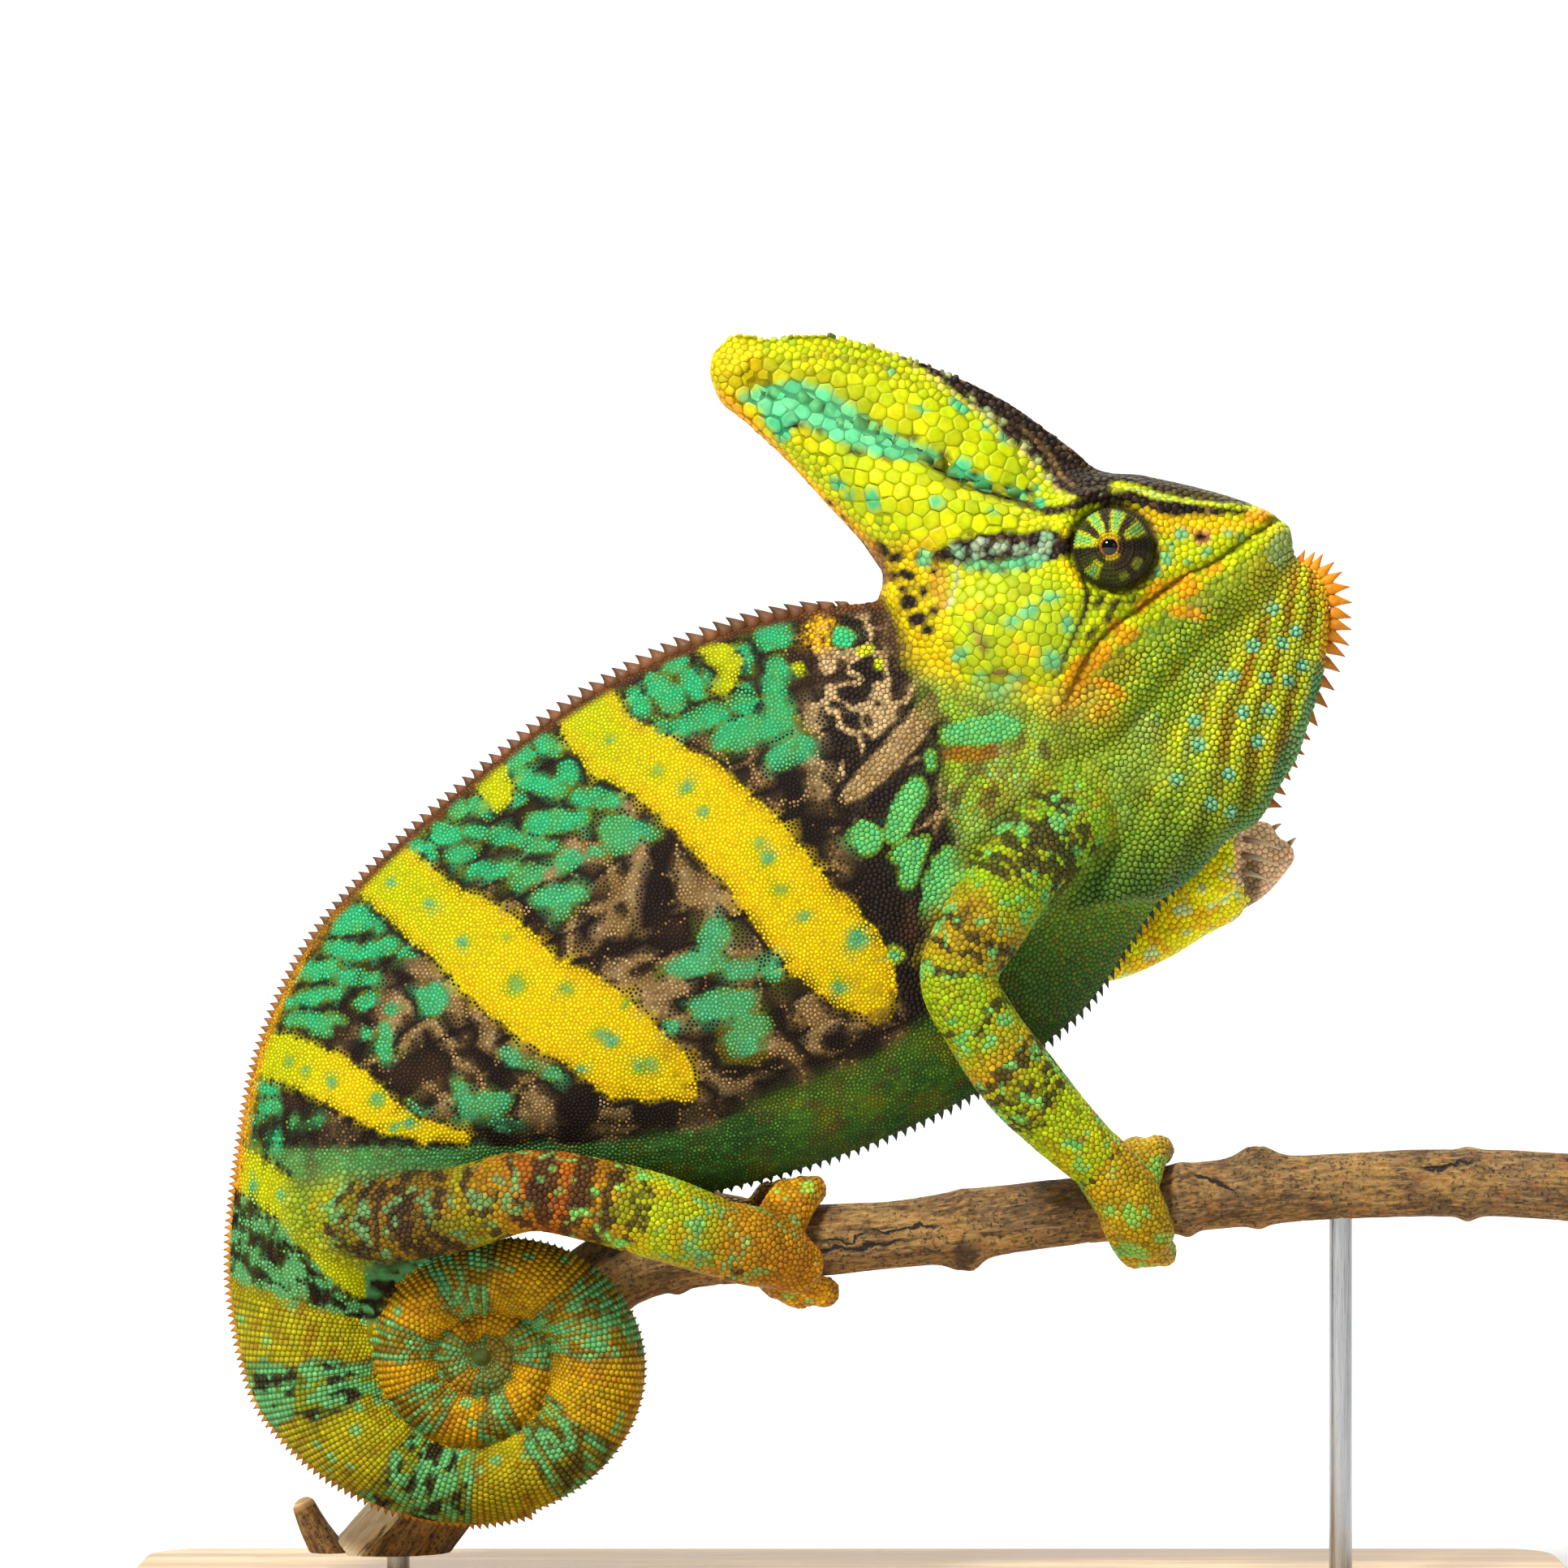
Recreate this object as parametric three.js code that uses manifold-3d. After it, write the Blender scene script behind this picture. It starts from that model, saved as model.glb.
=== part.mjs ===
// A life-size museum model of an adult male veiled chameleon that grips a cut branch,
// held by a plain display stand: a flat base and two short rods.
//
// Millimetres. The origin is the middle of the base's underside, +Z is up, +X runs towards the
// snout and +Y towards the animal's left side. The animal's plane of symmetry is y = 0.
//
// Trunk, tail, head, casque and throat are "ladders": rungs that run from an upper edge to a lower
// edge in the plane of symmetry, each with a half width. Legs, toes, claws and the branch are
// tubes along a smooth path. The pieces are joined, and parted again by cuts as thin as GAP.
import * as THREE from "three";
import { mergeVertices } from "three/addons/utils/BufferGeometryUtils.js";
import Module from "manifold-3d";

const wasm = await Module();
wasm.setup();

const GAP = 0.3; // room between neighbouring pieces
const RIGHT = -1; // the animal's right side is at negative y
const LEFT = 1;

// ---------------------------------------------------------------- stand
const BASE = { length: 254, depth: 110, height: 12, corner: 10, bevel: 1.5 };
const ROD_RADIUS = 2;
const ROD_DEPTH = 4; // how far a rod enters the branch
const REAR_ROD = { x: -79.5, y: 16 };
const FRONT_ROD = { x: 84, y: 0 };

// ---------------------------------------------------------------- branch
// Each row is x, y, z and radius, from the cut lower end to the cut front end.
const BRANCH = [
  [-84, 17, 13, 8.6],
  [-77, 16.5, 21, 8.4],
  [-67, 16, 34, 8.2],
  [-57, 15.5, 46, 8],
  [-50.5, 14.5, 55.5, 7.8],
  [-44.5, 12.5, 63.2, 7.3],
  [-37, 9.5, 67.6, 6.9],
  [-25, 4.5, 69.9, 6.5],
  [-12, 1.5, 71.1, 6.3],
  [8, 0, 72.7, 5.8],
  [22, 0, 74.6, 5.9],
  [41, 0, 77, 5.8],
  [62, 0, 79.4, 5.8],
  [85, 0, 81, 5.8],
  [106, 0, 81.5, 5.7],
  [126.5, 0, 80.6, 5.9],
];
const BRANCH_FOOT = 16; // level of the lower cut, just over the base
const KNOTS = [
  { x: 19, angle: -100, radius: 2.4 },
  { x: 69.5, angle: 92, radius: 2.6 },
];
const TWIG = [
  [-82, 16, 15, 3.4],
  [-91, 15, 17.4, 2.6],
  [-96, 14.5, 21, 2],
];

// ---------------------------------------------------------------- body
// Trunk rungs: upper edge x and z, lower edge x and z, half width.
const TRUNK = [
  [16, 187, 67, 144, 10.5],
  [5, 182.5, 52, 128.5, 12.5],
  [-8, 180.5, 40, 111.5, 14],
  [-22, 177, 24, 98.5, 15.2],
  [-38, 170.2, 8, 90, 15.8],
  [-54, 160.5, -8, 84, 15.8],
  [-70, 147.8, -25, 79.5, 15.2],
  [-84, 135, -41, 76.5, 14],
  [-95, 121.5, -55, 75.5, 12.2],
  [-102.5, 105, -67, 74, 10.4],
  [-106, 88, -76.5, 69.5, 9],
  [-107.9, 70, -81.6, 61, 8.1],
  [-107, 57.5, -82.6, 55.5, 7.8],
];
// The tail winds up in one flat spiral. "quarters" is how far its outer edge is from the spiral's
// middle at each quarter turn, starting at the left; a turn's inner edge is the next one's outer
// edge. "opening" gives that distance more closely, by turns, where the trunk runs into it.
const COIL = {
  centre: [-63.7, 52],
  side: -3,
  opening: [[0.03, 40.6], [0.07, 37.4], [0.115, 34.1], [0.175, 31.1], [0.24, 29.5], [0.295, 29.1]],
  quarters: [41, 28.9, 27.6, 19.8, 18.6, 15.4, 12.3, 7.9, 8.6, 7.4, 5.8, 3.8, 3, 2.4, 1.8, 1.1, 0.7],
  end: 3.05, // turns
  steps: 17, // rungs in each turn
  flatness: 0.47, // half width over the distance from edge to edge
};
const HEAD = [
  [75, 195, 76, 190.5, 2.6],
  [71, 197.8, 73.5, 184.5, 6],
  [64, 200.4, 66, 177.5, 8.6],
  [54, 202.9, 57, 170, 11],
  [44.5, 204.4, 48, 161.5, 13],
  [33, 203, 38, 156, 14.4],
  [20, 197, 29, 157, 14],
  [9, 190, 21, 161, 12],
  [4, 184.5, 14, 166, 9],
];
const CASQUE = [
  [-24.2, 225, -24.8, 220.5, 2.6],
  [-20.8, 228, -22.8, 215.8, 4.4],
  [-14, 227.6, -18.2, 212, 5],
  [-6, 228.2, -11.8, 206, 5.4],
  [4, 226, -4.6, 198.2, 6.6],
  [14, 221.8, 1.5, 191.5, 8.4],
  [24, 216.2, 5.5, 185.5, 10.6],
  [33, 210.6, 12, 180, 12.4],
  [42, 204.6, 22, 176, 12.8],
];
const THROAT = [
  [72, 188, 77.8, 189.3, 2.4],
  [66, 180, 82.6, 185.5, 4.6],
  [58, 171, 83.8, 176.5, 7],
  [52, 162, 82, 165.8, 9],
  [46, 153, 77.8, 155.5, 10.4],
  [42, 145, 72.2, 145.8, 11],
  [38, 137, 65, 140.6, 11],
  [33, 129, 55, 131, 10.6],
];
// How full a section is: 0.5 is near an ellipse, more makes the edges keener.
// "low" moves the widest place down the rung, 1 leaves it in the middle.
const TRUNK_FORM = { keen: 0.6, low: 1.1 };
const TAIL_FORM = { keen: 0.5, low: 1 };
const HEAD_FORM = { keen: 0.5, low: 1 };
const CASQUE_FORM = { keen: 0.62, low: 1.75 };
const THROAT_FORM = { keen: 0.55, low: 0.9 };

// Thin cuts in the plane of symmetry, and a point inside each piece that they leave.
const CUTS = [
  [[45, 208], [35, 199.5], [20, 190.5], [2, 183.4]], // casque from head
  [[-1, 185.5], [12, 175], [20, 168], [31, 160.5], [38, 156]], // head from neck
  [[80, 200.5], [62, 188.5], [48, 179.5], [40, 172], [36, 163], [33, 159]], // mouth
  [[92, 194], [70, 180.5], [56, 168], [45, 158], [36.5, 157]], // lower jaw from throat
  [[37.2, 157.2], [48, 147], [68, 134]], // throat from neck
  [[-4, 185.5], [47, 116]], // neck from trunk
  [[-56, 166], [-6, 78]], // front of the trunk from its rear
  [[-114, 79], [-69, 63.5]], // trunk from tail
];
const SEEDS = {
  casque: [0, 215],
  head: [40, 185],
  lower_jaw: [55, 177],
  throat: [68, 165],
  neck: [22, 155],
  trunk_front: [-15, 130],
  trunk_rear: [-65, 110],
  tail_base: [-96, 50],
};

// ---------------------------------------------------------------- eyes
const EYE = { x: 44.3, z: 190.6, y: 10.6, radius: 6.9, around: 12 }; // the turret, a scaly cone-like lid
const PUPIL = { x: 43.3, z: 190.6, y: 16, radius: 1.9, around: 8 }; // the ball that shows in its small opening

// ---------------------------------------------------------------- legs
// Rows of x, distance from the plane of symmetry, z and radius, from the body outwards.
const ARM = [
  [38, 7, 146, 8],
  [29.8, 12.5, 137.5, 7.5],
  [22.2, 17, 127, 7.4],
  [17.6, 19, 117.8, 6.8],
  [21.5, 18.5, 109, 6.6],
  [28, 16.5, 100, 7],
  [35, 13.5, 92.3, 6.2],
  [42, 10.5, 85.5, 5.3],
  [46, 9, 81, 4.6],
];
const RAISED_ARM = [
  [38, 8, 146, 8.2],
  [34, 15, 137, 7.4],
  [32.5, 20, 128.5, 6.4],
  [36.5, 23, 121.5, 5.7],
  [45, 23.5, 120.6, 5.2],
  [53.5, 22.5, 124.3, 5.3],
  [59.5, 21, 129, 6.1],
  [64.3, 21.5, 131.4, 6.1],
];
const LEG = [
  [-92, 3, 78, 7],
  [-82, 8, 76, 7.6],
  [-69, 13.5, 77.5, 7.4],
  [-55.5, 17, 81.2, 7.1],
  [-44, 17, 79.6, 7.3],
  [-32.5, 14.8, 76.3, 7.4],
  [-22, 12, 72.3, 6.6],
  [-15.5, 10, 69.5, 5.2],
];
// Feet that grip the branch: toes run round it from the palm, by angle from the palm's side.
const GRIPS = {
  hand_right: { side: RIGHT, palm: 47, topEnd: 51.3, lowEnd: 51.6, topTurn: 108, lowTurn: 92, topToes: 2 },
  foot_right: { side: RIGHT, palm: -13.5, topEnd: -8.8, lowEnd: -6.2, topTurn: 78, lowTurn: 84, topToes: 3 },
  foot_left: { side: LEFT, palm: -15.5, topEnd: -12, lowEnd: -10.5, topTurn: 66, lowTurn: 62, topToes: 3 },
};
const TOES = { halfAcross: 4.7, halfThick: 2.7, claw: 3.2, clawRadius: 0.8 };
// The raised hand is open: two bundles of toes, as rows of x, y, z, half across and half thick.
const OPEN_FAR = [
  [62.5, 21.5, 131.2, 5.4, 4.8],
  [69.6, 25.5, 135.6, 5.7, 3.7],
  [74.6, 26.3, 140.1, 4.7, 2.7],
];
const OPEN_NEAR = [
  [61, 19, 132, 5.3, 4.6],
  [63.5, 15, 135.6, 5.4, 3.9],
  [66.2, 13.2, 137, 5.2, 2.8],
];

// ---------------------------------------------------------------- crests
const DORSAL = { from: 0.75, to: 14.6, count: 50, tall: 2.9, small: 1 };
const GULAR = { from: 0.15, to: 5.6, count: 18, tall: 3.4, small: 2.2 };
const VENTRAL = { from: 2.55, to: 5.1, count: 11, tall: 1.5, small: 1.1 };

// ================================================================ shape tools
const vec = (x, y, z) => new THREE.Vector3(x, y, z);

// One row between rows[i] and rows[i + 1], on a smooth curve through all of them.
function rowAt(rows, place) {
  const i = Math.min(Math.max(Math.floor(place), 0), rows.length - 2);
  const t = place - i;
  const row = (k) => rows[Math.min(Math.max(k, 0), rows.length - 1)];
  return rows[i].map((_, n) => {
    const [a, b, c, d] = [row(i - 1)[n], row(i)[n], row(i + 1)[n], row(i + 2)[n]];
    return b + 0.5 * t * (c - a + t * (2 * a - 5 * b + 4 * c - d + t * (3 * (b - c) + d - a)));
  });
}

function rowsBetween(rows, from, to, steps) {
  return Array.from({ length: steps + 1 }, (_, k) => rowAt(rows, from + ((to - from) * k) / steps));
}

// A closed surface through rings of equal length, with a fan over each end.
function loft(rings) {
  const around = rings[0].length;
  const points = rings.flat();
  const faces = [];
  const at = (ring, k) => ring * around + (k % around);
  for (let r = 0; r + 1 < rings.length; r += 1) {
    for (let k = 0; k < around; k += 1) {
      faces.push(at(r, k), at(r, k + 1), at(r + 1, k));
      faces.push(at(r, k + 1), at(r + 1, k + 1), at(r + 1, k));
    }
  }
  const middle = (ring) => ring.reduce((sum, p) => sum.add(p), vec(0, 0, 0)).divideScalar(around);
  points.push(middle(rings[0]), middle(rings.at(-1)));
  for (let k = 0; k < around; k += 1) {
    faces.push(points.length - 2, at(0, k + 1), at(0, k));
    faces.push(points.length - 1, at(rings.length - 1, k), at(rings.length - 1, k + 1));
  }
  return solid(points, faces);
}

// A manifold solid from points and faces, turned the right way out.
function solid(points, faces) {
  const volume = (a, b, c) => points[a].dot(vec(0, 0, 0).crossVectors(points[b], points[c]));
  let sum = 0;
  for (let f = 0; f < faces.length; f += 3) sum += volume(faces[f], faces[f + 1], faces[f + 2]);
  const triVerts = new Uint32Array(sum < 0 ? faces.toReversed() : faces);
  const vertProperties = new Float32Array(points.flatMap((p) => p.toArray()));
  return new wasm.Manifold(new wasm.Mesh({ numProp: 3, vertProperties, triVerts }));
}

// A manifold solid from a closed three.js geometry.
function solidOf(geometry) {
  const bare = geometry.clone();
  bare.deleteAttribute("normal");
  bare.deleteAttribute("uv");
  const merged = mergeVertices(bare, 1e-4);
  return new wasm.Manifold(
    new wasm.Mesh({
      numProp: 3,
      vertProperties: merged.attributes.position.array,
      triVerts: new Uint32Array(merged.index.array),
    }),
  );
}

const joined = (solids) => solids.reduce((sum, s) => sum.add(s));
const without = (body, cutters) => cutters.reduce((left, c) => left.subtract(c), body);
const largest = (body) => body.decompose().reduce((a, b) => (b.volume() > a.volume() ? b : a));

// One ring of a ladder. u runs from 0 at the upper edge to 1 at the lower edge.
function ladderRing([x0, z0, x1, z1, half, side = 0], form, around, grow) {
  const length = Math.hypot(x1 - x0, z1 - z0);
  const [dx, dz] = [(x1 - x0) / length, (z1 - z0) / length];
  return Array.from({ length: around }, (_, k) => {
    const turn = (2 * Math.PI * k) / around;
    const u = (1 - Math.cos(turn)) / 2;
    const fullness = Math.sin(Math.PI * u ** form.low) ** form.keen;
    const y = side + Math.sign(Math.sin(turn)) * (half + grow) * (fullness || 0);
    const along = u * (length + 2 * grow) - grow;
    return vec(x0 + dx * along, y, z0 + dz * along);
  });
}

function ladder(rows, form, { from = 0, to = rows.length - 1, steps, around = 16, grow = 0 }) {
  return loft(rowsBetween(rows, from, to, steps).map((row) => ladderRing(row, form, around, grow)));
}

// A tube along rows of x, y, z and radius, or half across and half thick. "across" is the
// direction of the first of these, and the ends are rounded.
function tube(rows, { steps = 8, around = 10, across = vec(0, 1, 0), grow = 0, round = true }) {
  const path = rowsBetween(rows, 0, rows.length - 1, steps);
  const places = path.map((row) => vec(row[0], row[1], row[2]));
  const rings = [];
  const ring = (centre, ahead, row, share) => {
    const wide = across.clone().addScaledVector(ahead, -across.dot(ahead)).normalize();
    const thick = vec(0, 0, 0).crossVectors(ahead, wide);
    rings.push(
      Array.from({ length: around }, (_, k) => {
        const turn = (2 * Math.PI * k) / around;
        return centre
          .clone()
          .addScaledVector(wide, (row[3] + grow) * share * Math.cos(turn))
          .addScaledVector(thick, ((row[4] ?? row[3]) + grow) * share * Math.sin(turn));
      }),
    );
  };
  const ahead = (i) =>
    vec(0, 0, 0)
      .subVectors(places[Math.min(i + 1, places.length - 1)], places[Math.max(i - 1, 0)])
      .normalize();
  const cap = (i, sign, order) => {
    for (const share of order) {
      const out = Math.sqrt(1 - share * share) * ((path[i][4] ?? path[i][3]) + grow) * 0.8;
      ring(places[i].clone().addScaledVector(ahead(i), sign * out), ahead(i), path[i], share);
    }
  };
  if (round) cap(0, -1, [0.3, 0.75]);
  path.forEach((row, i) => ring(places[i], ahead(i), row, 1));
  if (round) cap(path.length - 1, 1, [0.75, 0.3]);
  return loft(rings);
}

// A pointed cone from a root to a tip, as one scale of a crest or a claw.
function spike(root, tip, radius, around = 4) {
  const ahead = vec(0, 0, 0).subVectors(tip, root).normalize();
  const wide = vec(0, 1, 0).addScaledVector(ahead, -ahead.y).normalize();
  const other = vec(0, 0, 0).crossVectors(ahead, wide);
  const points = Array.from({ length: around }, (_, k) => {
    const turn = (2 * Math.PI * k) / around;
    return root
      .clone()
      .addScaledVector(wide, radius * 0.8 * Math.cos(turn))
      .addScaledVector(other, radius * Math.sin(turn));
  });
  points.push(tip, root);
  const faces = [];
  for (let k = 0; k < around; k += 1) {
    const next = (k + 1) % around;
    faces.push(k, next, around, next, k, around + 1);
  }
  return solid(points, faces);
}

// A box round a place, turned about the X and Y axes by degrees.
function box(size, place, turnX = 0, turnY = 0) {
  const block = new THREE.BoxGeometry(...size);
  block.rotateX(THREE.MathUtils.degToRad(turnX));
  block.rotateY(THREE.MathUtils.degToRad(turnY));
  block.translate(...place);
  return solidOf(block);
}

// A wall as thin as GAP that stands on a line in the plane of symmetry.
function wall(line) {
  const slabs = line.slice(1).map(([x1, z1], i) => {
    const [x0, z0] = line[i];
    const slab = new THREE.BoxGeometry(Math.hypot(x1 - x0, z1 - z0) + GAP, 80, GAP);
    slab.rotateY(-Math.atan2(z1 - z0, x1 - x0));
    slab.translate((x0 + x1) / 2, 0, (z0 + z1) / 2);
    return solidOf(slab);
  });
  return joined(slabs);
}

// A round slab as thin as GAP across a tube, at a place along its rows.
function slice(rows, place, radius) {
  const here = rowAt(rows, place);
  const next = rowAt(rows, place + 0.01);
  const ahead = vec(next[0] - here[0], next[1] - here[1], next[2] - here[2]).normalize();
  const disc = new THREE.CylinderGeometry(radius, radius, GAP, 12);
  disc.applyQuaternion(new THREE.Quaternion().setFromUnitVectors(vec(0, 1, 0), ahead));
  disc.translate(here[0], here[1], here[2]);
  return solidOf(disc);
}

// ================================================================ stand and branch
function standBase() {
  const { length, depth, height, corner, bevel } = BASE;
  const [a, b] = [length / 2 - bevel, depth / 2 - bevel];
  const outline = new THREE.Shape();
  outline.moveTo(-a + corner, -b);
  outline.lineTo(a - corner, -b);
  outline.absarc(a - corner, -b + corner, corner, -Math.PI / 2, 0);
  outline.absarc(a - corner, b - corner, corner, 0, Math.PI / 2);
  outline.absarc(-a + corner, b - corner, corner, Math.PI / 2, Math.PI);
  outline.absarc(-a + corner, -b + corner, corner, Math.PI, 1.5 * Math.PI);
  const plate = new THREE.ExtrudeGeometry(outline, {
    depth: height - 2 * bevel,
    bevelEnabled: true,
    bevelSize: bevel,
    bevelThickness: bevel,
    bevelSegments: 1,
    curveSegments: 4,
  });
  plate.translate(0, 0, bevel);
  return solidOf(plate);
}

// The branch's middle and radius where it passes a given x.
function branchAt(x) {
  const rows = rowsBetween(BRANCH, 0, BRANCH.length - 1, 240);
  return rows.find((row) => row[0] >= x) ?? rows.at(-1);
}

function rod({ x, y }, grow = 0) {
  const [, , z, radius] = branchAt(x);
  const top = x < 0 ? BRANCH_FOOT + ROD_DEPTH : z - radius + ROD_DEPTH;
  const length = top - BASE.height - GAP + grow;
  const pin = new THREE.CylinderGeometry(ROD_RADIUS + grow, ROD_RADIUS + grow, length, 14);
  pin.rotateX(Math.PI / 2);
  pin.translate(x, y, BASE.height + GAP + length / 2);
  return solidOf(pin);
}

function branch(grow = 0) {
  const stem = tube(BRANCH, { steps: 21, around: 8, grow, round: false });
  const knots = KNOTS.map(({ x, angle, radius }) => {
    const [, y, z, thick] = branchAt(x);
    const turn = THREE.MathUtils.degToRad(angle);
    const out = thick + radius * 0.1;
    const ball = new THREE.SphereGeometry(radius + grow, 7, 5);
    ball.scale(1.7, 1, 1);
    ball.translate(x, y + out * Math.cos(turn), z + out * Math.sin(turn));
    return solidOf(ball);
  });
  const twig = tube(TWIG, { steps: 3, around: 6, grow });
  const below = box([60, 60, 20], [BRANCH[0][0], 15, BRANCH_FOOT - 10]);
  return largest(joined([stem, twig, ...knots]).subtract(below));
}

// ================================================================ trunk, head and tail
// The outer edge's distance from the coil's middle, after this many turns.
function coilReach(turns) {
  return rowAt(COIL.quarters.map((q) => [q]), Math.min(turns * 4, COIL.quarters.length - 1.001))[0];
}

// One rung of the coil. It starts at the left, level with the middle, and turns downwards first.
function coilRung(turns, outer = coilReach(turns)) {
  const angle = Math.PI + turns * 2 * Math.PI;
  const [cx, cz] = COIL.centre;
  const inner = turns + 1 < COIL.end ? coilReach(turns + 1) + GAP : outer * 0.25;
  const half = Math.min((outer - inner) * COIL.flatness, 8);
  const side = COIL.side * Math.min(turns * 3, 1);
  const at = (reach) => [cx + reach * Math.cos(angle), cz + reach * Math.sin(angle)];
  return [...at(outer), ...at(inner), Math.max(half, 0.5), side];
}

// A length of the tail, with flat ends that stop half a GAP short.
function coilPiece(from, to, around, grow = 0) {
  const [first, last] = [coilRung(from), coilRung(to)];
  const middle = ([x0, z0, x1, z1]) =>
    Math.hypot((x0 + x1) / 2 - COIL.centre[0], (z0 + z1) / 2 - COIL.centre[1]);
  const trim = (rung) => (GAP / 2 - grow) / (2 * Math.PI * middle(rung));
  const [a, b] = [from + trim(first), to - trim(last)];
  const steps = Math.round((b - a) * COIL.steps);
  const rungs = Array.from({ length: steps + 1 }, (_, k) => coilRung(a + ((b - a) * k) / steps));
  return loft(rungs.map((row) => ladderRing(row, TAIL_FORM, around, grow * 0.4)));
}

const TAIL_LENGTHS = {
  tail_outer: [0.3, 0.86, 12],
  tail_middle: [0.86, 1.7, 10],
  tail_inner: [1.7, 2.98, 6],
};

// The trunk's rungs run on into the first stretch of the coil.
const BODY = [
  ...TRUNK.map((row) => [...row, 0]),
  ...COIL.opening.map(([turns, reach]) => coilRung(turns, reach)),
];

function crest(rows, edge, { from, to, count, tall, small }, lean) {
  const ends = edge === "upper" ? [0, 1, 2, 3] : [2, 3, 0, 1];
  return Array.from({ length: count }, (_, k) => {
    const place = from + ((to - from) * k) / (count - 1);
    const row = rowAt(rows, place);
    const next = rowAt(rows, place + 0.02);
    const [x, z, farX, farZ] = ends.map((n) => row[n]);
    const out = vec(x - farX, 0, z - farZ).normalize();
    const along = vec(next[ends[0]] - x, 0, next[ends[1]] - z).normalize();
    const height = tall + (small - tall) * (k / (count - 1));
    const root = vec(x, row[5] ?? 0, z).addScaledVector(out, -1.4);
    const tip = root.clone().addScaledVector(out, height + 1.4).addScaledVector(along, height * lean);
    return spike(root, tip, 0.55 + height * 0.28);
  });
}

function eyeBall({ x, y, z, radius, around }, side, grow = 0) {
  const ball = new THREE.SphereGeometry(radius + grow, around, around - 4);
  ball.rotateX(Math.PI / 2);
  ball.translate(x, side * y, z);
  return solidOf(ball);
}

function core(grow = 0) {
  return joined([
    ladder(BODY, TRUNK_FORM, { steps: 24, around: 12, grow }),
    ladder(HEAD, HEAD_FORM, { steps: 9, around: 12, grow }),
    ladder(CASQUE, CASQUE_FORM, { steps: 8, around: 12, grow }),
    ladder(THROAT, THROAT_FORM, { steps: 7, around: 10, grow }),
  ]);
}

// The piece of a parted body that holds a point of the plane of symmetry.
function pieceAt(pieces, [x, z]) {
  const probe = box([1, 1, 1], [x, 0, z]);
  return pieces.find((piece) => piece.intersect(probe).volume() > 0.5);
}

// ================================================================ legs and feet
const sided = (rows, side) => rows.map(([x, y, ...rest]) => [x, side * y, ...rest]);

// Rows of a bundle of toes that runs round the branch. turn is 1 over the top, -1 underneath.
function toeRows({ side, palm }, end, sweep, turn) {
  return Array.from({ length: 5 }, (_, k) => {
    const t = k / 4;
    const x = palm + (end - palm) * t;
    const [, y, z, radius] = branchAt(x);
    const swing = THREE.MathUtils.degToRad(turn * (14 + (sweep - 14) * t));
    const reach = radius + GAP + TOES.halfThick;
    const taper = 1 - 0.12 * t;
    return [
      x,
      y + side * reach * Math.cos(swing),
      z + reach * Math.sin(swing),
      TOES.halfAcross * taper,
      TOES.halfThick * taper,
    ];
  });
}

// Claws stand on the end of a bundle, side by side along "across".
function claws(rows, across, count, bend = vec(0, 0, 0)) {
  const [end, before] = [rows.at(-1), rows.at(-2)];
  const place = vec(end[0], end[1], end[2]);
  const ahead = vec(end[0] - before[0], end[1] - before[1], end[2] - before[2]).normalize();
  return Array.from({ length: count }, (_, k) => {
    const shift = count > 1 ? (k / (count - 1) - 0.5) * 1.3 * end[3] : 0;
    const root = place.clone().addScaledVector(across, shift).addScaledVector(ahead, 0.8);
    const tip = root.clone().addScaledVector(ahead, TOES.claw + 1).add(bend);
    return spike(root, tip, TOES.clawRadius);
  });
}

function grippingFoot(grip) {
  const across = vec(1, 0, 0.08).normalize();
  const top = toeRows(grip, grip.topEnd, grip.topTurn, 1);
  const low = toeRows(grip, grip.lowEnd, grip.lowTurn, -1);
  const bundle = (rows, count) => [tube(rows, { steps: 4, around: 7, across }), ...claws(rows, across, count)];
  return joined([...bundle(top, grip.topToes), ...bundle(low, 5 - grip.topToes)]);
}

function openHand() {
  const bundles = [
    [OPEN_FAR, vec(0.6, 0, -0.8), 2, vec(-1, -3, -1)],
    [OPEN_NEAR, vec(0.15, 0, 1), 3, vec(3.4, 1.5, -4.2)],
  ];
  const solids = bundles.map(([rows, wide, count, bend]) => {
    const bundle = tube(rows, { steps: 4, around: 9, across: wide });
    return joined([bundle, ...claws(rows, wide.clone().normalize(), count, bend)]);
  });
  return joined(solids);
}

// A limb and its foot as four pieces: upper and lower limb, and two bundles of toes. elbow and
// wrist are the places of the cuts along its rows, and reach is how far the wrist's cut reaches.
function limb({ names, rows, elbow, wrist, reach, foot, footCut, cutters }) {
  const whole = joined([tube(rows, { steps: 9, around: 9 }), foot]);
  const cuts = [slice(rows, elbow, 11), slice(rows, wrist, reach), footCut];
  const pieces = without(whole, [...cutters, ...cuts]).decompose();
  const distance = (piece, place) => {
    const { min, max } = piece.boundingBox();
    const row = rowAt(rows, place);
    return Math.hypot(...min.map((low, n) => row[n] - (low + max[n]) / 2));
  };
  const take = (score) => {
    pieces.sort((a, b) => score(a) - score(b));
    return pieces.shift();
  };
  const upper = take((piece) => distance(piece, elbow * 0.6));
  const lower = take((piece) => distance(piece, (elbow + wrist) / 2));
  const toes = [0, 1].map(() => take((piece) => -piece.volume()));
  toes.sort((a, b) => b.boundingBox().max[2] - a.boundingBox().max[2]);
  return { [names[0]]: upper, [names[1]]: lower, [names[2]]: toes[0], [names[3]]: toes[1] };
}

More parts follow.
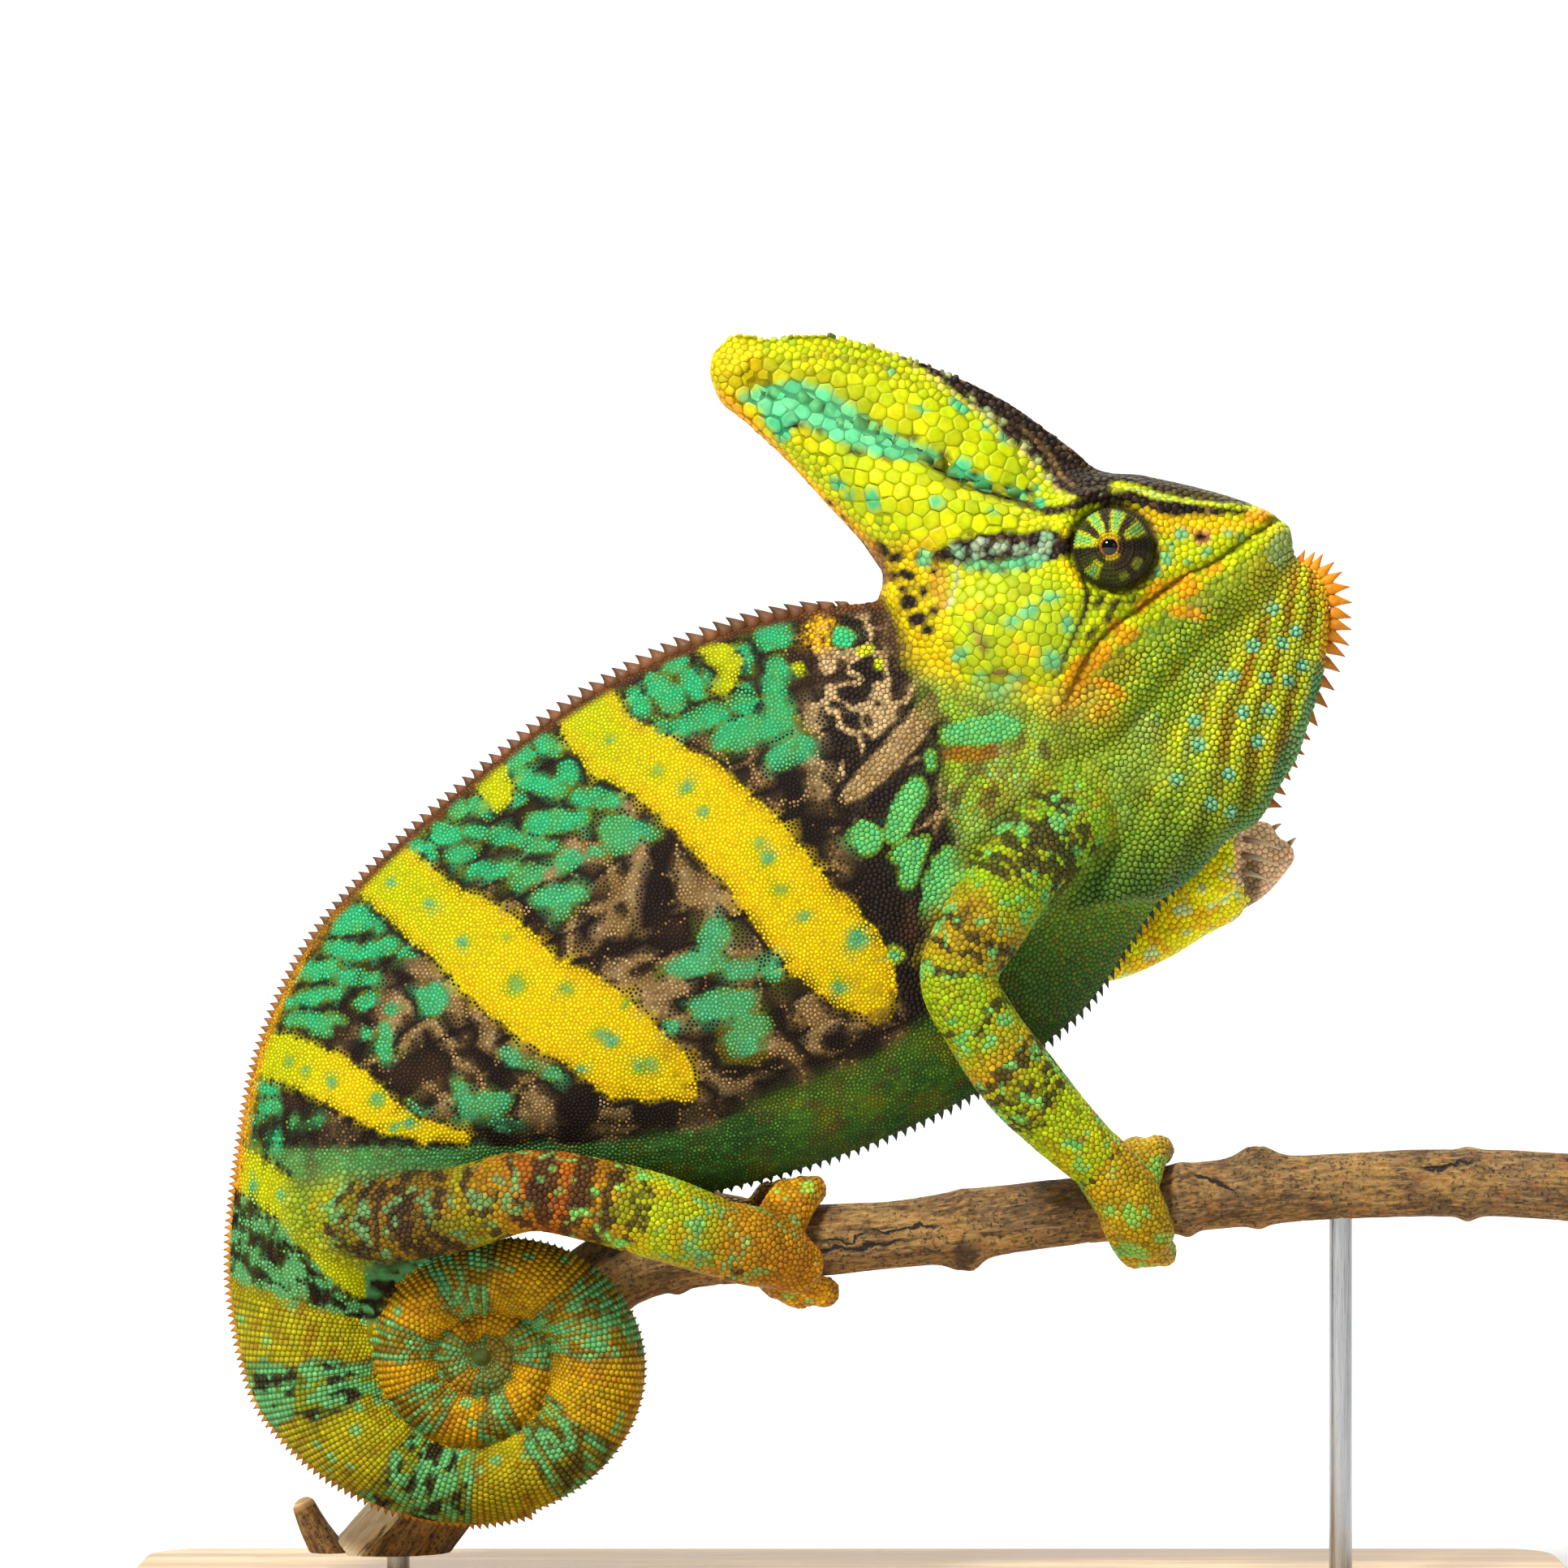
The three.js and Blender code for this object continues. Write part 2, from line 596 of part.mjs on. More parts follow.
// ================================================================ the whole model
function build() {
  const parts = {};
  const rods = { stand_rod_rear: REAR_ROD, stand_rod_front: FRONT_ROD };
  parts.stand_base = standBase();
  for (const [name, place] of Object.entries(rods)) parts[name] = rod(place);
  parts.perch_branch = without(branch(), Object.values(rods).map((place) => rod(place, GAP)));
  const thickBranch = branch(GAP);

  for (const [name, [from, to, around]] of Object.entries(TAIL_LENGTHS)) {
    parts[name] = coilPiece(from, to, around);
  }
  const thickCoil = joined(
    Object.values(TAIL_LENGTHS).map(([from, to, around]) => coilPiece(from, to, around, GAP)),
  );

  for (const [side, word] of [[RIGHT, "right"], [LEFT, "left"]]) {
    parts[`eye_${word}`] = eyeBall(PUPIL, side);
    const behind = box([40, 20, 40], [EYE.x, 0, EYE.z]);
    parts[`eye_turret_${word}`] = without(eyeBall(EYE, side), [eyeBall(PUPIL, side, GAP), behind]);
  }

  const spines = [
    ...crest(BODY, "upper", DORSAL, 0.35),
    ...crest(THROAT, "lower", GULAR, 0.15),
    ...crest(BODY, "lower", VENTRAL, 0.1),
  ];
  const sockets = [RIGHT, LEFT].map((side) => eyeBall(EYE, side, GAP));
  const cuts = CUTS.map(wall);
  const body = without(joined([core(), ...spines]), [...sockets, ...cuts, thickCoil]);
  const pieces = body.decompose();
  for (const [name, seed] of Object.entries(SEEDS)) parts[name] = pieceAt(pieces, seed);

  const cutters = [core(GAP), thickCoil, thickBranch];
  const level = (x) => box([44, 60, GAP], [x, 0, branchAt(x)[2]]);
  const foreCuts = { elbow: 3.1, wrist: 7.1, reach: 9, cutters };
  const hindCuts = { elbow: 3.4, wrist: 6.5, reach: 10.5, cutters };
  const limbs = [
    {
      ...foreCuts,
      names: ["upper_arm_right", "forearm_right", "hand_right_top_toes", "hand_right_low_toes"],
      rows: sided(ARM, RIGHT),
      foot: grippingFoot(GRIPS.hand_right),
      footCut: level(56),
    },
    {
      ...foreCuts,
      names: ["upper_arm_left", "forearm_left", "hand_left_far_toes", "hand_left_near_toes"],
      rows: sided(RAISED_ARM, LEFT),
      wrist: 6.6,
      reach: 11.5,
      foot: openHand(),
      footCut: box([32, GAP, 40], [74.4, 20, 139.5], 12, -35),
    },
    {
      ...hindCuts,
      names: ["thigh_right", "shin_right", "foot_right_top_toes", "foot_right_low_toes"],
      rows: sided(LEG, RIGHT),
      foot: grippingFoot(GRIPS.foot_right),
      footCut: level(0),
    },
    {
      ...hindCuts,
      names: ["thigh_left", "shin_left", "foot_left_top_toes", "foot_left_low_toes"],
      rows: sided(LEG.map(([x, ...rest]) => [x - 2, ...rest]), LEFT),
      foot: grippingFoot(GRIPS.foot_left),
      footCut: level(-2),
    },
  ];
  Object.assign(parts, ...limbs.map(limb));
  return parts;
}

// ================================================================ scene graph
const FINISHES = [
  [/^stand_base/, { color: 0xcdb48c, roughness: 0.5, metalness: 0 }],
  [/^stand_rod/, { color: 0xb8b8ba, roughness: 0.35, metalness: 1 }],
  [/^perch/, { color: 0x7d6143, roughness: 0.85, metalness: 0 }],
  [/^eye_(right|left)/, { color: 0x140c06, roughness: 0.1, metalness: 0 }],
  [/^eye_turret/, { color: 0x5c6420, roughness: 0.6, metalness: 0 }],
  [/^(casque|head)/, { color: 0xd2d20a, roughness: 0.55, metalness: 0 }],
  [/^tail/, { color: 0xa89a1c, roughness: 0.6, metalness: 0 }],
  [/_(arm|toes)|forearm|thigh|shin/, { color: 0xc29a18, roughness: 0.6, metalness: 0 }],
  [/.*/, { color: 0x7fa026, roughness: 0.6, metalness: 0 }],
];

function meshOf(name, body) {
  const { numProp, vertProperties, triVerts } = body.getMesh();
  const count = vertProperties.length / numProp;
  const position = new Float32Array(count * 3);
  for (let i = 0; i < count; i += 1) {
    position.set(vertProperties.subarray(i * numProp, i * numProp + 3), i * 3);
  }
  const geometry = new THREE.BufferGeometry();
  geometry.setAttribute("position", new THREE.BufferAttribute(position, 3));
  geometry.setIndex(new THREE.BufferAttribute(triVerts, 1));
  geometry.computeVertexNormals();
  const [, finish] = FINISHES.find(([pattern]) => pattern.test(name));
  const mesh = new THREE.Mesh(geometry, new THREE.MeshStandardMaterial(finish));
  mesh.name = name;
  return mesh;
}

const chameleon = new THREE.Group();
for (const [name, body] of Object.entries(build())) chameleon.add(meshOf(name, body));

export default chameleon;
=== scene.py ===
# %% [markdown]
# # A veiled chameleon on its perch
#
# This lesson dresses a life-size museum model: a male veiled chameleon that walks along a cut
# branch, held over a flat base by two steel rods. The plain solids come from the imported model.
# Every piece made here lies in the same frame, in metres, with the origin at the middle of the
# base's underside, +Z up and the snout towards +X. The animal's plane of symmetry is y = 0.
#
# A reptile's look is three things on top of each other: the form, the scales that tile it, and
# the markings that each scale carries. The lesson makes them in that order.

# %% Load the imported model
import math

import bmesh
import bpy
import numpy as np
from mathutils import Matrix, Vector, kdtree
from mathutils.bvhtree import BVHTree


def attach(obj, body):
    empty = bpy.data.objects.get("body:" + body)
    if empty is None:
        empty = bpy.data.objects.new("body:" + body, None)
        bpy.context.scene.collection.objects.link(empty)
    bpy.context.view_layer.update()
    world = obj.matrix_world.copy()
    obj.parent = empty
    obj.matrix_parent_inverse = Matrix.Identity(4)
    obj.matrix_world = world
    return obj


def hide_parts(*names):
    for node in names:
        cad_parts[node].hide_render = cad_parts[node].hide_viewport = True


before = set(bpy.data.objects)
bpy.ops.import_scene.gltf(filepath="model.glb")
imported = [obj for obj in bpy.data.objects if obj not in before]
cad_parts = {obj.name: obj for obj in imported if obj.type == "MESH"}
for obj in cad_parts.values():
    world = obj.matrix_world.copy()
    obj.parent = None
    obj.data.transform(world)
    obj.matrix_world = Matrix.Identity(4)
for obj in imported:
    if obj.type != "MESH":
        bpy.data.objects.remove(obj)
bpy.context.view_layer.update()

MM = 0.001  # the lists of sizes below are in millimetres
RIGHT, LEFT = -1, 1  # the animal's right side is at negative y
scene = bpy.context.scene
print(f"{len(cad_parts)} solids in the frame")

# %% [markdown]
# ## Camera, floor and light
#
# The camera stands far off with a long lens, level with the middle of the animal, so that the
# body is seen nearly without perspective. The floor is a pale sheet that curves up behind the
# model. Big soft lamps from the left, right and above keep the shadows open, and a pale surround
# fills the rest.

# %% Camera, floor and light
VIEW_MIDDLE = (-12.0, 150.3)  # x and z of the middle of the view
VIEW_WIDTH = 270.48
VIEW_DISTANCE = 1100
SENSOR_WIDTH = 36
FLOOR_FRONT, FLOOR_BACK, FLOOR_WIDTH, SWEEP_RADIUS, WALL_TOP = -2.2, 0.9, 5.0, 0.9, 3.4  # in metres
SWEEP_STEPS = 16
MODEL_MIDDLE = (-0.01, 0, 0.13)
LAMPS = [  # name, place, aim, size and power
    ("key_lamp", (-0.55, -0.75, 1.15), MODEL_MIDDLE, 0.34, 27),
    ("fill_lamp", (1.05, -0.9, 0.6), MODEL_MIDDLE, 0.8, 1.2),
    ("top_lamp", (0.1, 0.1, 1.35), MODEL_MIDDLE, 0.6, 4),
    ("back_lamp", (0.6, 1.0, 0.9), MODEL_MIDDLE, 0.9, 1.5),
    ("wall_lamp", (0, 0.75, 1.6), (0, 1.8, 0.35), 1.2, 20),
]


def add_object(name, mesh):
    piece = bpy.data.objects.new(name, mesh)
    scene.collection.objects.link(piece)
    return piece


def plain_material(name, color, roughness, metallic=0.0):
    material = bpy.data.materials.new(name)
    material.use_nodes = True
    shader = material.node_tree.nodes["Principled BSDF"]
    shader.inputs["Base Color"].default_value = (*color, 1)
    shader.inputs["Roughness"].default_value = roughness
    shader.inputs["Metallic"].default_value = metallic
    return material


def studio_sweep():
    profile = [(FLOOR_FRONT, 0.0), (FLOOR_BACK, 0.0)]
    for k in range(1, SWEEP_STEPS + 1):
        turn = math.pi / 2 * k / SWEEP_STEPS
        profile.append((FLOOR_BACK + SWEEP_RADIUS * math.sin(turn), SWEEP_RADIUS * (1 - math.cos(turn))))
    profile.append((FLOOR_BACK + SWEEP_RADIUS, WALL_TOP))
    points = [(side * FLOOR_WIDTH / 2, y, z) for y, z in profile for side in (-1, 1)]
    faces = [(2 * k, 2 * k + 1, 2 * k + 3, 2 * k + 2) for k in range(len(profile) - 1)]
    mesh = bpy.data.meshes.new("studio_floor")
    mesh.from_pydata(points, [], faces)
    mesh.shade_smooth()
    mesh.materials.append(plain_material("pale_floor", (0.93, 0.93, 0.925), 0.9))
    return add_object("studio_floor", mesh)


def soft_lamp(name, place, aim, size, power):
    lamp = bpy.data.lights.new(name, "AREA")
    lamp.shape = "DISK"
    lamp.size = size
    lamp.energy = power
    lamp_object = bpy.data.objects.new(name, lamp)
    scene.collection.objects.link(lamp_object)
    lamp_object.location = place
    lamp_object.rotation_euler = (Vector(aim) - Vector(place)).to_track_quat("-Z", "Y").to_euler()


floor = studio_sweep()

camera_data = bpy.data.cameras.new("camera")
camera_data.sensor_width = SENSOR_WIDTH
camera_data.lens = SENSOR_WIDTH * VIEW_DISTANCE / VIEW_WIDTH
camera = bpy.data.objects.new("camera", camera_data)
scene.collection.objects.link(camera)
camera.location = (VIEW_MIDDLE[0] * MM, -VIEW_DISTANCE * MM, VIEW_MIDDLE[1] * MM)
camera.rotation_euler = (math.pi / 2, 0, 0)
scene.camera = camera

for lamp in LAMPS:
    soft_lamp(*lamp)

world = bpy.data.worlds.new("pale_surround")
scene.world = world
world.use_nodes = True
world.node_tree.nodes["Background"].inputs["Color"].default_value = (1, 1, 1, 1)
world.node_tree.nodes["Background"].inputs["Strength"].default_value = 0.1
scene.view_settings.view_transform = "Standard"
print("camera at", tuple(round(v, 3) for v in camera.location))

# %% [markdown]
# ## Smooth rows
#
# The body is described by "rungs": lines across the side view from an upper edge to a lower
# edge, each with a half width, like the ribs of a boat. A limb is a row of circles along a bent
# line. Both are lists of numbers that a smooth curve can run through, so one helper reads a row
# at any place between the listed ones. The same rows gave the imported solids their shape. Here
# they are read much more closely.

# %% Read rows between rows
def row_at(rows, place):
    """The rows at many places, on a smooth curve through all of the listed rows."""
    rows = np.asarray(rows, float)
    place = np.atleast_1d(np.asarray(place, float))
    last = len(rows) - 1
    i = np.clip(np.floor(place).astype(int), 0, last - 1)
    t = (place - i)[:, None]
    a, b, c, d = (rows[np.clip(i + k, 0, last)] for k in (-1, 0, 1, 2))
    return b + 0.5 * t * (c - a + t * (2 * a - 5 * b + 4 * c - d + t * (3 * (b - c) + d - a)))


def rows_between(rows, first, last, steps):
    return row_at(rows, np.linspace(first, last, steps + 1))


def unit(v):
    return v / np.maximum(np.linalg.norm(v, axis=-1, keepdims=True), 1e-9)


TRUNK = [  # upper edge x and z, lower edge x and z, half width
    [16, 187, 67, 144, 10.5],
    [5, 182.5, 52, 128.5, 12.5],
    [-8, 180.5, 40, 111.5, 14],
    [-22, 177, 24, 98.5, 15.2],
    [-38, 170.2, 8, 90, 15.8],
    [-54, 160.5, -8, 84, 15.8],
    [-70, 147.8, -25, 79.5, 15.2],
    [-84, 135, -41, 76.5, 14],
    [-95, 121.5, -55, 75.5, 12.2],
    [-102.5, 105, -67, 74, 10.4],
    [-106, 88, -76.5, 69.5, 9],
    [-107.9, 70, -81.6, 61, 8.1],
    [-107, 57.5, -82.6, 55.5, 7.8],
]
HEAD = [
    [75, 195, 76, 190.5, 2.6],
    [71, 197.8, 73.5, 184.5, 6],
    [64, 200.4, 66, 177.5, 8.6],
    [54, 202.9, 57, 170, 11],
    [44.5, 204.4, 48, 161.5, 13],
    [33, 203, 38, 156, 14.4],
    [20, 197, 29, 157, 14],
    [9, 190, 21, 161, 12],
    [4, 184.5, 14, 166, 9],
]
CASQUE = [
    [-24.2, 225, -24.8, 220.5, 2.6],
    [-20.8, 228, -22.8, 215.8, 4.4],
    [-14, 227.6, -18.2, 212, 5],
    [-6, 228.2, -11.8, 206, 5.4],
    [4, 226, -4.6, 198.2, 6.6],
    [14, 221.8, 1.5, 191.5, 8.4],
    [24, 216.2, 5.5, 185.5, 10.6],
    [33, 210.6, 12, 180, 12.4],
    [42, 204.6, 22, 176, 12.8],
]
THROAT = [
    [72, 188, 77.6, 189.2, 2.4],
    [66, 180, 81.4, 185, 4.6],
    [58, 171, 82.2, 176.1, 7],
    [52, 162, 80.4, 165.5, 9],
    [46, 153, 76.4, 155.3, 10.4],
    [42, 145, 71.2, 145.8, 11],
    [38, 137, 64.4, 140.4, 11],
    [33, 129, 55, 131, 10.6],
]
COIL_MIDDLE = (-63.7, 52)
COIL_SIDE = -3
COIL_END = 3.05  # turns
COIL_FIRST, COIL_LAST = 0.27, COIL_END - 0.07  # between these its tube is lofted
COIL_ROOTS = (0.296, COIL_END - 0.1)  # between these scales grow on it
COIL_FLATNESS = 0.47  # half width over the distance from edge to edge
COIL_OPENING = [[0.03, 40.6], [0.07, 37.4], [0.115, 34.1], [0.175, 31.1], [0.24, 29.5], [0.295, 29.1]]
COIL_QUARTERS = [41, 28.9, 27.6, 19.8, 18.6, 15.4, 12.3, 7.9, 8.6, 7.4, 5.8, 3.8, 3, 2.4, 1.8, 1.1, 0.7]
GAP = 0.3
CONTACT = 0.5  # how far a turn of the coil presses into the next one


def coil_reach(turns):
    """How far the coil's outer edge is from its middle after this many turns."""
    place = np.minimum(np.atleast_1d(turns) * 4.0, len(COIL_QUARTERS) - 1.001)
    return row_at([[q] for q in COIL_QUARTERS], place)[:, 0]


def coil_rungs(turns, outer=None):
    turns = np.atleast_1d(np.asarray(turns, float))
    outer = coil_reach(turns) if outer is None else np.asarray(outer, float)
    inner = np.where(turns + 1 < COIL_END, coil_reach(turns + 1) - CONTACT, outer * 0.25)
    half = np.clip((outer - inner) * COIL_FLATNESS, 0.5, 8)
    side = COIL_SIDE * np.minimum(turns * 3, 1)
    angle = math.pi + turns * 2 * math.pi
    x, z = COIL_MIDDLE
    cos, sin = np.cos(angle), np.sin(angle)
    return np.stack([x + outer * cos, z + outer * sin, x + inner * cos, z + inner * sin, half, side], 1)


opening = np.array(COIL_OPENING)
BODY = np.vstack([np.hstack([TRUNK, np.zeros((len(TRUNK), 1))]), coil_rungs(opening[:, 0], opening[:, 1])])
BODY_LAST = len(BODY) - 1
print(f"body of {len(BODY)} rungs, coil of {COIL_END} turns")

# %% [markdown]
# ## Rough flesh
#
# Each part is lofted as a closed tube of its own: trunk with the root of the tail, the coil,
# head, casque, throat, limbs, and every toe. They are pushed into each other as a modeller pushes
# clay together. Every point is tagged with the part it belongs to and with its place on it, in
# order to find later, for any spot of the skin, how far along the tail or down the leg it is.

# %% Lofts of the trunk, tail and head
SKIN_DEPTH = 0.3  # the skin lies this far inside the form, and the scales fill it up
flesh = []  # closed tubes as (part, rings, place of each ring along the part, place of each point around it)
TRUNK_FORM, TAIL_FORM, HEAD_FORM = (0.6, 1.1), (0.5, 1.0), (0.5, 1.0)
CASQUE_FORM, THROAT_FORM = (0.62, 1.75), (0.55, 0.9)


def ladder_rings(rungs, form, around, grow):
    """Rings round each rung. form is how keen the edges are and how high the widest place is."""
    keen, low = form
    turn = 2 * math.pi * np.arange(around) / around
    u = (1 - np.cos(turn)) / 2
    full = np.sign(np.sin(turn)) * np.abs(np.sin(math.pi * u**low)) ** keen
    x0, z0, x1, z1, half = (rungs[:, k, None] for k in range(5))
    side = rungs[:, 5, None] if rungs.shape[1] > 5 else np.zeros_like(x0)
    length = np.hypot(x1 - x0, z1 - z0)
    along = u * (length + 2 * grow) - grow
    x = x0 + (x1 - x0) / length * along
    z = z0 + (z1 - z0) / length * along
    y = side + (half + grow) * full
    return np.stack([x, y, z], 2), np.tile(u, (len(rungs), 1))


def add_ladder(name, rungs, places, form, around=48, grow=-SKIN_DEPTH):
    rings, down = ladder_rings(np.asarray(rungs, float), form, around, grow)
    flesh.append((name, rings, places, down))


body_places = np.linspace(0, BODY_LAST, 190)
add_ladder("body", row_at(BODY, body_places), body_places, TRUNK_FORM)
coil_turns = np.linspace(COIL_FIRST, COIL_LAST, 320)
add_ladder("coil", coil_rungs(coil_turns), coil_turns, TAIL_FORM, around=32, grow=0)
for part_name, rows, form in (
    ("head", HEAD, HEAD_FORM),
    ("casque", CASQUE, CASQUE_FORM),
    ("throat", THROAT, THROAT_FORM),
):
    part_places = np.linspace(0, len(rows) - 1, 90)
    add_ladder(part_name, row_at(rows, part_places), part_places, form)
print([name for name, *_ in flesh])

# %% [markdown]
# ## Branch, limbs and toes
#
# The branch comes before the limbs, because the feet wrap round it. A chameleon's foot is a pair
# of tongs: two toes are bound together on one side and three on the other. So each bundle's path
# runs round the branch from the palm, over the top or underneath, and the toes lie side by side
# along it. The free hand is open, with its soles and claws to be seen.

# %% Paths of the branch, limbs and toes
BRANCH = [  # x, y, z and radius, from the cut lower end to the cut front end
    [-84, 17, 13, 8.6],
    [-77, 16.5, 21, 8.4],
    [-67, 16, 34, 8.2],
    [-57, 15.5, 46, 8],
    [-50.5, 14.5, 55.5, 7.8],
    [-44.5, 12.5, 63.2, 7.3],
    [-37, 9.5, 67.6, 6.9],
    [-25, 4.5, 69.9, 6.5],
    [-12, 1.5, 71.1, 6.3],
    [8, 0, 72.7, 5.8],
    [22, 0, 74.6, 5.9],
    [41, 0, 77, 5.8],
    [62, 0, 79.4, 5.8],
    [85, 0, 81, 5.8],
    [106, 0, 81.5, 5.7],
    [126.5, 0, 80.6, 5.9],
]
ARM = [  # x, distance from the plane of symmetry, z and radius, from the body outwards
    [38, 7, 146, 8],
    [29.8, 12.5, 137.5, 7.5],
    [22.2, 17, 127, 7.4],
    [17.6, 19, 117.8, 6.8],
    [21.5, 18.5, 109, 6.6],
    [28, 16.5, 100, 7],
    [35, 13.5, 92.3, 6.2],
    [42, 10.5, 85.5, 5.3],
    [46, 9, 81, 4.6],
]
RAISED_ARM = [
    [38, 8, 146, 8.2],
    [34, 15, 137, 7.4],
    [32.5, 20, 128.5, 6.4],
    [36.5, 23, 121.5, 5.7],
    [45, 23.5, 120.6, 5.2],
    [53.5, 22.5, 124.3, 5.3],
    [59.5, 21, 129, 6.1],
    [64.3, 21.5, 131.4, 6.1],
]
LEG = [
    [-92, 3, 78, 7],
    [-82, 8, 76, 7.6],
    [-69, 13.5, 77.5, 7.4],
    [-55.5, 17, 81.2, 7.1],
    [-44, 17, 79.6, 7.3],
    [-32.5, 14.8, 76.3, 7.4],
    [-22, 12, 72.3, 6.6],
    [-15.5, 10, 69.5, 5.2],
]
GRIPS = {  # side, palm x, x of each bundle's tip, how far round each goes in degrees, toes on top
    "hand_right": (RIGHT, 47, 51.3, 51.6, 108, 92, 2),
    "foot_right": (RIGHT, -13.5, -8.8, -6.2, 78, 84, 3),
    "foot_left": (LEFT, -15.5, -12, -10.5, 66, 62, 3),
}
TOE_ACROSS, TOE_THICK = 4.7, 2.7  # half of a bundle across and through
OPEN_FAR = [  # x, y, z, half across, half thick
    [62.5, 21.5, 131.2, 5.4, 4.8],
    [69.6, 25.5, 135.6, 5.7, 3.7],
    [74.6, 26.3, 140.1, 4.7, 2.7],
]
OPEN_NEAR = [
    [61, 19, 132, 5.3, 4.6],
    [63.5, 15, 135.6, 5.4, 3.9],
    [66.2, 13.2, 137, 5.2, 2.8],
]
branch_rows = rows_between(BRANCH, 0, len(BRANCH) - 1, 600)
claw_places = []  # part, root, direction, bend and length of every claw


def branch_at(x):
    """The branch's middle and radius where it passes x."""
    row = branch_rows[np.argmax(branch_rows[:, 0] >= x)]
    return row[1], row[2], row[3]


def tube_rings(rows, steps, around, across, grow, cap=True):
    """Rings along a path, with rounded ends, and each ring's place along the rows."""
    places = np.linspace(0, len(rows) - 1, steps + 1)
    path = row_at(rows, places)
    middle = path[:, :3]
    wide_half = path[:, 3] + grow
    thick_half = (path[:, 4] if path.shape[1] > 4 else path[:, 3]) + grow
    ahead = unit(np.gradient(middle, axis=0))
    shares = np.ones(len(path))
    if cap:
        bulge = np.sin(np.linspace(0, math.pi / 2, 7)[1:-1])  # shares of the radius at each end
        reach = np.sqrt(1 - bulge**2) * 0.8
        start = middle[0] - ahead[0] * thick_half[0] * reach[:, None]
        end = middle[-1] + ahead[-1] * thick_half[-1] * reach[::-1, None]
        count = len(bulge)
        middle = np.vstack([start, middle, end])
        ahead = np.vstack([np.tile(ahead[0], (count, 1)), ahead, np.tile(ahead[-1], (count, 1))])
        wide_half = np.pad(wide_half, count, mode="edge")
        thick_half = np.pad(thick_half, count, mode="edge")
        places = np.pad(places, count, mode="edge")
        shares = np.concatenate([bulge, shares, bulge[::-1]])
    wide = unit(across - ahead * (ahead @ across)[:, None])
    thick = np.cross(ahead, wide)
    turn = 2 * math.pi * np.arange(around) / around
    rings = (
        middle[:, None]
        + wide[:, None] * (wide_half * shares)[:, None, None] * np.cos(turn)[:, None]
        + thick[:, None] * (thick_half * shares)[:, None, None] * np.sin(turn)[:, None]
    )
    return rings, places, np.tile(turn / (2 * math.pi), (len(rings), 1))


def add_tube(name, rows, steps=40, around=28, across=(0, 1, 0), grow=-SKIN_DEPTH, place=None):
    """A tube of flesh. One that only fills a gap has one place on its part for all of its rings."""
    rings, places, down = tube_rings(np.asarray(rows, float), steps, around, unit(np.array(across, float)),
                                     grow)
    if place is not None:
        places[:] = place
    flesh.append((name, rings, places, down))


def add_toes(name, rows, count, across, bend=(0, 0, 0), claw_reach=3.6, webbing=0.72):
    """A pad and the toes that lie side by side on it. Each toe's tip gets a place for a claw."""
    rows = np.asarray(rows, float)
    across = unit(np.array(across, float))
    pad = rows.copy()
    pad[:, 3] *= 0.93
    pad[:, 4] *= 0.9
    pad_end = row_at(pad, np.linspace(0, (len(pad) - 1) * webbing, len(pad)))
    add_tube(name, pad_end, steps=16, across=across, grow=0.1)
    for k in range(count):
        offset = (k / (count - 1) - 0.5) * 2
        toe = rows.copy()
        share = 0.56 if count == 2 else 0.43
        toe[:, :3] += across * (offset * (1 - share) * rows[:, 3])[:, None]
        toe[:, 3] = rows[:, 3] * share
        toe[:, 4] = rows[:, 4] * 1.02
        reach = 1 - 0.1 * abs(offset - 0.3)
        toe = row_at(toe, np.linspace(0, (len(toe) - 1) * reach, len(toe)))
        add_tube(name, toe, steps=18, around=20, across=across, grow=0.1)
        ahead = unit(toe[-1, :3] - toe[-2, :3])
        root = toe[-1, :3] + ahead * toe[-1, 4] * 0.45
        claw_places.append((name, root, ahead, np.array(bend, float), claw_reach))


def sided(rows, side):
    return [[x, side * y, *rest] for x, y, *rest in rows]


def grip_rows(side, palm, end, sweep, turn):
    rows = []
    for k in range(7):
        t = k / 6
        x = palm + (end - palm) * t
        y, z, radius = branch_at(x)
        swing = math.radians(turn * (14 + (sweep - 14) * t))
        reach = radius + GAP + TOE_THICK
        taper = 1 - 0.12 * t
        place = [x, y + side * reach * math.cos(swing), z + reach * math.sin(swing)]
        rows.append([*place, TOE_ACROSS * taper, TOE_THICK * taper])
    return rows


add_tube("arm_right", sided(ARM, RIGHT), steps=70, around=32)
add_tube("arm_left", sided(RAISED_ARM, LEFT), steps=60, around=32)
add_tube("leg_right", sided(LEG, RIGHT), steps=80, around=32)
add_tube("leg_left", sided([[x - 2, *rest] for x, *rest in LEG], LEFT), steps=80, around=32)
ALONG_BRANCH = (1, 0, 0.08)
for foot, (side, palm, top_end, low_end, top_turn, low_turn, top_toes) in GRIPS.items():
    add_toes(foot, grip_rows(side, palm, top_end, top_turn, 1), top_toes, ALONG_BRANCH, claw_reach=2.4)
    add_toes(foot, grip_rows(side, palm, low_end, low_turn, -1), 5 - top_toes, ALONG_BRANCH, claw_reach=2.4)
PALMS = {  # the fleshy palm between the wrist and the toes: x, y, z, radius
    "hand_right": [[41, -10.6, 87, 5.3], [45, -9.8, 82, 6], [48, -9.2, 77, 5.8], [50.5, -7.5, 73, 4.8]],
    "foot_right": [[-24, -12.4, 73, 6.6], [-18, -11, 71.5, 7], [-13.5, -9.8, 70, 6.4], [-9.5, -7.8, 67.5, 5]],
    "foot_left": [[-26, 12.4, 73, 6.6], [-20, 11, 71.5, 7], [-16, 9.8, 70, 6.2], [-12.5, 8.2, 67.5, 4.8]],
}
for foot, palm_rows in PALMS.items():
    add_tube(foot, palm_rows, steps=20)
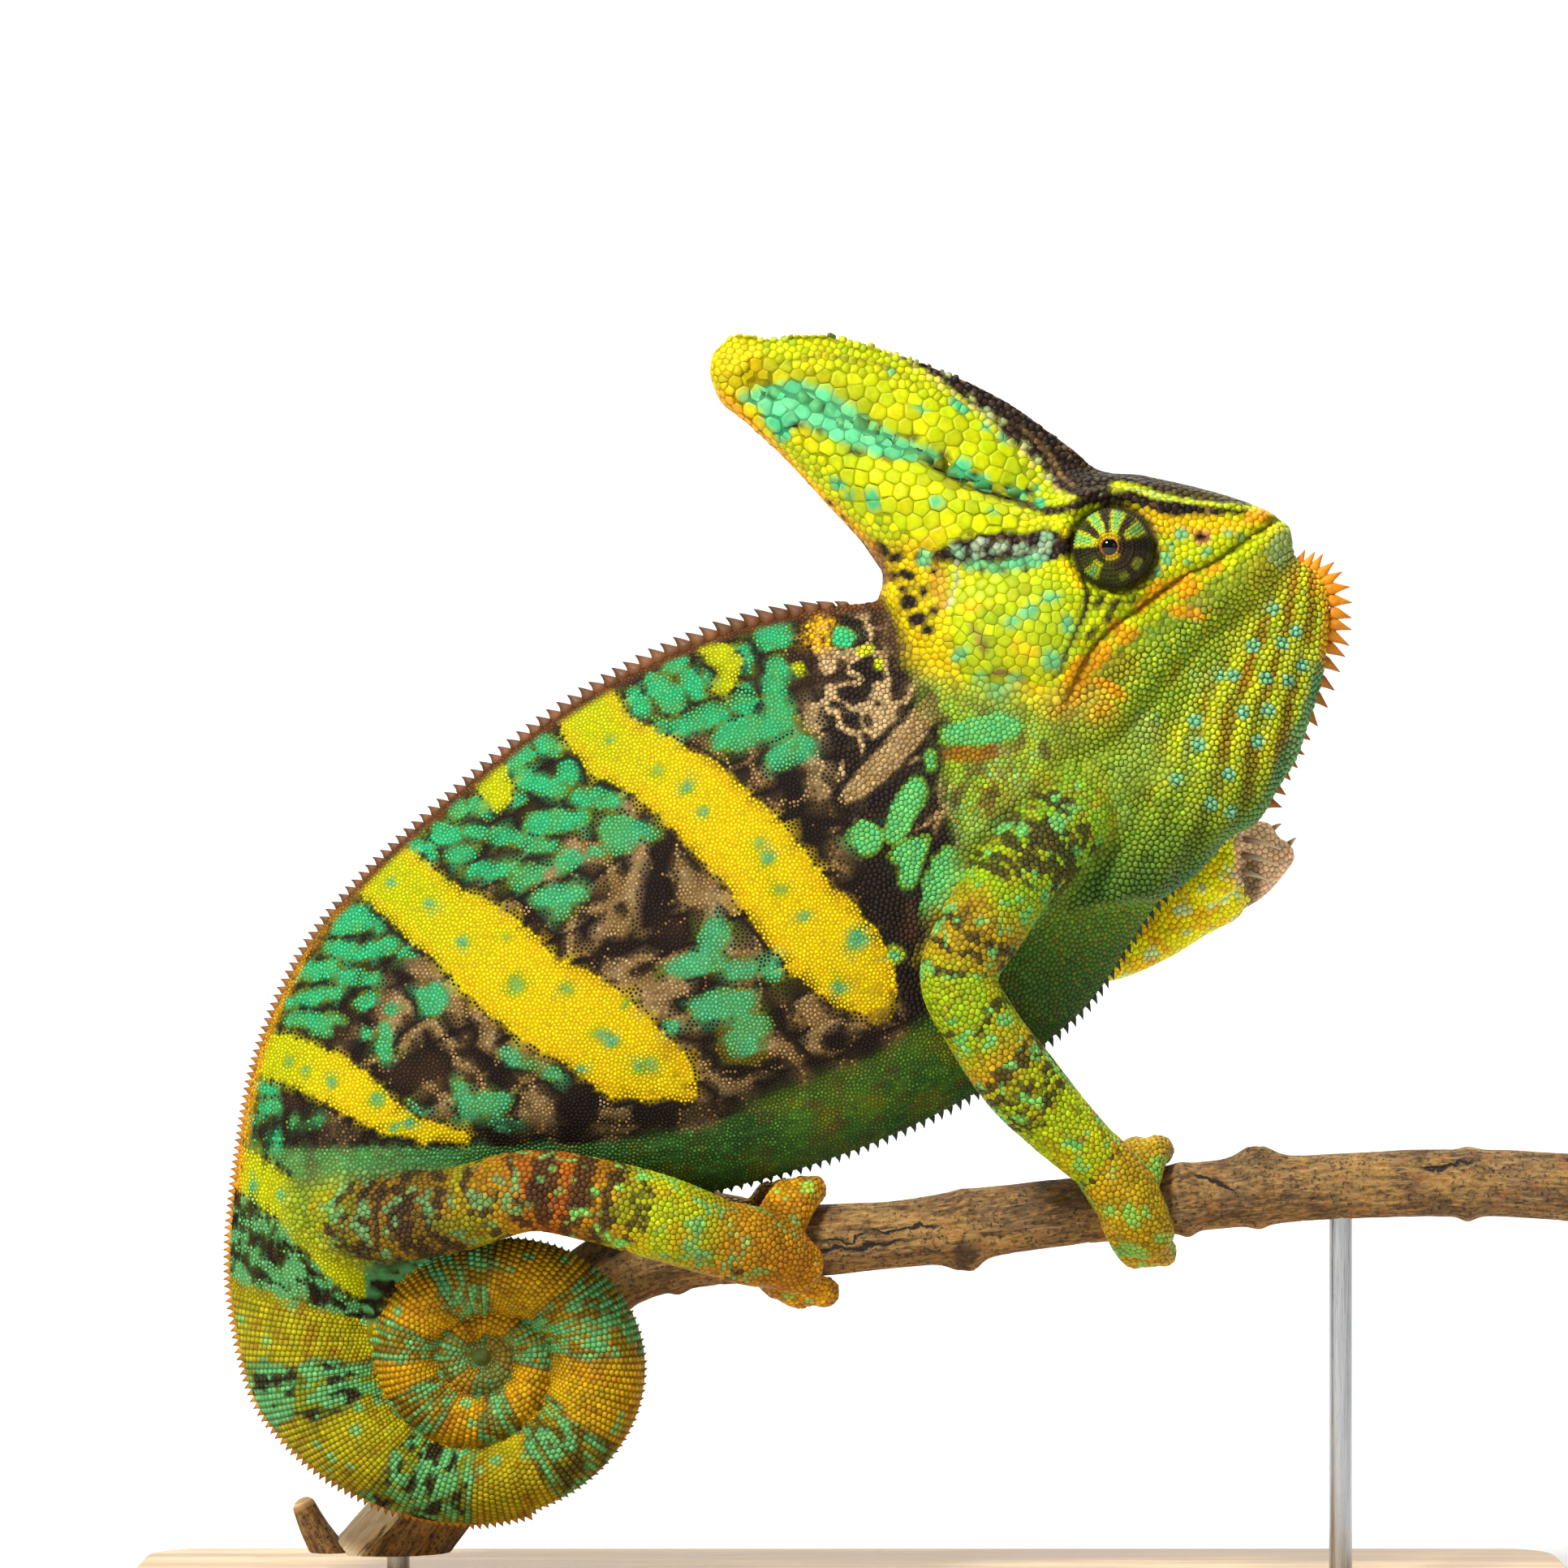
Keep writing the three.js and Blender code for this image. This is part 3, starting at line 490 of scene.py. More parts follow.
add_toes("hand_left", OPEN_FAR, 2, (0.6, 0, -0.8), bend=(-1, -3, -1), claw_reach=4.2, webbing=0.86)
add_toes("hand_left", OPEN_NEAR, 3, (0.15, 0, 1), bend=(3.6, 1, -3.4), claw_reach=4.8, webbing=0.86)
print(f"{len(flesh)} tubes of flesh and {len(claw_places)} claws")

# %% [markdown]
# ## One skin
#
# The tubes are joined into one mesh, and a voxel remesh walks round the outside of them all and
# leaves a single closed surface. That is why the skin has no seam at a shoulder or at a toe. A
# remesh leaves small steps and sharp creases, so the points are then averaged with their
# neighbours. Each averaging step is followed by one in the other direction, which keeps the form
# from shrinking.

# %% Join the tubes and remesh them
VOXEL = 0.62  # mm


def loft_faces(ring_count, around, first):
    """Quads between rings and a fan of triangles over each end."""
    ring = np.arange(ring_count - 1)[:, None] * around
    k = np.arange(around)[None]
    after = (k + 1) % around
    quads = np.stack([ring + k, ring + after, ring + around + after, ring + around + k], 2).reshape(-1, 4)
    start, end = ring_count * around, ring_count * around + 1
    last = (ring_count - 1) * around
    k, after = np.arange(around), (np.arange(around) + 1) % around
    fans = np.vstack([
        np.stack([np.full(around, start), after, k], 1),
        np.stack([np.full(around, end), last + k, last + after], 1),
    ])
    return quads + first, fans + first


def loft_points(rings):
    return np.vstack([rings.reshape(-1, 3), rings[0].mean(0), rings[-1].mean(0)])


def lofted(tubes):
    """Points and blocks of faces of one mesh with many tubes, each given as its rings."""
    points, quads, fans, count = [], [], [], 0
    for rings in tubes:
        tube_quads, tube_fans = loft_faces(len(rings), rings.shape[1], count)
        points.append(loft_points(rings))
        quads.append(tube_quads)
        fans.append(tube_fans)
        count += len(points[-1])
    return np.vstack(points), [np.vstack(quads), np.vstack(fans)]


def mesh_from(name, points, faces, unit_size=MM):
    """A mesh from an array of points in millimetres and arrays of faces of equal or mixed sizes."""
    mesh = bpy.data.meshes.new(name)
    blocks = [np.asarray(block, np.int32) for block in (faces if isinstance(faces, list) else [faces])]
    corners = np.concatenate([block.ravel() for block in blocks])
    totals = np.concatenate([np.full(len(block), block.shape[1], np.int32) for block in blocks])
    mesh.vertices.add(len(points))
    mesh.vertices.foreach_set("co", (np.asarray(points) * unit_size).astype(np.float32).ravel())
    mesh.loops.add(len(corners))
    mesh.loops.foreach_set("vertex_index", corners)
    mesh.polygons.add(len(totals))
    mesh.polygons.foreach_set("loop_start", np.concatenate([[0], np.cumsum(totals)[:-1]]).astype(np.int32))
    mesh.update(calc_edges=True)
    mesh.shade_smooth()
    return mesh


def outward(name, points, faces):
    """The same, with every closed shell turned the right way out."""
    mesh = mesh_from(name, points, faces)
    bm = bmesh.new()
    bm.from_mesh(mesh)
    bmesh.ops.recalc_face_normals(bm, faces=bm.faces)
    bm.to_mesh(mesh)
    bm.free()
    return mesh


def points_of(mesh):
    points = np.empty(len(mesh.vertices) * 3, np.float32)
    mesh.vertices.foreach_get("co", points)
    return points.reshape(-1, 3).astype(float) / MM


def normals_of(mesh):
    normals = np.empty(len(mesh.vertices) * 3, np.float32)
    mesh.vertex_normals.foreach_get("vector", normals)
    return normals.reshape(-1, 3).astype(float)


def applied(piece):
    """The piece's mesh with its modifiers applied, in place of the old one."""
    evaluated = piece.evaluated_get(bpy.context.evaluated_depsgraph_get())
    mesh = bpy.data.meshes.new_from_object(evaluated)
    piece.modifiers.clear()
    old = piece.data
    piece.data = mesh
    bpy.data.meshes.remove(old)
    return piece


# The floor of the mouth joins the head to the throat, a ridge tops the casque, skin bridges the
# tail and its coil under the thigh, and a small core closes the coil's middle.
BRIDGE_PLACE = BODY_LAST - 5  # the rung whose markings the bridge takes
add_tube("head", [[70, 0, 187.5, 5], [61, 0, 179, 8.5], [51, 0, 169, 10.5], [42, 0, 157, 11.5]], around=32)
add_tube("body", [[-89, 0, 71.5, 4.5], [-84, -1, 68.5, 4.4], [-79.5, -1.8, 67.6, 3.9], [-75, -2.3, 69.3, 3.4],
                  [-71, -2.8, 70.5, 2.6]], around=24, place=BRIDGE_PLACE)
add_tube("body", [[-82, -1.5, 67, 3.8], [-81.4, -1.6, 62, 3.6], [-83, -2, 56.5, 2.4], [-84, -2.4, 52, 1.6]],
         around=20, place=BRIDGE_PLACE)
add_tube("casque", [[7, 0, 223.9, 1], [15, 0, 220.4, 1.4], [21, 0, 217.5, 1.6], [27, 0, 214.1, 1.7],
                    [33, 0, 209.8, 1.7], [39, 0, 205.5, 1.7], [43.5, 0, 203.1, 1.4]], around=20)
add_tube("coil", [[-64, -4.2, 51.9, 2], [-64, -1.8, 51.9, 2]], steps=4, around=16, across=(1, 0, 0),
         place=COIL_LAST)

EYE = {"x": 44.3, "z": 190.6, "y": 10.6, "radius": 6.9}
eye_ball = bmesh.new()
for side in (RIGHT, LEFT):
    made = bmesh.ops.create_uvsphere(eye_ball, u_segments=40, v_segments=24,
                                     radius=EYE["radius"] - SKIN_DEPTH - 0.4)
    bmesh.ops.translate(eye_ball, verts=made["verts"], vec=(EYE["x"], side * EYE["y"], EYE["z"]))
rough = outward("skin", *lofted([rings for _, rings, _, _ in flesh]))
rough_with_eyes = bmesh.new()
rough_with_eyes.from_mesh(rough)
bmesh.ops.scale(eye_ball, verts=eye_ball.verts, vec=(MM, MM, MM))
eye_mesh = bpy.data.meshes.new("turret_cores")
eye_ball.to_mesh(eye_mesh)
eye_ball.free()
rough_with_eyes.from_mesh(eye_mesh)
rough_with_eyes.to_mesh(rough)
rough_with_eyes.free()
bpy.data.meshes.remove(eye_mesh)
skin = add_object("skin", rough)
remesh = skin.modifiers.new("one_surface", "REMESH")
remesh.mode = "VOXEL"
remesh.voxel_size = VOXEL * MM
applied(skin)
print(f"remeshed to {len(skin.data.vertices)} points")

# %% Smooth the surface
def edges_of(mesh):
    edges = np.empty(len(mesh.edges) * 2, np.int32)
    mesh.edges.foreach_get("vertices", edges)
    return edges.reshape(-1, 2)


def averaged(values, edges, degree):
    a, b = edges.T
    sums = [np.bincount(a, values[b, k], len(values)) + np.bincount(b, values[a, k], len(values))
            for k in range(values.shape[1])]
    return np.stack(sums, 1) / degree[:, None]


def smoothed(values, edges, rounds, there=0.6, back=0.0):
    degree = np.maximum(np.bincount(edges.ravel(), minlength=len(values)), 1)
    for _ in range(rounds):
        values = values + there * (averaged(values, edges, degree) - values)
        if back:
            values = values - back * (averaged(values, edges, degree) - values)
    return values


def set_points(mesh, points):
    mesh.vertices.foreach_set("co", (points * MM).astype(np.float32).ravel())
    mesh.update()


edges = edges_of(skin.data)
points = smoothed(points_of(skin.data), edges, rounds=4, there=0.62, back=0.6)
set_points(skin.data, points)
print("smoothed skin spans", np.round(points.min(0), 1), np.round(points.max(0), 1))

# %% [markdown]
# ## Where on the animal
#
# A marking on the trunk is easily said in side view, but the bars of a leg follow the leg and
# the rings of the tail follow the coil. So every skin point looks up the nearest point of the
# closely read lofts, and takes over its part, its place along the part and its place around it.
# A k-d tree finds the nearest point quickly.

# %% Label every point with its part and its place
PARTS = ["body", "coil", "head", "casque", "throat", "arm_right", "arm_left", "leg_right", "leg_left",
         "hand_right", "hand_left", "foot_right", "foot_left"]


def tree_of(spots):
    """A k-d tree of many spots."""
    tree = kdtree.KDTree(len(spots))
    for index, spot in enumerate(spots):
        tree.insert(spot, index)
    tree.balance()
    return tree


def label_samples():
    spots, tags = [], []
    for name, rings, places, down in flesh:
        spots.append(rings.reshape(-1, 3))
        tag = np.empty((rings.shape[0], rings.shape[1], 3))
        tag[..., 0] = PARTS.index(name)
        tag[..., 1] = np.asarray(places)[:, None]
        tag[..., 2] = down
        tags.append(tag.reshape(-1, 3))
    return np.vstack(spots), np.vstack(tags)


sample_spots, sample_tags = label_samples()
label_tree = tree_of(sample_spots)


def tags_at(spots):
    """Part, place along it and place around it, for many spots."""
    found = np.fromiter((label_tree.find(spot)[1] for spot in spots), np.int64, len(spots))
    return sample_tags[found]


def is_part(tags, *words):
    """True where the part's name holds one of the words."""
    return np.isin(tags[:, 0], [PARTS.index(name) for name in PARTS if any(word in name for word in words)])


tags = tags_at(points)
for index, name in enumerate(PARTS):
    print(f"{name}: {int((tags[:, 0] == index).sum())} points")

# %% [markdown]
# ## Where parts meet
#
# Two tubes of clay that are pushed together leave a hard crease. On the animal, skin is drawn
# over the joint in a soft hollow. Where an edge of the mesh joins two different parts, the points
# round it are averaged many more times, and the effect fades away over a few millimetres. Toes
# and the coil keep their creases.

# %% Soften the joints between parts
kept_sharp = is_part(tags, "hand", "foot", "coil")
first, second = edges.T
crossing = (tags[first, 0] != tags[second, 0]) & ~kept_sharp[first] & ~kept_sharp[second]
softness = np.zeros(len(points))
softness[edges[crossing].ravel()] = 1
softness = np.clip(smoothed(softness[:, None], edges, rounds=30, there=1)[:, 0] * 5, 0, 1)
softened = smoothed(points, edges, rounds=60, there=0.6)
body_even = smoothed(points, edges, rounds=10, there=0.62, back=0.6)
calm = smoothed((~kept_sharp).astype(float)[:, None], edges, rounds=8)
points = points + calm * (body_even - points)
points = points + (softness[:, None] * calm) * (softened - points)
set_points(skin.data, points)
print(f"{crossing.sum()} edges join two parts")

# %% [markdown]
# ## Folds, ridges and grooves
#
# The lofts give the body's masses. What makes it a chameleon is finer: the valley along each
# side of the casque, the rims over it, the ridge of the brow, the closed mouth, the nostril, the
# bulge of the jaw muscle behind the eye and the pleats of the throat. Each is a line in side
# view with a width and a height, and skin near the line moves out or in along its own normal.
# Lines keep such features easy to shift, much as a sculptor draws with a tool.

# %% Measure distances in side view
def path_distance(spots, line):
    """Distance in side view to a smooth line, and the line's other values at the nearest point."""
    line = np.asarray(line, float)
    steps = 10 * (len(line) - 1)
    path = rows_between(line, 0, len(line) - 1, steps)
    start, step = path[:-1, :2], np.diff(path[:, :2], axis=0)
    length = np.maximum((step**2).sum(1), 1e-9)
    best = np.full(len(spots), 1e9)
    values = np.zeros((len(spots), path.shape[1] - 2))
    place = np.zeros(len(spots))
    for k in range(steps):
        offset = spots - start[k]
        t = np.clip(offset @ step[k] / length[k], 0, 1)
        away = np.hypot(*(offset - t[:, None] * step[k]).T)
        nearer = away < best
        best[nearer] = away[nearer]
        values[nearer] = (path[k, 2:] + t[:, None] * (path[k + 1, 2:] - path[k, 2:]))[nearer]
        place[nearer] = (k + t[nearer]) / 10
    return best, values, place


def near_line(spots, line, reach, value):
    """value(distance) where the line is within reach, else 0."""
    line = np.asarray(line, float)
    low, high = line[:, :2].min(0) - reach, line[:, :2].max(0) + reach
    close = ((spots > low) & (spots < high)).all(1)
    result = np.zeros(len(spots))
    result[close] = value(path_distance(spots[close], line)[0])
    return result


MOUTH = [(73, 195.9), (67.5, 192.3), (62.8, 188.9), (55.8, 185.4), (48.8, 180.5), (41.8, 174.9),
         (38.3, 169.3), (36.4, 164.4)]
RELIEF = {  # line in side view, width, height
    "casque valley": ([(-15, 219), (-6, 215.5), (6.8, 209.5), (20.8, 203), (32, 199)], 3.4, -1.5),
    "casque rim": ([(-20, 221.5), (-15.5, 225), (-5, 225.4), (5, 223.6), (14, 219.5), (24, 213.5), (33, 207),
                    (39, 202.5)], 1.2, 0.8),
    "casque side": ([(38, 198), (30, 196.2), (20, 196.5), (8, 200), (-4, 206), (-12, 212.5)], 3, 0.8),
    "casque rear edge": ([(-22, 217), (-17, 210.5), (-10, 203), (-3, 195.5), (3, 189.5)], 1.3, 0.5),
    "temple row": ([(14, 189.2), (22, 191.2), (30, 191.4), (35.5, 193.5)], 1.1, 0.6),
    "brow": ([(33, 197.4), (36.4, 197.8), (39.6, 199.1), (42.8, 199.7), (46.2, 199.9), (49.1, 199.3),
              (52.3, 198), (55.5, 197.6),
              (60, 197.4), (66, 197.2)], 1.1, 1.2),
    "forehead edge": ([(42, 203), (50, 201.6), (58, 200.4), (66, 199)], 0.9, 0.4),
    "jaw": ([(68, 186), (58, 178), (49, 169), (42, 162.5)], 3.2, 0.9),
    "fold under the jaw": ([(66, 180), (58, 172.5), (51, 164.5), (44.5, 157.5), (37, 154)], 2.4, -1.6),
    "upper lip": ([(70, 196.2), (63, 191.2), (55, 187.5), (48, 182.8), (41, 177.5), (36.5, 171)], 1.2, 0.45),
    "lower lip": ([(70.5, 191.8), (64, 187.2), (57, 183.2), (50, 178.3), (43.5, 173)], 1.2, 0.4),
    "mouth": (MOUTH, 0.55, -1.1),
    "corner of the mouth": ([(38, 172), (35, 167), (33.5, 162)], 1.6, 0.5),
}
BUMPS = {  # middle in side view, half sizes, height
    "jaw muscle": ((26, 177.5), (10.5, 10.5), 1.5),
    "snout corner": ((70, 196.5), (3, 2), 0.4),
    "shoulder": ((27, 141), (11, 12), 0.8),
}
NOSTRIL = (59.5, 192.6)
PLEAT_FAN = (91, 247)  # the point above the snout that the throat's pleats fan out from
PLEAT_TURN = 0.054  # radians from one pleat to the next


def side_distance(spots, x, z):
    """Distance in side view from one place."""
    return np.hypot(spots[:, 0] - x, spots[:, 2] - z)


def relief_at(spots, tags):
    """How far each point moves out, in mm."""
    side_view = spots[:, [0, 2]]
    head_like = ~is_part(tags, "arm", "leg")
    move = np.zeros(len(spots))
    for line, width, height in RELIEF.values():
        move += near_line(side_view, line, 4 * width, lambda d: height * np.exp(-((d / width) ** 2)))
    for middle, half, height in BUMPS.values():
        away = np.hypot(*((side_view - middle) / half).T)
        move += height * np.exp(-((away / 0.85) ** 4))
    from_eye = side_distance(spots, EYE["x"], EYE["z"])
    move -= 1.3 * np.exp(-(((from_eye - 7.3) / 0.9) ** 2))
    move += 0.6 * np.exp(-(((from_eye - 9) / 0.9) ** 2))
    from_nostril = side_distance(spots, *NOSTRIL)
    move += 0.4 * np.exp(-((from_nostril / 2) ** 2)) - 1.7 * np.exp(-((from_nostril / 0.9) ** 2))
    on_side = np.clip((np.abs(spots[:, 1]) - 1) / 3, 0, 1)
    move *= on_side * head_like
    return move


def pleats_at(spots):
    """1 on the ridges of the throat's pleats and -1 in the grooves between them."""
    turn = np.arctan2(PLEAT_FAN[0] - spots[:, 0], PLEAT_FAN[1] - spots[:, 2])
    return np.cos(2 * math.pi * (turn / PLEAT_TURN + 0.12 * np.sin(spots[:, 2] / 4.5)))


def pleat_relief(spots, tags):
    throat = is_part(tags, "throat").astype(float)
    fade = np.clip((tags[:, 1] - 0.8) / 1.5, 0, 1) * np.clip(tags[:, 2] / 0.15, 0, 1)
    inside = np.clip(2 * smoothed(throat[:, None], edges, rounds=8)[:, 0] - 1, 0, 1)
    return 0.3 * pleats_at(spots) * fade * inside


moved = relief_at(points, tags) + pleat_relief(points, tags)
even = smoothed(moved[:, None], edges, rounds=2, there=0.5)[:, 0]
points = points + normals_of(skin.data) * even[:, None]
set_points(skin.data, points)
print(f"the folds go from {even.min():.2f} to {even.max():.2f} mm")

# %% [markdown]
# ## Roots for the scales
#
# A veiled chameleon has small granules on its flanks, larger ones on the limbs and feet, beads on
# the throat, big flat plates on the casque, and rings of small blocks round the tail. Geometry
# Nodes scatter the roots: points on the skin that keep a least distance to each other, with one
# distance for each kind of skin. The tail is different, since its scales stand in rings, so their
# roots come straight from the rungs.

# %% How far apart the scales are
CASQUE_PLATES = [(-14, 217, 7), (0, 213, 9.5), (12, 207, 10.5), (22, 203, 8), (4, 203, 7), (14, 198, 8),
                 (24, 197.5, 5.5)]
SPACINGS = {"turret": 0.62, "flank": 0.64, "neck": 0.84, "bead": 1.02, "limb": 1.02, "head": 1.3,
            "cheek": 2.2, "plate": 3.0}
KINDS = list(SPACINGS)


def kind_at(spots, tags):
    """Which kind of scale grows at each point, as an index into KINDS."""
    x, y, z = spots.T
    side_view = spots[:, [0, 2]]
    kind = np.full(len(spots), KINDS.index("flank"))
    body = is_part(tags, "body")
    kind[body & (x > -2 - 0.25 * (z - 150)) & (z > 110)] = KINDS.index("neck")
    kind[is_part(tags, "throat")] = KINDS.index("bead")
    kind[is_part(tags, "arm", "leg", "hand", "foot")] = KINDS.index("limb")
    head = is_part(tags, "head", "casque")
    kind[head] = KINDS.index("head")
    under_jaw = head & (near_line(side_view, MOUTH, 40, lambda d: d) > 0) & (z < 0.66 * x + 141)
    kind[under_jaw] = KINDS.index("bead")
    cheek = np.hypot((x - 26) / 10, (z - 177.5) / 10) < 1
    kind[head & cheek] = KINDS.index("cheek")
    plates = np.zeros(len(spots), bool)
    for middle_x, middle_z, radius in CASQUE_PLATES:
        plates |= np.hypot(x - middle_x, z - middle_z) < radius
    kind[head & plates & (np.abs(y) > 1.8)] = KINDS.index("plate")
    return kind


kinds = kind_at(points, tags)
for index, name in enumerate(KINDS):
    print(f"{name}: {int((kinds == index).sum())} skin points")

# %% Scatter the roots with Geometry Nodes
TAIL_FROM = 11.6  # the rung of the body where the rings of the tail begin
MOST_ROOTS = 1.4e7  # per square metre, before the ones that stand too close are dropped
LEAST_SHARE = 0.84  # least distance over the spacing that relaxing leads to


def geometry_tree(name, inputs, output):
    """An empty Geometry Nodes tree with its sockets, and its first and last node."""
    tree = bpy.data.node_groups.new(name, "GeometryNodeTree")
    for socket, kind in inputs:
        tree.interface.new_socket(socket, in_out="INPUT", socket_type=f"NodeSocket{kind}")
    tree.interface.new_socket(output, in_out="OUTPUT", socket_type="NodeSocketGeometry")
    return tree, tree.nodes.new("NodeGroupInput"), tree.nodes.new("NodeGroupOutput")


def named_attribute(tree, name, data_type):
    node = tree.nodes.new("GeometryNodeInputNamedAttribute")
    node.data_type = data_type
    node.inputs["Name"].default_value = name
    return node


def link_all(tree, *links):
    """Joins sockets, each link given as node, output, node and input."""
    for start, output, end, target in links:
        tree.links.new(start.outputs[output], end.inputs[target])


def scatter_tree():
    """Points on the faces of one kind, no closer than a least distance."""
    inputs = (("Skin", "Geometry"), ("Kind", "Float"), ("Least distance", "Float"), ("Seed", "Int"))
    tree, source, result = geometry_tree("scatter_roots", inputs, "Roots")
    kind = named_attribute(tree, "scale_kind", "FLOAT")
    same = tree.nodes.new("FunctionNodeCompare")
    same.data_type = "FLOAT"
    same.operation = "EQUAL"
    same.inputs["Epsilon"].default_value = 0.3
    scatter = tree.nodes.new("GeometryNodeDistributePointsOnFaces")
    scatter.distribute_method = "POISSON"
    scatter.inputs["Density Max"].default_value = MOST_ROOTS
    to_vertices = tree.nodes.new("GeometryNodePointsToVertices")
    link_all(
        tree,
        (kind, "Attribute", same, "A"),
        (source, "Kind", same, "B"),
        (source, "Skin", scatter, "Mesh"),
        (same, "Result", scatter, "Selection"),
        (source, "Least distance", scatter, "Distance Min"),
        (source, "Seed", scatter, "Seed"),
        (scatter, "Points", to_vertices, "Points"),
        (to_vertices, "Mesh", result, "Roots"),
    )
    return tree


def set_inputs(modifier, **values):
    """Sets a Geometry Nodes modifier's inputs by the identifiers of their sockets."""
    sockets = {item.name: item.identifier for item in modifier.node_group.interface.items_tree
               if item.in_out == "INPUT"}
    for name, value in values.items():
        modifier[sockets[name.replace("_", " ")]] = value


def float_attribute(mesh, name, values):
    attribute = mesh.attributes.get(name) or mesh.attributes.new(name, "FLOAT", "POINT")
    attribute.data.foreach_set("value", np.asarray(values, np.float32))


tail_ringed = (is_part(tags, "body") & (tags[:, 1] > TAIL_FROM)) | is_part(tags, "coil")
float_attribute(skin.data, "scale_kind", np.where(tail_ringed, -1, kinds))
roots_tree = scatter_tree()
found_roots, found_kinds = [], []
for index in range(len(KINDS) - 1, 0, -1):
    scatter = skin.modifiers.new("roots", "NODES")
    scatter.node_group = roots_tree
    set_inputs(scatter, Kind=float(index), Least_distance=SPACINGS[KINDS[index]] * LEAST_SHARE * MM,
               Seed=7 + index)
    evaluated = skin.evaluated_get(bpy.context.evaluated_depsgraph_get())
    made = points_of(bpy.data.meshes.new_from_object(evaluated))
    skin.modifiers.clear()
    found_roots.append(made)
    found_kinds.append(np.full(len(made), index))
    print(f"{KINDS[index]}: {len(made)} roots")

# %% Rings of roots round the tail
RING_STEP, ROUND_STEP = 0.92, 0.98  # mm along the tail, and from scale to scale in a ring
BODY_SAMPLES, COIL_SAMPLES = 400, 900


def tail_ring_roots():
    """Rings across the tail from its root to its tip, each with whole scales round it."""
    body_run = np.linspace(TAIL_FROM, BODY_LAST, BODY_SAMPLES)
    coil_run = np.linspace(*COIL_ROOTS, COIL_SAMPLES)
    rungs = np.vstack([row_at(BODY, body_run), coil_rungs(coil_run)])
    middle = (rungs[:, [0, 1]] + rungs[:, [2, 3]]) / 2
    run = np.concatenate([[0], np.cumsum(np.hypot(*np.diff(middle, axis=0).T))])
    stops = np.arange(0, run[-1], RING_STEP)
    rows = np.stack([np.interp(stops, run, rungs[:, k]) for k in range(rungs.shape[1])], 1)
    roots = []
    body_stops = (stops < run[BODY_SAMPLES - 1]).sum()
    for ring, row in enumerate(rows):
        outline, _ = ladder_rings(row[None], TRUNK_FORM if ring < body_stops else TAIL_FORM, 96, -0.1)
        outline = np.vstack([outline[0], outline[0][:1]])
        along = np.concatenate([[0], np.cumsum(np.linalg.norm(np.diff(outline, axis=0), axis=1))])
        count = max(int(round(along[-1] / ROUND_STEP)), 5)
        spots = (np.arange(count) + 0.5 * (ring % 2)) / count * along[-1]
        roots.append(np.stack([np.interp(spots, along, outline[:, k]) for k in range(3)], 1))
    return np.vstack(roots)


tail_roots = tail_ring_roots()
print(f"{len(tail_roots)} roots on the tail")

# %% [markdown]
# ## Set the roots on the skin, and let them find room
#
# Scattered roots are uneven: some stand close, some leave a hole. Every root has a cell, the
# area that is nearer to it than to any other root, and moving each root to the middle of its cell
# a few times spreads them out evenly, as real scales are. The same cells are then the outlines of
# the scales, so that neighbours share their borders as tiles do. A cell is found in the plane that
# touches the skin: its corners are the points that are equally far from the root and two
# neighbours, and no nearer to any other one.

# %% Find the cell of each root
surface = BVHTree.FromPolygons([Vector(p) for p in points],
                               [list(face.vertices) for face in skin.data.polygons])
skin_normals = normals_of(skin.data)
face_corners = np.array([tuple(face.vertices)[:3] for face in skin.data.polygons])


def on_skin(spots):
    """The nearest skin to each spot: place, normal, tags and distance."""
    hits = [surface.find_nearest(spot) for spot in spots]
    places = np.array([hit[0] for hit in hits])
    faces = np.array([hit[2] for hit in hits])
    distances = np.array([hit[3] for hit in hits])
    corners = face_corners[faces]
    return places, unit(skin_normals[corners].mean(1)), tags[corners[:, 0]], distances


def frames_at(normals):
    """Two directions in the plane that touches the skin."""
    upright = np.where(np.abs(normals[:, 2:]) < 0.9, [[0.0, 0.0, 1.0]], [[1.0, 0.0, 0.0]])
    first = unit(np.cross(upright, normals))
    return first, np.cross(normals, first)


NEAR = 10  # neighbours that can shape a cell
FENCE_SIDES, FENCE_REACH = 6, 1.5  # a fence round each root closes the cells at the edge of a patch
MOST_CORNERS = 10
BATCH = 4000  # cells worked out at once
FAR = 50.0  # mm, farther than anything that matters to one spot


def neighbours_of(roots):
    tree = tree_of(roots)
    found = [[index for _, index, _ in tree.find_n(root, NEAR + 1)] for root in roots]
    return np.array(found)[:, 1:]


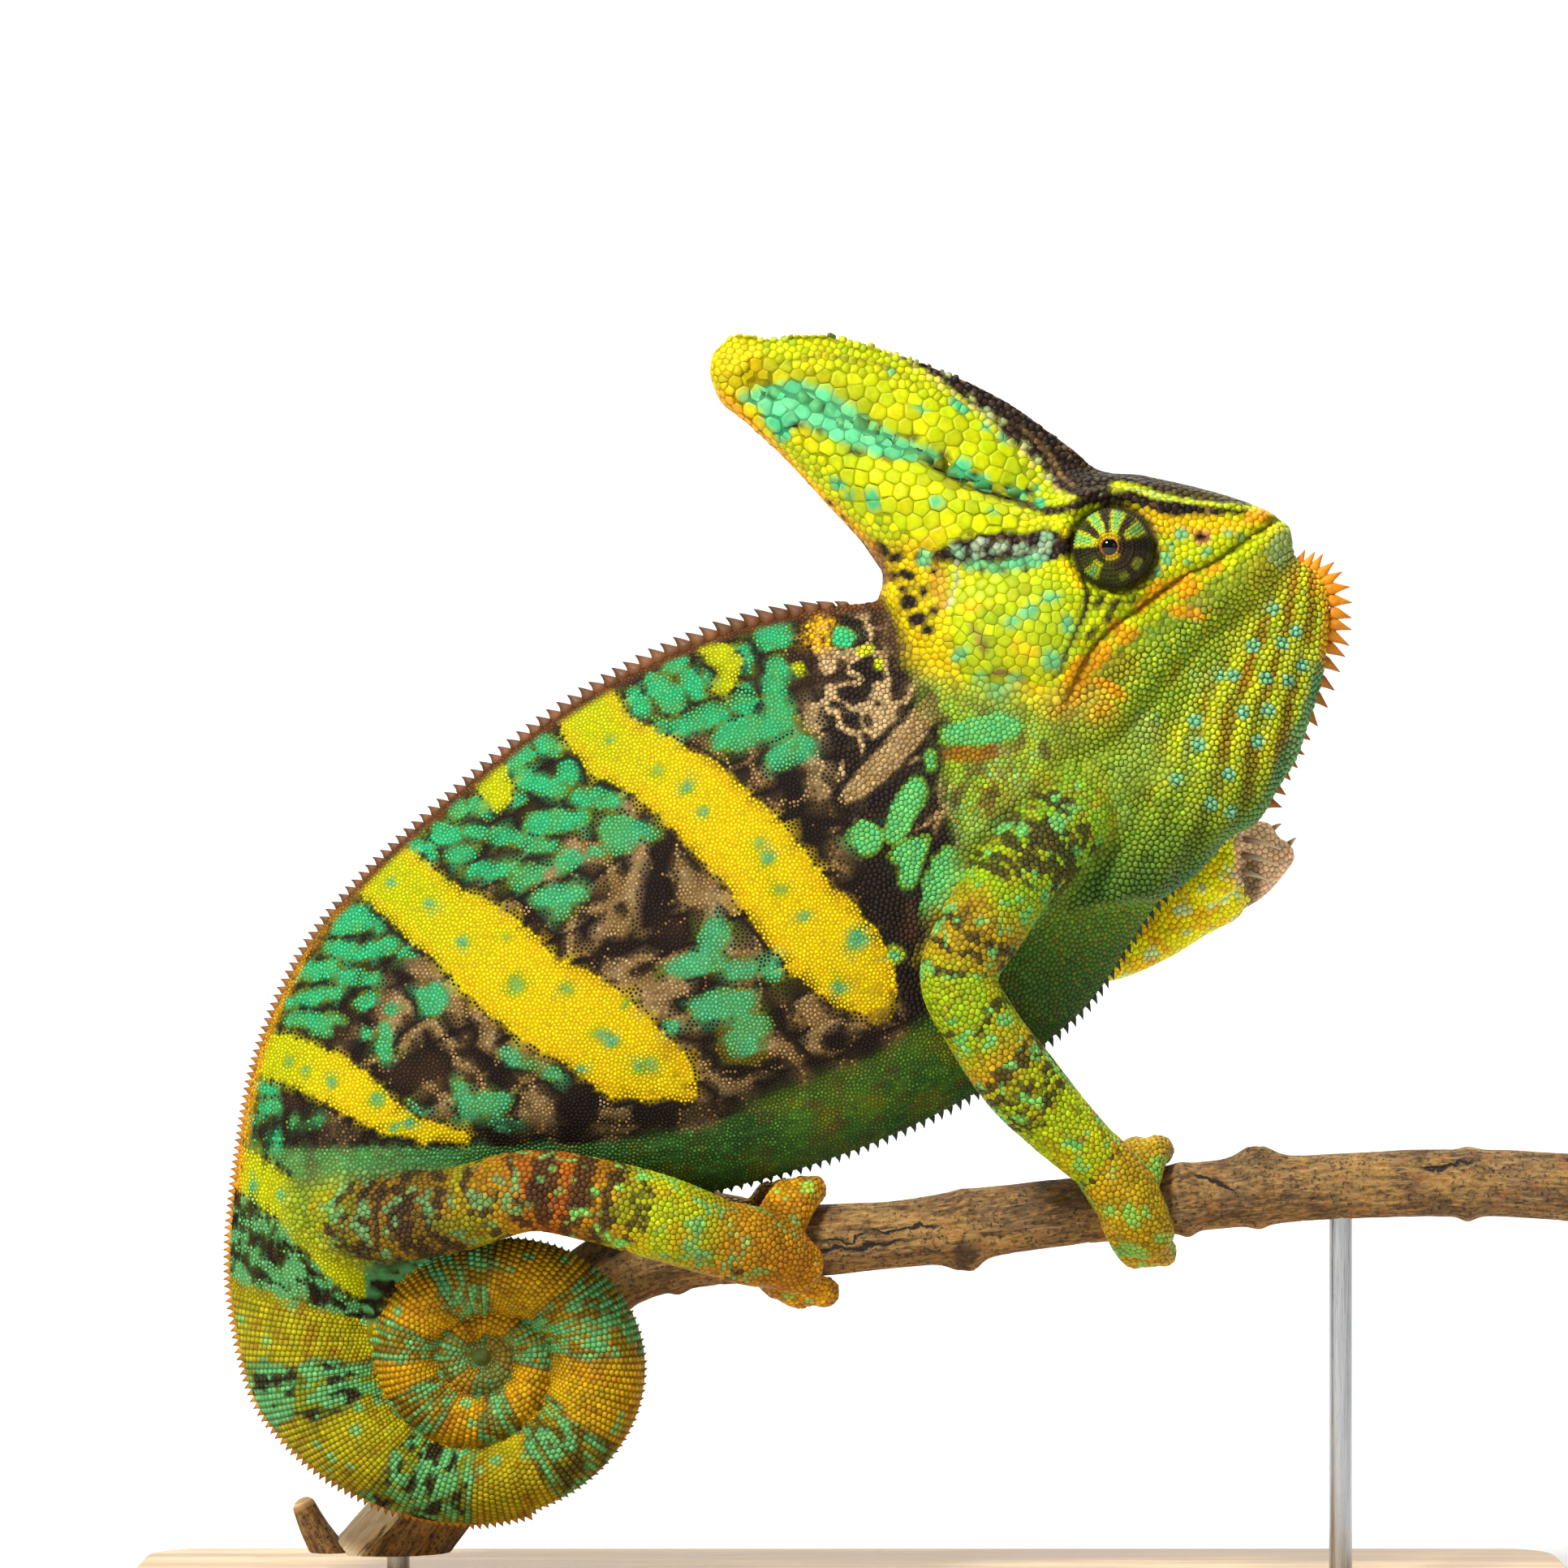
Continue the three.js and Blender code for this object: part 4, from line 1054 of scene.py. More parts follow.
def cells_of(roots, normals, spacing):
    """Corners of each cell in its touching plane, sorted by angle. Unused corners are nan."""
    first, second = frames_at(normals)
    near = neighbours_of(roots)
    pairs = np.array([(i, j) for i in range(NEAR + FENCE_SIDES) for j in range(i + 1, NEAR + FENCE_SIDES)])
    fence_turn = 2 * math.pi * np.arange(FENCE_SIDES) / FENCE_SIDES + 0.3
    fence = np.stack([np.cos(fence_turn), np.sin(fence_turn)], 1) * FENCE_REACH
    cells = np.full((len(roots), MOST_CORNERS, 2), np.nan)
    for start in range(0, len(roots), BATCH):
        part = slice(start, min(start + BATCH, len(roots)))
        offset = roots[near[part]] - roots[part, None]
        flat = np.stack([(offset * first[part, None]).sum(2), (offset * second[part, None]).sum(2)], 2)
        lift = np.abs((offset * normals[part, None]).sum(2))
        other_side = lift > 0.8 * np.linalg.norm(flat, axis=2) + 0.2
        flat[other_side] = FAR
        flat = np.concatenate([flat, fence[None] * spacing[part, None, None]], 1)
        half = (flat**2).sum(2) / 2
        a, b = flat[:, pairs[:, 0]], flat[:, pairs[:, 1]]
        ha, hb = half[:, pairs[:, 0]], half[:, pairs[:, 1]]
        cross = a[..., 0] * b[..., 1] - a[..., 1] * b[..., 0]
        cross = np.where(np.abs(cross) < 1e-6, np.nan, cross)
        corner = np.stack([(ha * b[..., 1] - hb * a[..., 1]) / cross,
                           (hb * a[..., 0] - ha * b[..., 0]) / cross], 2)
        reach = np.einsum("npk,nmk->npm", np.nan_to_num(corner, nan=1e6), flat) - half[:, None]
        valid = (reach < 1e-6).all(2)
        turn = np.where(valid, np.arctan2(corner[..., 1], corner[..., 0]), np.inf)
        order = np.argsort(turn, axis=1)[:, :MOST_CORNERS]
        chosen = np.take_along_axis(corner, order[..., None], 1)
        chosen[~np.take_along_axis(valid, order, 1)] = np.nan
        cells[part] = chosen
    return cells, first, second


# %% Relax the roots
loose = np.vstack(found_roots)
loose_kind = np.concatenate(found_kinds)
tail_places, _, _, tail_off = on_skin(tail_roots)
tail_places = tail_places[tail_off < 2.2]
roots = np.vstack([tail_places, loose])
root_kind = np.concatenate([np.full(len(tail_places), KINDS.index("flank")), loose_kind])
fixed = np.arange(len(roots)) < len(tail_places)


def thinned(roots, spacing, fixed):
    """Drops the later one of two roots that stand too close."""
    tree = tree_of(roots)
    kept = np.ones(len(roots), bool)
    for index, root in enumerate(roots):
        if kept[index]:
            for _, other, _ in tree.find_range(root, 0.6 * spacing[index]):
                kept[other] &= other == index or (fixed[index] and fixed[other])
    return kept


spacing = np.array([SPACINGS[name] for name in KINDS])[root_kind]
kept = thinned(roots, spacing, fixed)
roots, root_kind, fixed, spacing = roots[kept], root_kind[kept], fixed[kept], spacing[kept]
RELAX_ROUNDS = 2
for _ in range(RELAX_ROUNDS):
    roots, root_normals, root_tags, _ = on_skin(roots)
    cells, first, second = cells_of(roots, root_normals, spacing)
    drift = np.nanmean(cells, axis=1)
    drift[fixed] = 0
    roots = roots + first * drift[:, :1] + second * drift[:, 1:]
roots, root_normals, root_tags, _ = on_skin(roots)
cells, first, second = cells_of(roots, root_normals, spacing)
corner_counts = (~np.isnan(cells[..., 0])).sum(1)
print(f"{len(roots)} scales, with {np.bincount(corner_counts)} by number of corners")

# %% [markdown]
# ## Colours by name
#
# The markings are painted with a few pigments. They are given here as the values a paint chart
# would list, from 0 to 255, and turned into the linear values that a renderer works with.

# %% The pigments
def pigment(red, green, blue):
    value = np.array([red, green, blue]) / 255
    return np.where(value <= 0.04045, value / 12.92, ((value + 0.055) / 1.055) ** 2.4)


YELLOW = pigment(255, 218, 6)
DEEP_YELLOW = pigment(250, 184, 6)
LIME = pigment(206, 212, 4)
CASQUE_LIME = pigment(190, 200, 3)
LEAF = pigment(118, 160, 30)
GRASS = pigment(140, 178, 44)
OLIVE = pigment(108, 96, 18)
HONEY = pigment(164, 136, 18)
MOSS = pigment(84, 112, 30)
EMERALD = pigment(54, 192, 122)
TEAL = pigment(92, 186, 124)
PALE_TEAL = pigment(132, 200, 146)
MINT = pigment(164, 208, 150)
SEA = pigment(26, 88, 66)
DEEP_SEA = pigment(12, 46, 34)
BLACK_BROWN = pigment(36, 26, 20)
BROWN = pigment(84, 58, 36)
TAN = pigment(146, 114, 64)
BEIGE = pigment(206, 174, 122)
ORANGE = pigment(232, 138, 4)
RUST = pigment(156, 82, 12)
ASH = pigment(188, 190, 164)
SOLE = pigment(240, 196, 156)
SPRING = pigment(176, 190, 16)
GOLD = pigment(204, 150, 12)


def mixed(base, other, amount):
    """base turned towards other by an amount from 0 to 1, which may differ from spot to spot. Either
    can be one pigment or a colour for every spot."""
    amount = np.asarray(amount, float)
    return base + np.clip(amount, 0, 1).reshape(-1, 1) * (other - base)


def step(value, low, high):
    """A smooth step from 0 at low to 1 at high."""
    t = np.clip((value - low) / (high - low), 0, 1)
    return t * t * (3 - 2 * t)


TABLE_SIZE = 4096


def scrambled(cubes):
    """A place in a table for each cube of space, without a pattern that shows."""
    return (cubes[:, 0] * 73856093 ^ cubes[:, 1] * 19349663 ^ cubes[:, 2] * 83492791) & (TABLE_SIZE - 1)


def noise(spots, size, seed):
    """Smooth noise from -1 to 1, with lumps of the given size in mm."""
    table = np.random.default_rng(seed).uniform(-1, 1, TABLE_SIZE)
    q = np.asarray(spots, float) / size
    if q.shape[1] == 2:
        q = np.column_stack([q, np.zeros(len(q))])
    cell = np.floor(q).astype(np.int64)
    f = q - cell
    f = f * f * (3 - 2 * f)
    total = np.zeros(len(q))
    for corner in np.ndindex(2, 2, 2):
        weight = np.prod(np.where(np.array(corner) == 1, f, 1 - f), axis=1)
        total += weight * table[scrambled(cell + corner)]
    return total


def layered(spots, size, seed, layers=3):
    """Noise with finer and weaker noise on top of it."""
    return sum(noise(spots, size / 2**k, seed + k) / 2**k for k in range(layers)) / (2 - 0.5 ** (layers - 1))


def patchy(spots, size, seed, low, high):
    """1 where layered noise is beyond high, 0 where it isn't beyond low, and smooth in between."""
    return step(layered(spots, size, seed), low, high)


def speckle(spots, seed):
    """A random value from 0 to 1 that hardly depends on its neighbours."""
    return noise(spots, 0.31, seed) * 0.5 + 0.5


def dots(spots, size, seed):
    """Distance in mm to the nearest of many random points, one in each cube of the given size."""
    table = np.random.default_rng(seed).uniform(0.1, 0.9, (TABLE_SIZE, 3))
    q = spots / size
    home = np.floor(q).astype(np.int64)
    nearest = np.full(len(q), 9.0)
    for shift in np.ndindex(3, 3, 3):
        at = home + shift - 1
        nearest = np.minimum(nearest, ((at + table[scrambled(at)] - q) ** 2).sum(1))
    return np.sqrt(nearest) * size


def flat(color, spots):
    """One pigment for every spot."""
    return np.tile(color, (len(spots), 1))


# %% [markdown]
# ## The markings of the trunk
#
# Four slanting yellow bands and two short ones run down and forward from the ridge. Between them
# the upper flank carries emerald patches in dark brown, each patch with a thin green rim, and the
# lower flank is a dark net with strings of beige scales. Below a dark fringe the belly is deep
# green. Each band is a smooth line with a half width, and each patch is a slanted oval, listed one
# by one. Noise frays their edges.

# %% Bands, patches and spots
BANDS = [  # x, z, half width
    [(-50, 169, 5), (-47, 165, 5.5), (-42, 157.5, 6), (-33.3, 152.5, 6), (-24.2, 145.5, 7), (-15, 135.8, 7),
     (-8.8, 127.8, 7.4), (-2.5, 121, 7.6), (2.5, 115, 5.5), (4, 111.5, 2.5)],
    [(-86, 141, 5), (-83, 137, 5.8), (-73.5, 129.5, 6), (-64, 122.8, 7.4), (-55, 114.8, 7.6), (-45, 109, 7.8),
     (-37.3, 103.3, 7.2), (-32, 100.3, 5), (-29, 98.2, 2.5)],
    [(-106, 104.5, 4), (-102, 104, 4), (-96, 102.6, 4.1), (-90, 100.2, 4.2), (-85, 97, 4), (-80, 93.6, 3),
     (-74, 91, 1.8), (-66, 89.8, 0.8)],
    [(-110, 84.6, 3.5), (-106.5, 84.3, 3.5), (-101, 81.6, 3.4), (-96.5, 78, 3.5), (-92, 73.6, 3.6),
     (-88, 69, 3.6), (-84.5, 65, 3)],
    [(-70, 156, 1.6), (-66.5, 153.5, 2.4), (-62.5, 151.5, 3), (-60.5, 147.5, 2)],
    [(-27, 175.5, 1.2), (-24, 173, 2), (-21.5, 170.5, 2.4), (-22, 168, 2)],
]
BAND_SPOTS = [  # x, z, radius
    (-33.5, 152.5, 0.9), (-28.5, 149.5, 0.9), (-25.5, 145.5, 0.9), (-16.2, 140.5, 0.9), (-14.9, 137.6, 1.1),
    (-12.5, 132.5, 0.8), (-8.5, 128, 0.9), (0.5, 123.4, 1.8), (7, 121, 1), (-2.6, 115.7, 1.1),
    (-41.5, 158, 0.7),
    (-79.5, 133.7, 0.9), (-73, 130, 0.9), (-66.8, 123.3, 1), (-59.2, 124, 0.6), (-57.8, 116, 1.3),
    (-49, 115.5, 0.8),
    (-43.2, 107.6, 1.3), (-41.4, 106.7, 1.2), (-36.6, 102, 1), (-34.5, 102.5, 1), (-39, 113, 0.6),
    (-46.5, 101.5, 0.6),
    (-97, 102.7, 0.9), (-94, 101, 0.7), (-89.5, 99.6, 0.9), (-81.5, 96.3, 1.3), (-76, 92.3, 0.9),
    (-103, 81.5, 0.9),
    (-98, 80.2, 0.9), (-94, 76.3, 0.9), (-90, 72.4, 0.8), (-78.5, 91.6, 0.8),
]
PATCHES = [  # x, z, half length, half width, slant in degrees
    (-13.8, 175.8, 3.3, 2.4, 5), (-13.2, 167.8, 2, 4.2, 0), (-19.3, 171.6, 1.7, 2.7, 10),
    (-23, 169.4, 2.8, 2, 0),
    (-19, 164.8, 2.5, 2.2, 20), (-27.6, 167.3, 1.5, 2.8, 35), (-32, 165.8, 3.6, 2.3, -50),
    (-36.6, 164, 1.2, 3, 35),
    (-25.5, 161.8, 4, 1.8, 18), (-17.5, 159.5, 7.6, 2.3, 20), (-10.8, 155.6, 4, 2.2, 28),
    (-31.5, 160.2, 3, 1.3, -10),
    (-37.3, 161.3, 2.6, 1.2, -38), (-30.4, 170.8, 2, 1.3, 10), (-56.8, 156.2, 1.6, 2.2, 30),
    (-52.8, 157.3, 2.8, 1.3, -38),
    (-57.5, 152.6, 1.7, 3, 28), (-53.5, 150.3, 4.6, 1.4, -14), (-49.3, 152.2, 1.8, 1.8, 0),
    (-58, 147.6, 2.2, 1.3, 20),
    (-68.8, 146.8, 1.8, 2.3, 40), (-64, 146.3, 2.6, 1.2, -20), (-73.2, 145.6, 1.5, 1.2, 0),
    (-51, 144, 5.4, 1.8, 6),
    (-44.3, 147.8, 4.2, 1.6, -10), (-40, 141.6, 3, 3.2, 0), (-36, 142.5, 2.8, 1, -20),
    (-61.8, 141.6, 5, 1.4, -6),
    (-70.2, 141.8, 2.4, 1.6, -20), (-74.3, 139.3, 2.8, 1.2, -28), (-67, 138.2, 2.8, 1.1, 8),
    (-61.8, 135.7, 4.2, 1.3, 8),
    (-56, 134.4, 2.8, 1.7, 30), (-54, 140, 4, 1.1, -8), (-49, 137, 2.4, 1.9, 40), (-44, 139, 1.4, 1, 0),
    (-50.5, 131, 4.4, 1.7, 8), (-50, 128.6, 1.4, 1.6, 0), (-75.5, 142.8, 1.8, 1, -10),
    (-24, 124.3, 3.2, 2.4, 48),
    (-27, 119.6, 5.2, 1.6, 8), (-19.4, 119, 2.6, 1.7, 0), (-22.5, 112.8, 5.4, 2.4, 6),
    (-17.2, 109.3, 3, 1.7, 0),
    (-19.3, 106.2, 2.2, 2.2, 0), (-13.2, 119, 1.5, 2.6, -40), (-31.3, 109, 1.2, 1.3, 0),
    (-86, 127, 3.8, 2, 18),
    (-81, 126.3, 1, 1, 0), (-87, 121.7, 3.8, 1.4, -8), (-81.5, 122.2, 3.6, 1.3, 10),
    (-76, 121.5, 1.6, 0.9, 0),
    (-92.5, 118.2, 4, 1.4, 6), (-85, 117, 3.2, 1.2, 0), (-97, 117.2, 1.4, 1, 0), (-92.3, 114, 4.2, 1.2, 8),
    (-83.8, 113.2, 2.2, 1.1, 30), (-97.6, 112.6, 1.4, 0.9, -20), (-93, 110, 4.8, 1.1, 0),
    (-72, 113.4, 2.4, 2.6, 30),
    (-80.2, 106, 1.3, 3.2, 0), (-58.5, 104, 1.9, 1.3, -20), (-54.8, 102.6, 1.5, 1, -30),
    (-51.6, 101, 1.3, 1, 0),
    (-66.2, 96, 1.3, 3.8, 20), (-61.8, 95.8, 3, 2.2, 0), (-67.4, 92, 1.6, 1, -30), (-79, 112, 1, 1, 0),
    (-83.3, 107.7, 1, 1, 0),
    (-59.5, 92.2, 3.2, 1.1, -12), (-101.3, 98.2, 2.4, 0.9, -5), (-100.6, 94.8, 2, 1.2, 0),
    (-103.4, 92.4, 1.7, 0.8, 0),
    (-99.6, 90, 1.5, 0.8, 10), (-103.3, 89.1, 1.2, 0.7, 0), (-96, 92, 1.2, 0.8, 0),
    (-92.6, 92.1, 1.6, 0.9, 10),
    (-99.2, 87.4, 1.1, 0.8, 0), (-95.8, 86, 1.5, 1.1, 20), (-75, 94.6, 2, 1, -30), (-70, 91.5, 2.6, 0.8, -20),
    (-91.5, 108, 1.6, 0.8, 0), (-105, 96.5, 1, 0.9, 0), (-34.3, 168.3, 1.4, 1.2, 0),
    (-2, 175.6, 1.8, 1.5, -10),
]
SHOULDER_PATCHES = [
    (8.6, 145.8, 5.4, 2.2, 62), (1.8, 141.2, 2.8, 2.4, -30), (9.5, 139, 3.2, 1.6, 20),
    (9.6, 136.2, 1.8, 3.4, -15),
    (14.8, 133.5, 2.6, 5.4, -18), (22, 159.4, 6.6, 2.4, 8), (13.2, 154.4, 0.8, 1.4, 0), (6.5, 121.5, 1, 1, 0),
]


OVAL_POWER = 2.6  # 2 gives ellipses, and more makes them squarer


def circle_distance(x, z, circles):
    """The least distance in mm to the edges of circles. One without a radius is a point."""
    best = np.full(len(x), FAR)
    for circle_x, circle_z, *radius in circles:
        best = np.minimum(best, np.hypot(x - circle_x, z - circle_z) - sum(radius))
    return best


def oval_distance(spots, ovals):
    """The least distance in mm to the edges of slanted ovals, below 0 inside."""
    best = np.full(len(spots), FAR)
    for x, z, length, width, slant in ovals:
        offset = spots - (x, z)
        cos, sin = math.cos(math.radians(slant)), math.sin(math.radians(slant))
        along, over = offset[:, 0] * cos + offset[:, 1] * sin, offset[:, 1] * cos - offset[:, 0] * sin
        squarish = (np.abs(along / length) ** OVAL_POWER
                    + np.abs(over / width) ** OVAL_POWER) ** (1 / OVAL_POWER)
        best = np.minimum(best, (squarish - 1) * min(length, width))
    return best


def band_distance(spots, band):
    away, values, place = path_distance(spots, band)
    return away - values[:, 0], place


def edge_distances(spots, tags):
    """Distance down the trunk from its upper edge and up from its lower edge, in mm."""
    rows = row_at(BODY, np.clip(tags[:, 1], 0, BODY_LAST))
    upper, lower = rows[:, 0:2], rows[:, 2:4]
    along = unit(lower - upper)
    side_view = spots[:, [0, 2]]
    down = ((side_view - upper) * along).sum(1)
    return down, np.linalg.norm(lower - upper, axis=1) - down


BELLY_LINE = [(-84, 88), (-70, 88.5), (-58, 88.5), (-45, 89), (-33, 90.5), (-20, 93.5), (-8, 98), (3, 102),
              (10, 108), (15, 113), (24, 122), (32, 134), (38, 150)]
TAN_STRIPE = [(-2, 147.5, 1), (1, 150, 1.7), (5, 154, 2.2), (10, 159.5, 2.2), (15, 164, 2.6), (21, 169.5, 3)]


def belly_depth(side_view):
    """How far a spot lies below the line between flank and belly, in mm. It is negative above."""
    line = rows_between(BELLY_LINE, 0, len(BELLY_LINE) - 1, 80)
    return np.interp(side_view[:, 0], line[:, 0], line[:, 1]) - side_view[:, 1]


def trunk_colors(spots, tags):
    side_view = spots[:, [0, 2]].copy()
    left = spots[:, 1] > 0
    side_view[left] += np.column_stack([noise(spots, 23, 91), noise(spots, 23, 92)])[left] * 2.2
    fray = np.column_stack([layered(spots, 3.2, 11), layered(spots, 3.2, 21)]) * 0.75
    x, z = (side_view + fray).T
    frayed = np.column_stack([x, z])
    grain = speckle(spots, 5)
    down, up = edge_distances(spots, tags)

    # the dark ground and its net of pale scales
    net = np.abs(layered(frayed, 6.6, 31, 2)) + 0.03 * (grain - 0.5)
    color = mixed(BLACK_BROWN, BROWN, patchy(spots, 6, 41, 0, 0.7) * 0.5)
    rows = mixed(TAN, BEIGE, step(grain, 0.3, 0.7) * 0.6)
    color = mixed(color, rows, step(0.14 - net, -0.02, 0.02) * step(down, 14, 20))
    second_net = step(0.07 - np.abs(layered(frayed + 40, 4.2, 36, 2)), -0.02, 0.02) * step(grain, 0.35, 0.5)
    color = mixed(color, TAN, second_net * step(down, 12, 18))

    # a green tinge below the ridge, and the patches
    green_zone = step(down, 19, 13) * step(x, -5, -10)
    color = mixed(color, MOSS, green_zone * patchy(spots, 2.2, 51, 0.2, 0.6) * 0.5)

    patch = oval_distance(frayed, PATCHES) + 0.25 * layered(spots, 1.3, 53, 2)
    inner = mixed(EMERALD, TEAL, step(down, 12, 34) * 0.8 + 0.4 * (grain - 0.5))
    inner = mixed(inner, LEAF, patchy(spots, 3.4, 98, -0.1, 0.5) * 0.4)
    inner = inner * (0.84 + 0.32 * speckle(spots, 97))[:, None]
    color = mixed(color, mixed(LEAF, OLIVE, grain), step(patch, 0.42, 0.28) * 0.75)
    color = mixed(color, inner, step(patch, 0.14, 0.0))

    # the neck, with its chain of pale scales and a tan stripe
    front = step(x + 0.35 * (z - 150), -8, -4) * step(down, 1, 4)
    chain = np.abs(layered(frayed * (1, 0.8), 3.9, 61, 2)) + 0.04 * (grain - 0.5)
    neck = mixed(BLACK_BROWN, BROWN, patchy(spots, 5, 64, -0.2, 0.5) * 0.7)
    links = mixed(BEIGE, TAN, np.maximum(step(x, 2, 16) * 0.8, 0.5 * step(grain, 0.6, 0.4)))
    neck = mixed(neck, links, step(0.13 - chain, -0.02, 0.02) * step(z, 136, 144) * step(grain, 0.15, 0.25))
    mottled = mixed(BROWN, TAN, 0.7 * patchy(spots, 1.8, 66, -0.1, 0.4))
    neck = mixed(neck, mottled, step(z - 0.25 * x, 168, 172) * step(x, 2, 6) * 0.85)
    stripe, _ = band_distance(frayed, TAN_STRIPE)
    neck = mixed(neck, BLACK_BROWN, step(stripe, 1.8, 1))
    neck = mixed(neck, mixed(TAN, BEIGE, step(grain, 0.4, 0.7) * 0.8), step(stripe, 0.2, -0.3))
    color = mixed(color, neck, front * step(patch, 0.3, 0.8))
    nape = step(np.hypot((x + 5.5) / 3.4, (z - 176) / 3.8) + 0.2 * layered(spots, 2, 68), 1.1,
                0.8) * step(grain, 0.4, 0.5)
    color = mixed(color, DEEP_YELLOW, nape * step(patch, 0.2, 0.5))
    lime_dots = oval_distance(frayed, [(2, 173.2, 1.2, 0.9, 0), (4.3, 170.8, 0.8, 0.8, 0),
                                       (-9.5, 170, 1, 1.4, 0)])
    color = mixed(color, LIME, step(lime_dots, 0.2, -0.2))

    # the shoulder
    shoulder = step(x + 0.25 * (z - 150), 13, 19) * step(z, 124, 131)
    plain = mixed(GRASS, LIME, patchy(spots, 5, 71, -0.3, 0.6) * 0.5)
    plain = mixed(plain, PALE_TEAL, step(grain, 0.5, 0.7) * patchy(spots, 4, 79, -0.3, 0.3) * 0.6)
    plain = mixed(plain, HONEY, step(grain, 0.42, 0.25) * 0.6)
    plain = mixed(plain, BROWN, step(layered(frayed * (1, 0.6), 3.4, 75), 0.05, 0.3) * 0.75)
    turn, away = np.arctan2(z - 147.5, x - 27.4), np.hypot(z - 147.5, x - 27.4)
    rays = step(np.sin(16 * turn + 2 * layered(spots, 3, 77)), 0.1, 0.7) * step(away, 9, 5) * step(away, 0.3,
                                                                                                   1.5)
    plain = mixed(plain, mixed(BROWN, RUST, grain), np.maximum(rays * 0.7, step(away, 1.6, 0.8)))
    plain = mixed(plain, RUST, step(np.abs(z - 155.5 - 0.1 * (x - 20)), 1.6, 0.6) * step(x, 30, 22) * 0.8)
    color = mixed(color, plain, shoulder * step(patch, 0.2, 0.8))
    shoulder_patch = oval_distance(frayed, SHOULDER_PATCHES) + 0.3 * layered(spots, 1.3, 54, 2)
    color = mixed(color, BLACK_BROWN, step(shoulder_patch, 1.3, 0.7) * step(x, 17, 14))
    green = mixed(GRASS, EMERALD, 0.6 + 0.8 * (grain - 0.5))
    color = mixed(color, LEAF, step(shoulder_patch, 0.42, 0.25) * 0.8)
    color = mixed(color, green, step(shoulder_patch, 0.12, -0.05))

    # the fringe, the belly and the chest, with painted shade towards the belly's lower edge and low on the
    # chest
    depth = belly_depth(side_view) + fray[:, 0]
    color = mixed(color, BLACK_BROWN, step(depth, -7, -3) * step(depth, 1, -1) * step(x, 22, 12) * 0.85
                  * step(grain, 0.3, 0.4))
    fringe = step(np.abs(depth + 0.6), 1.5, 0.4) * step(x, -22, -14) * step(x, 14, 6)
    color = mixed(color, MOSS, fringe * 0.8)
    belly = mixed(pigment(66, 96, 36), DEEP_SEA, patchy(spots, 9, 81, -0.5, 0.6) * 0.6)
    belly = mixed(belly, OLIVE, patchy(spots, 4, 84, -0.1, 0.4) * 0.6 + step(x, -25, -60) * 0.2)
    belly = mixed(belly, mixed(TEAL, LEAF, step(x, -45, 0)),
                  step(x, -20, -60) * 0.25 + step(grain, 0.55, 0.7) * 0.3)
    belly = mixed(belly, BROWN, patchy(spots, 3, 86, 0.2, 0.5) * 0.6)
    # painted shade: darker towards the lower edge of the belly
    belly = mixed(belly, DEEP_SEA, step(up, 6, 0) * 0.5)
    # painted shade: the chest is darker low down, in this line and the second one below
    chest = mixed(pigment(64, 112, 40), GRASS, step(z, 116, 146) * 0.7 + 0.9 * (grain - 0.5))
    chest = mixed(chest, HONEY, step(grain, 0.42, 0.25) * 0.6)
    chest = mixed(chest, pigment(24, 62, 36), step(z, 132, 108) * 0.65)
    belly = mixed(belly * (1.4, 1.6, 1.2), chest, step(x, 20, 38) * step(z, 98, 116))
    color = mixed(color, belly, step(depth, -0.4, 0.8))

    # the yellow bands, and the green spots on them
    halo = oval_distance(frayed, [(-19, 106.3, 4, 3.6, 0)])
    color = mixed(color, OLIVE, step(halo, 0.6, 0) * step(patch, 0, 0.6))
    for number, band in enumerate(BANDS):
        away, place = band_distance(frayed, band)
        away = away + 0.5 * layered(spots, 1.8, 101 + number) + 0.5 * (grain - 0.5)
        lime_end = 1.0 if number > 2 else 0.0
        paint = mixed(LIME, YELLOW, step(place, 1.2, 4.2) - lime_end)
        paint = mixed(paint, DEEP_YELLOW, step(np.abs(away + 1.2), 1.2, 0) * 0.5 * (number < 2) + 0.25
                      * (grain - 0.4))
        paint = mixed(paint, MOSS, patchy(spots, 6, 108, 0.25, 0.6) * lime_end * 0.5)
        dusk = step(place, len(band) - 3.2, len(band) - 1.2) * patchy(spots, 1.8, 111, 0.02, 0.3)
        paint = mixed(paint, BROWN, dusk * (number < 2) * 0.8)
        color = mixed(color, BLACK_BROWN, step(away, 1.3, 0.6) * step(down, 2, 5) * patchy(spots, 3, 115,
                                                                                           -0.5, -0.2))
        color = mixed(color, paint, step(away, 0.15, -0.15))
    spot = circle_distance(x, z, BAND_SPOTS) + 0.3 * (grain - 0.5)
    color = mixed(color, LIME, step(spot, 1, 0.2) * 0.8)
    color = mixed(color, GRASS, step(spot, 0.5, 0) * 0.7)
    color = mixed(color, TEAL, step(spot, 0.1, -0.5))

    # the scales along the ridge
    ridge = mixed(BROWN, RUST, step(grain, 0.3, 0.8) * 0.6)
    ridge = mixed(ridge, DEEP_YELLOW, step(tags[:, 1], 6.5, 9.5) * step(grain, 0.1, 0.5))
    return mixed(color, ridge, step(down, 2.6, 0.9))


# %% [markdown]
# ## The markings of the head and throat
#
# The head is mostly lime yellow. A turquoise streak fills the valley along the casque, the crown
# above it is nearly black, and a row of ash and black scales runs back from the eye. The throat
# has yellow beads on the ridges of its pleats, olive grooves, and raised turquoise beads.

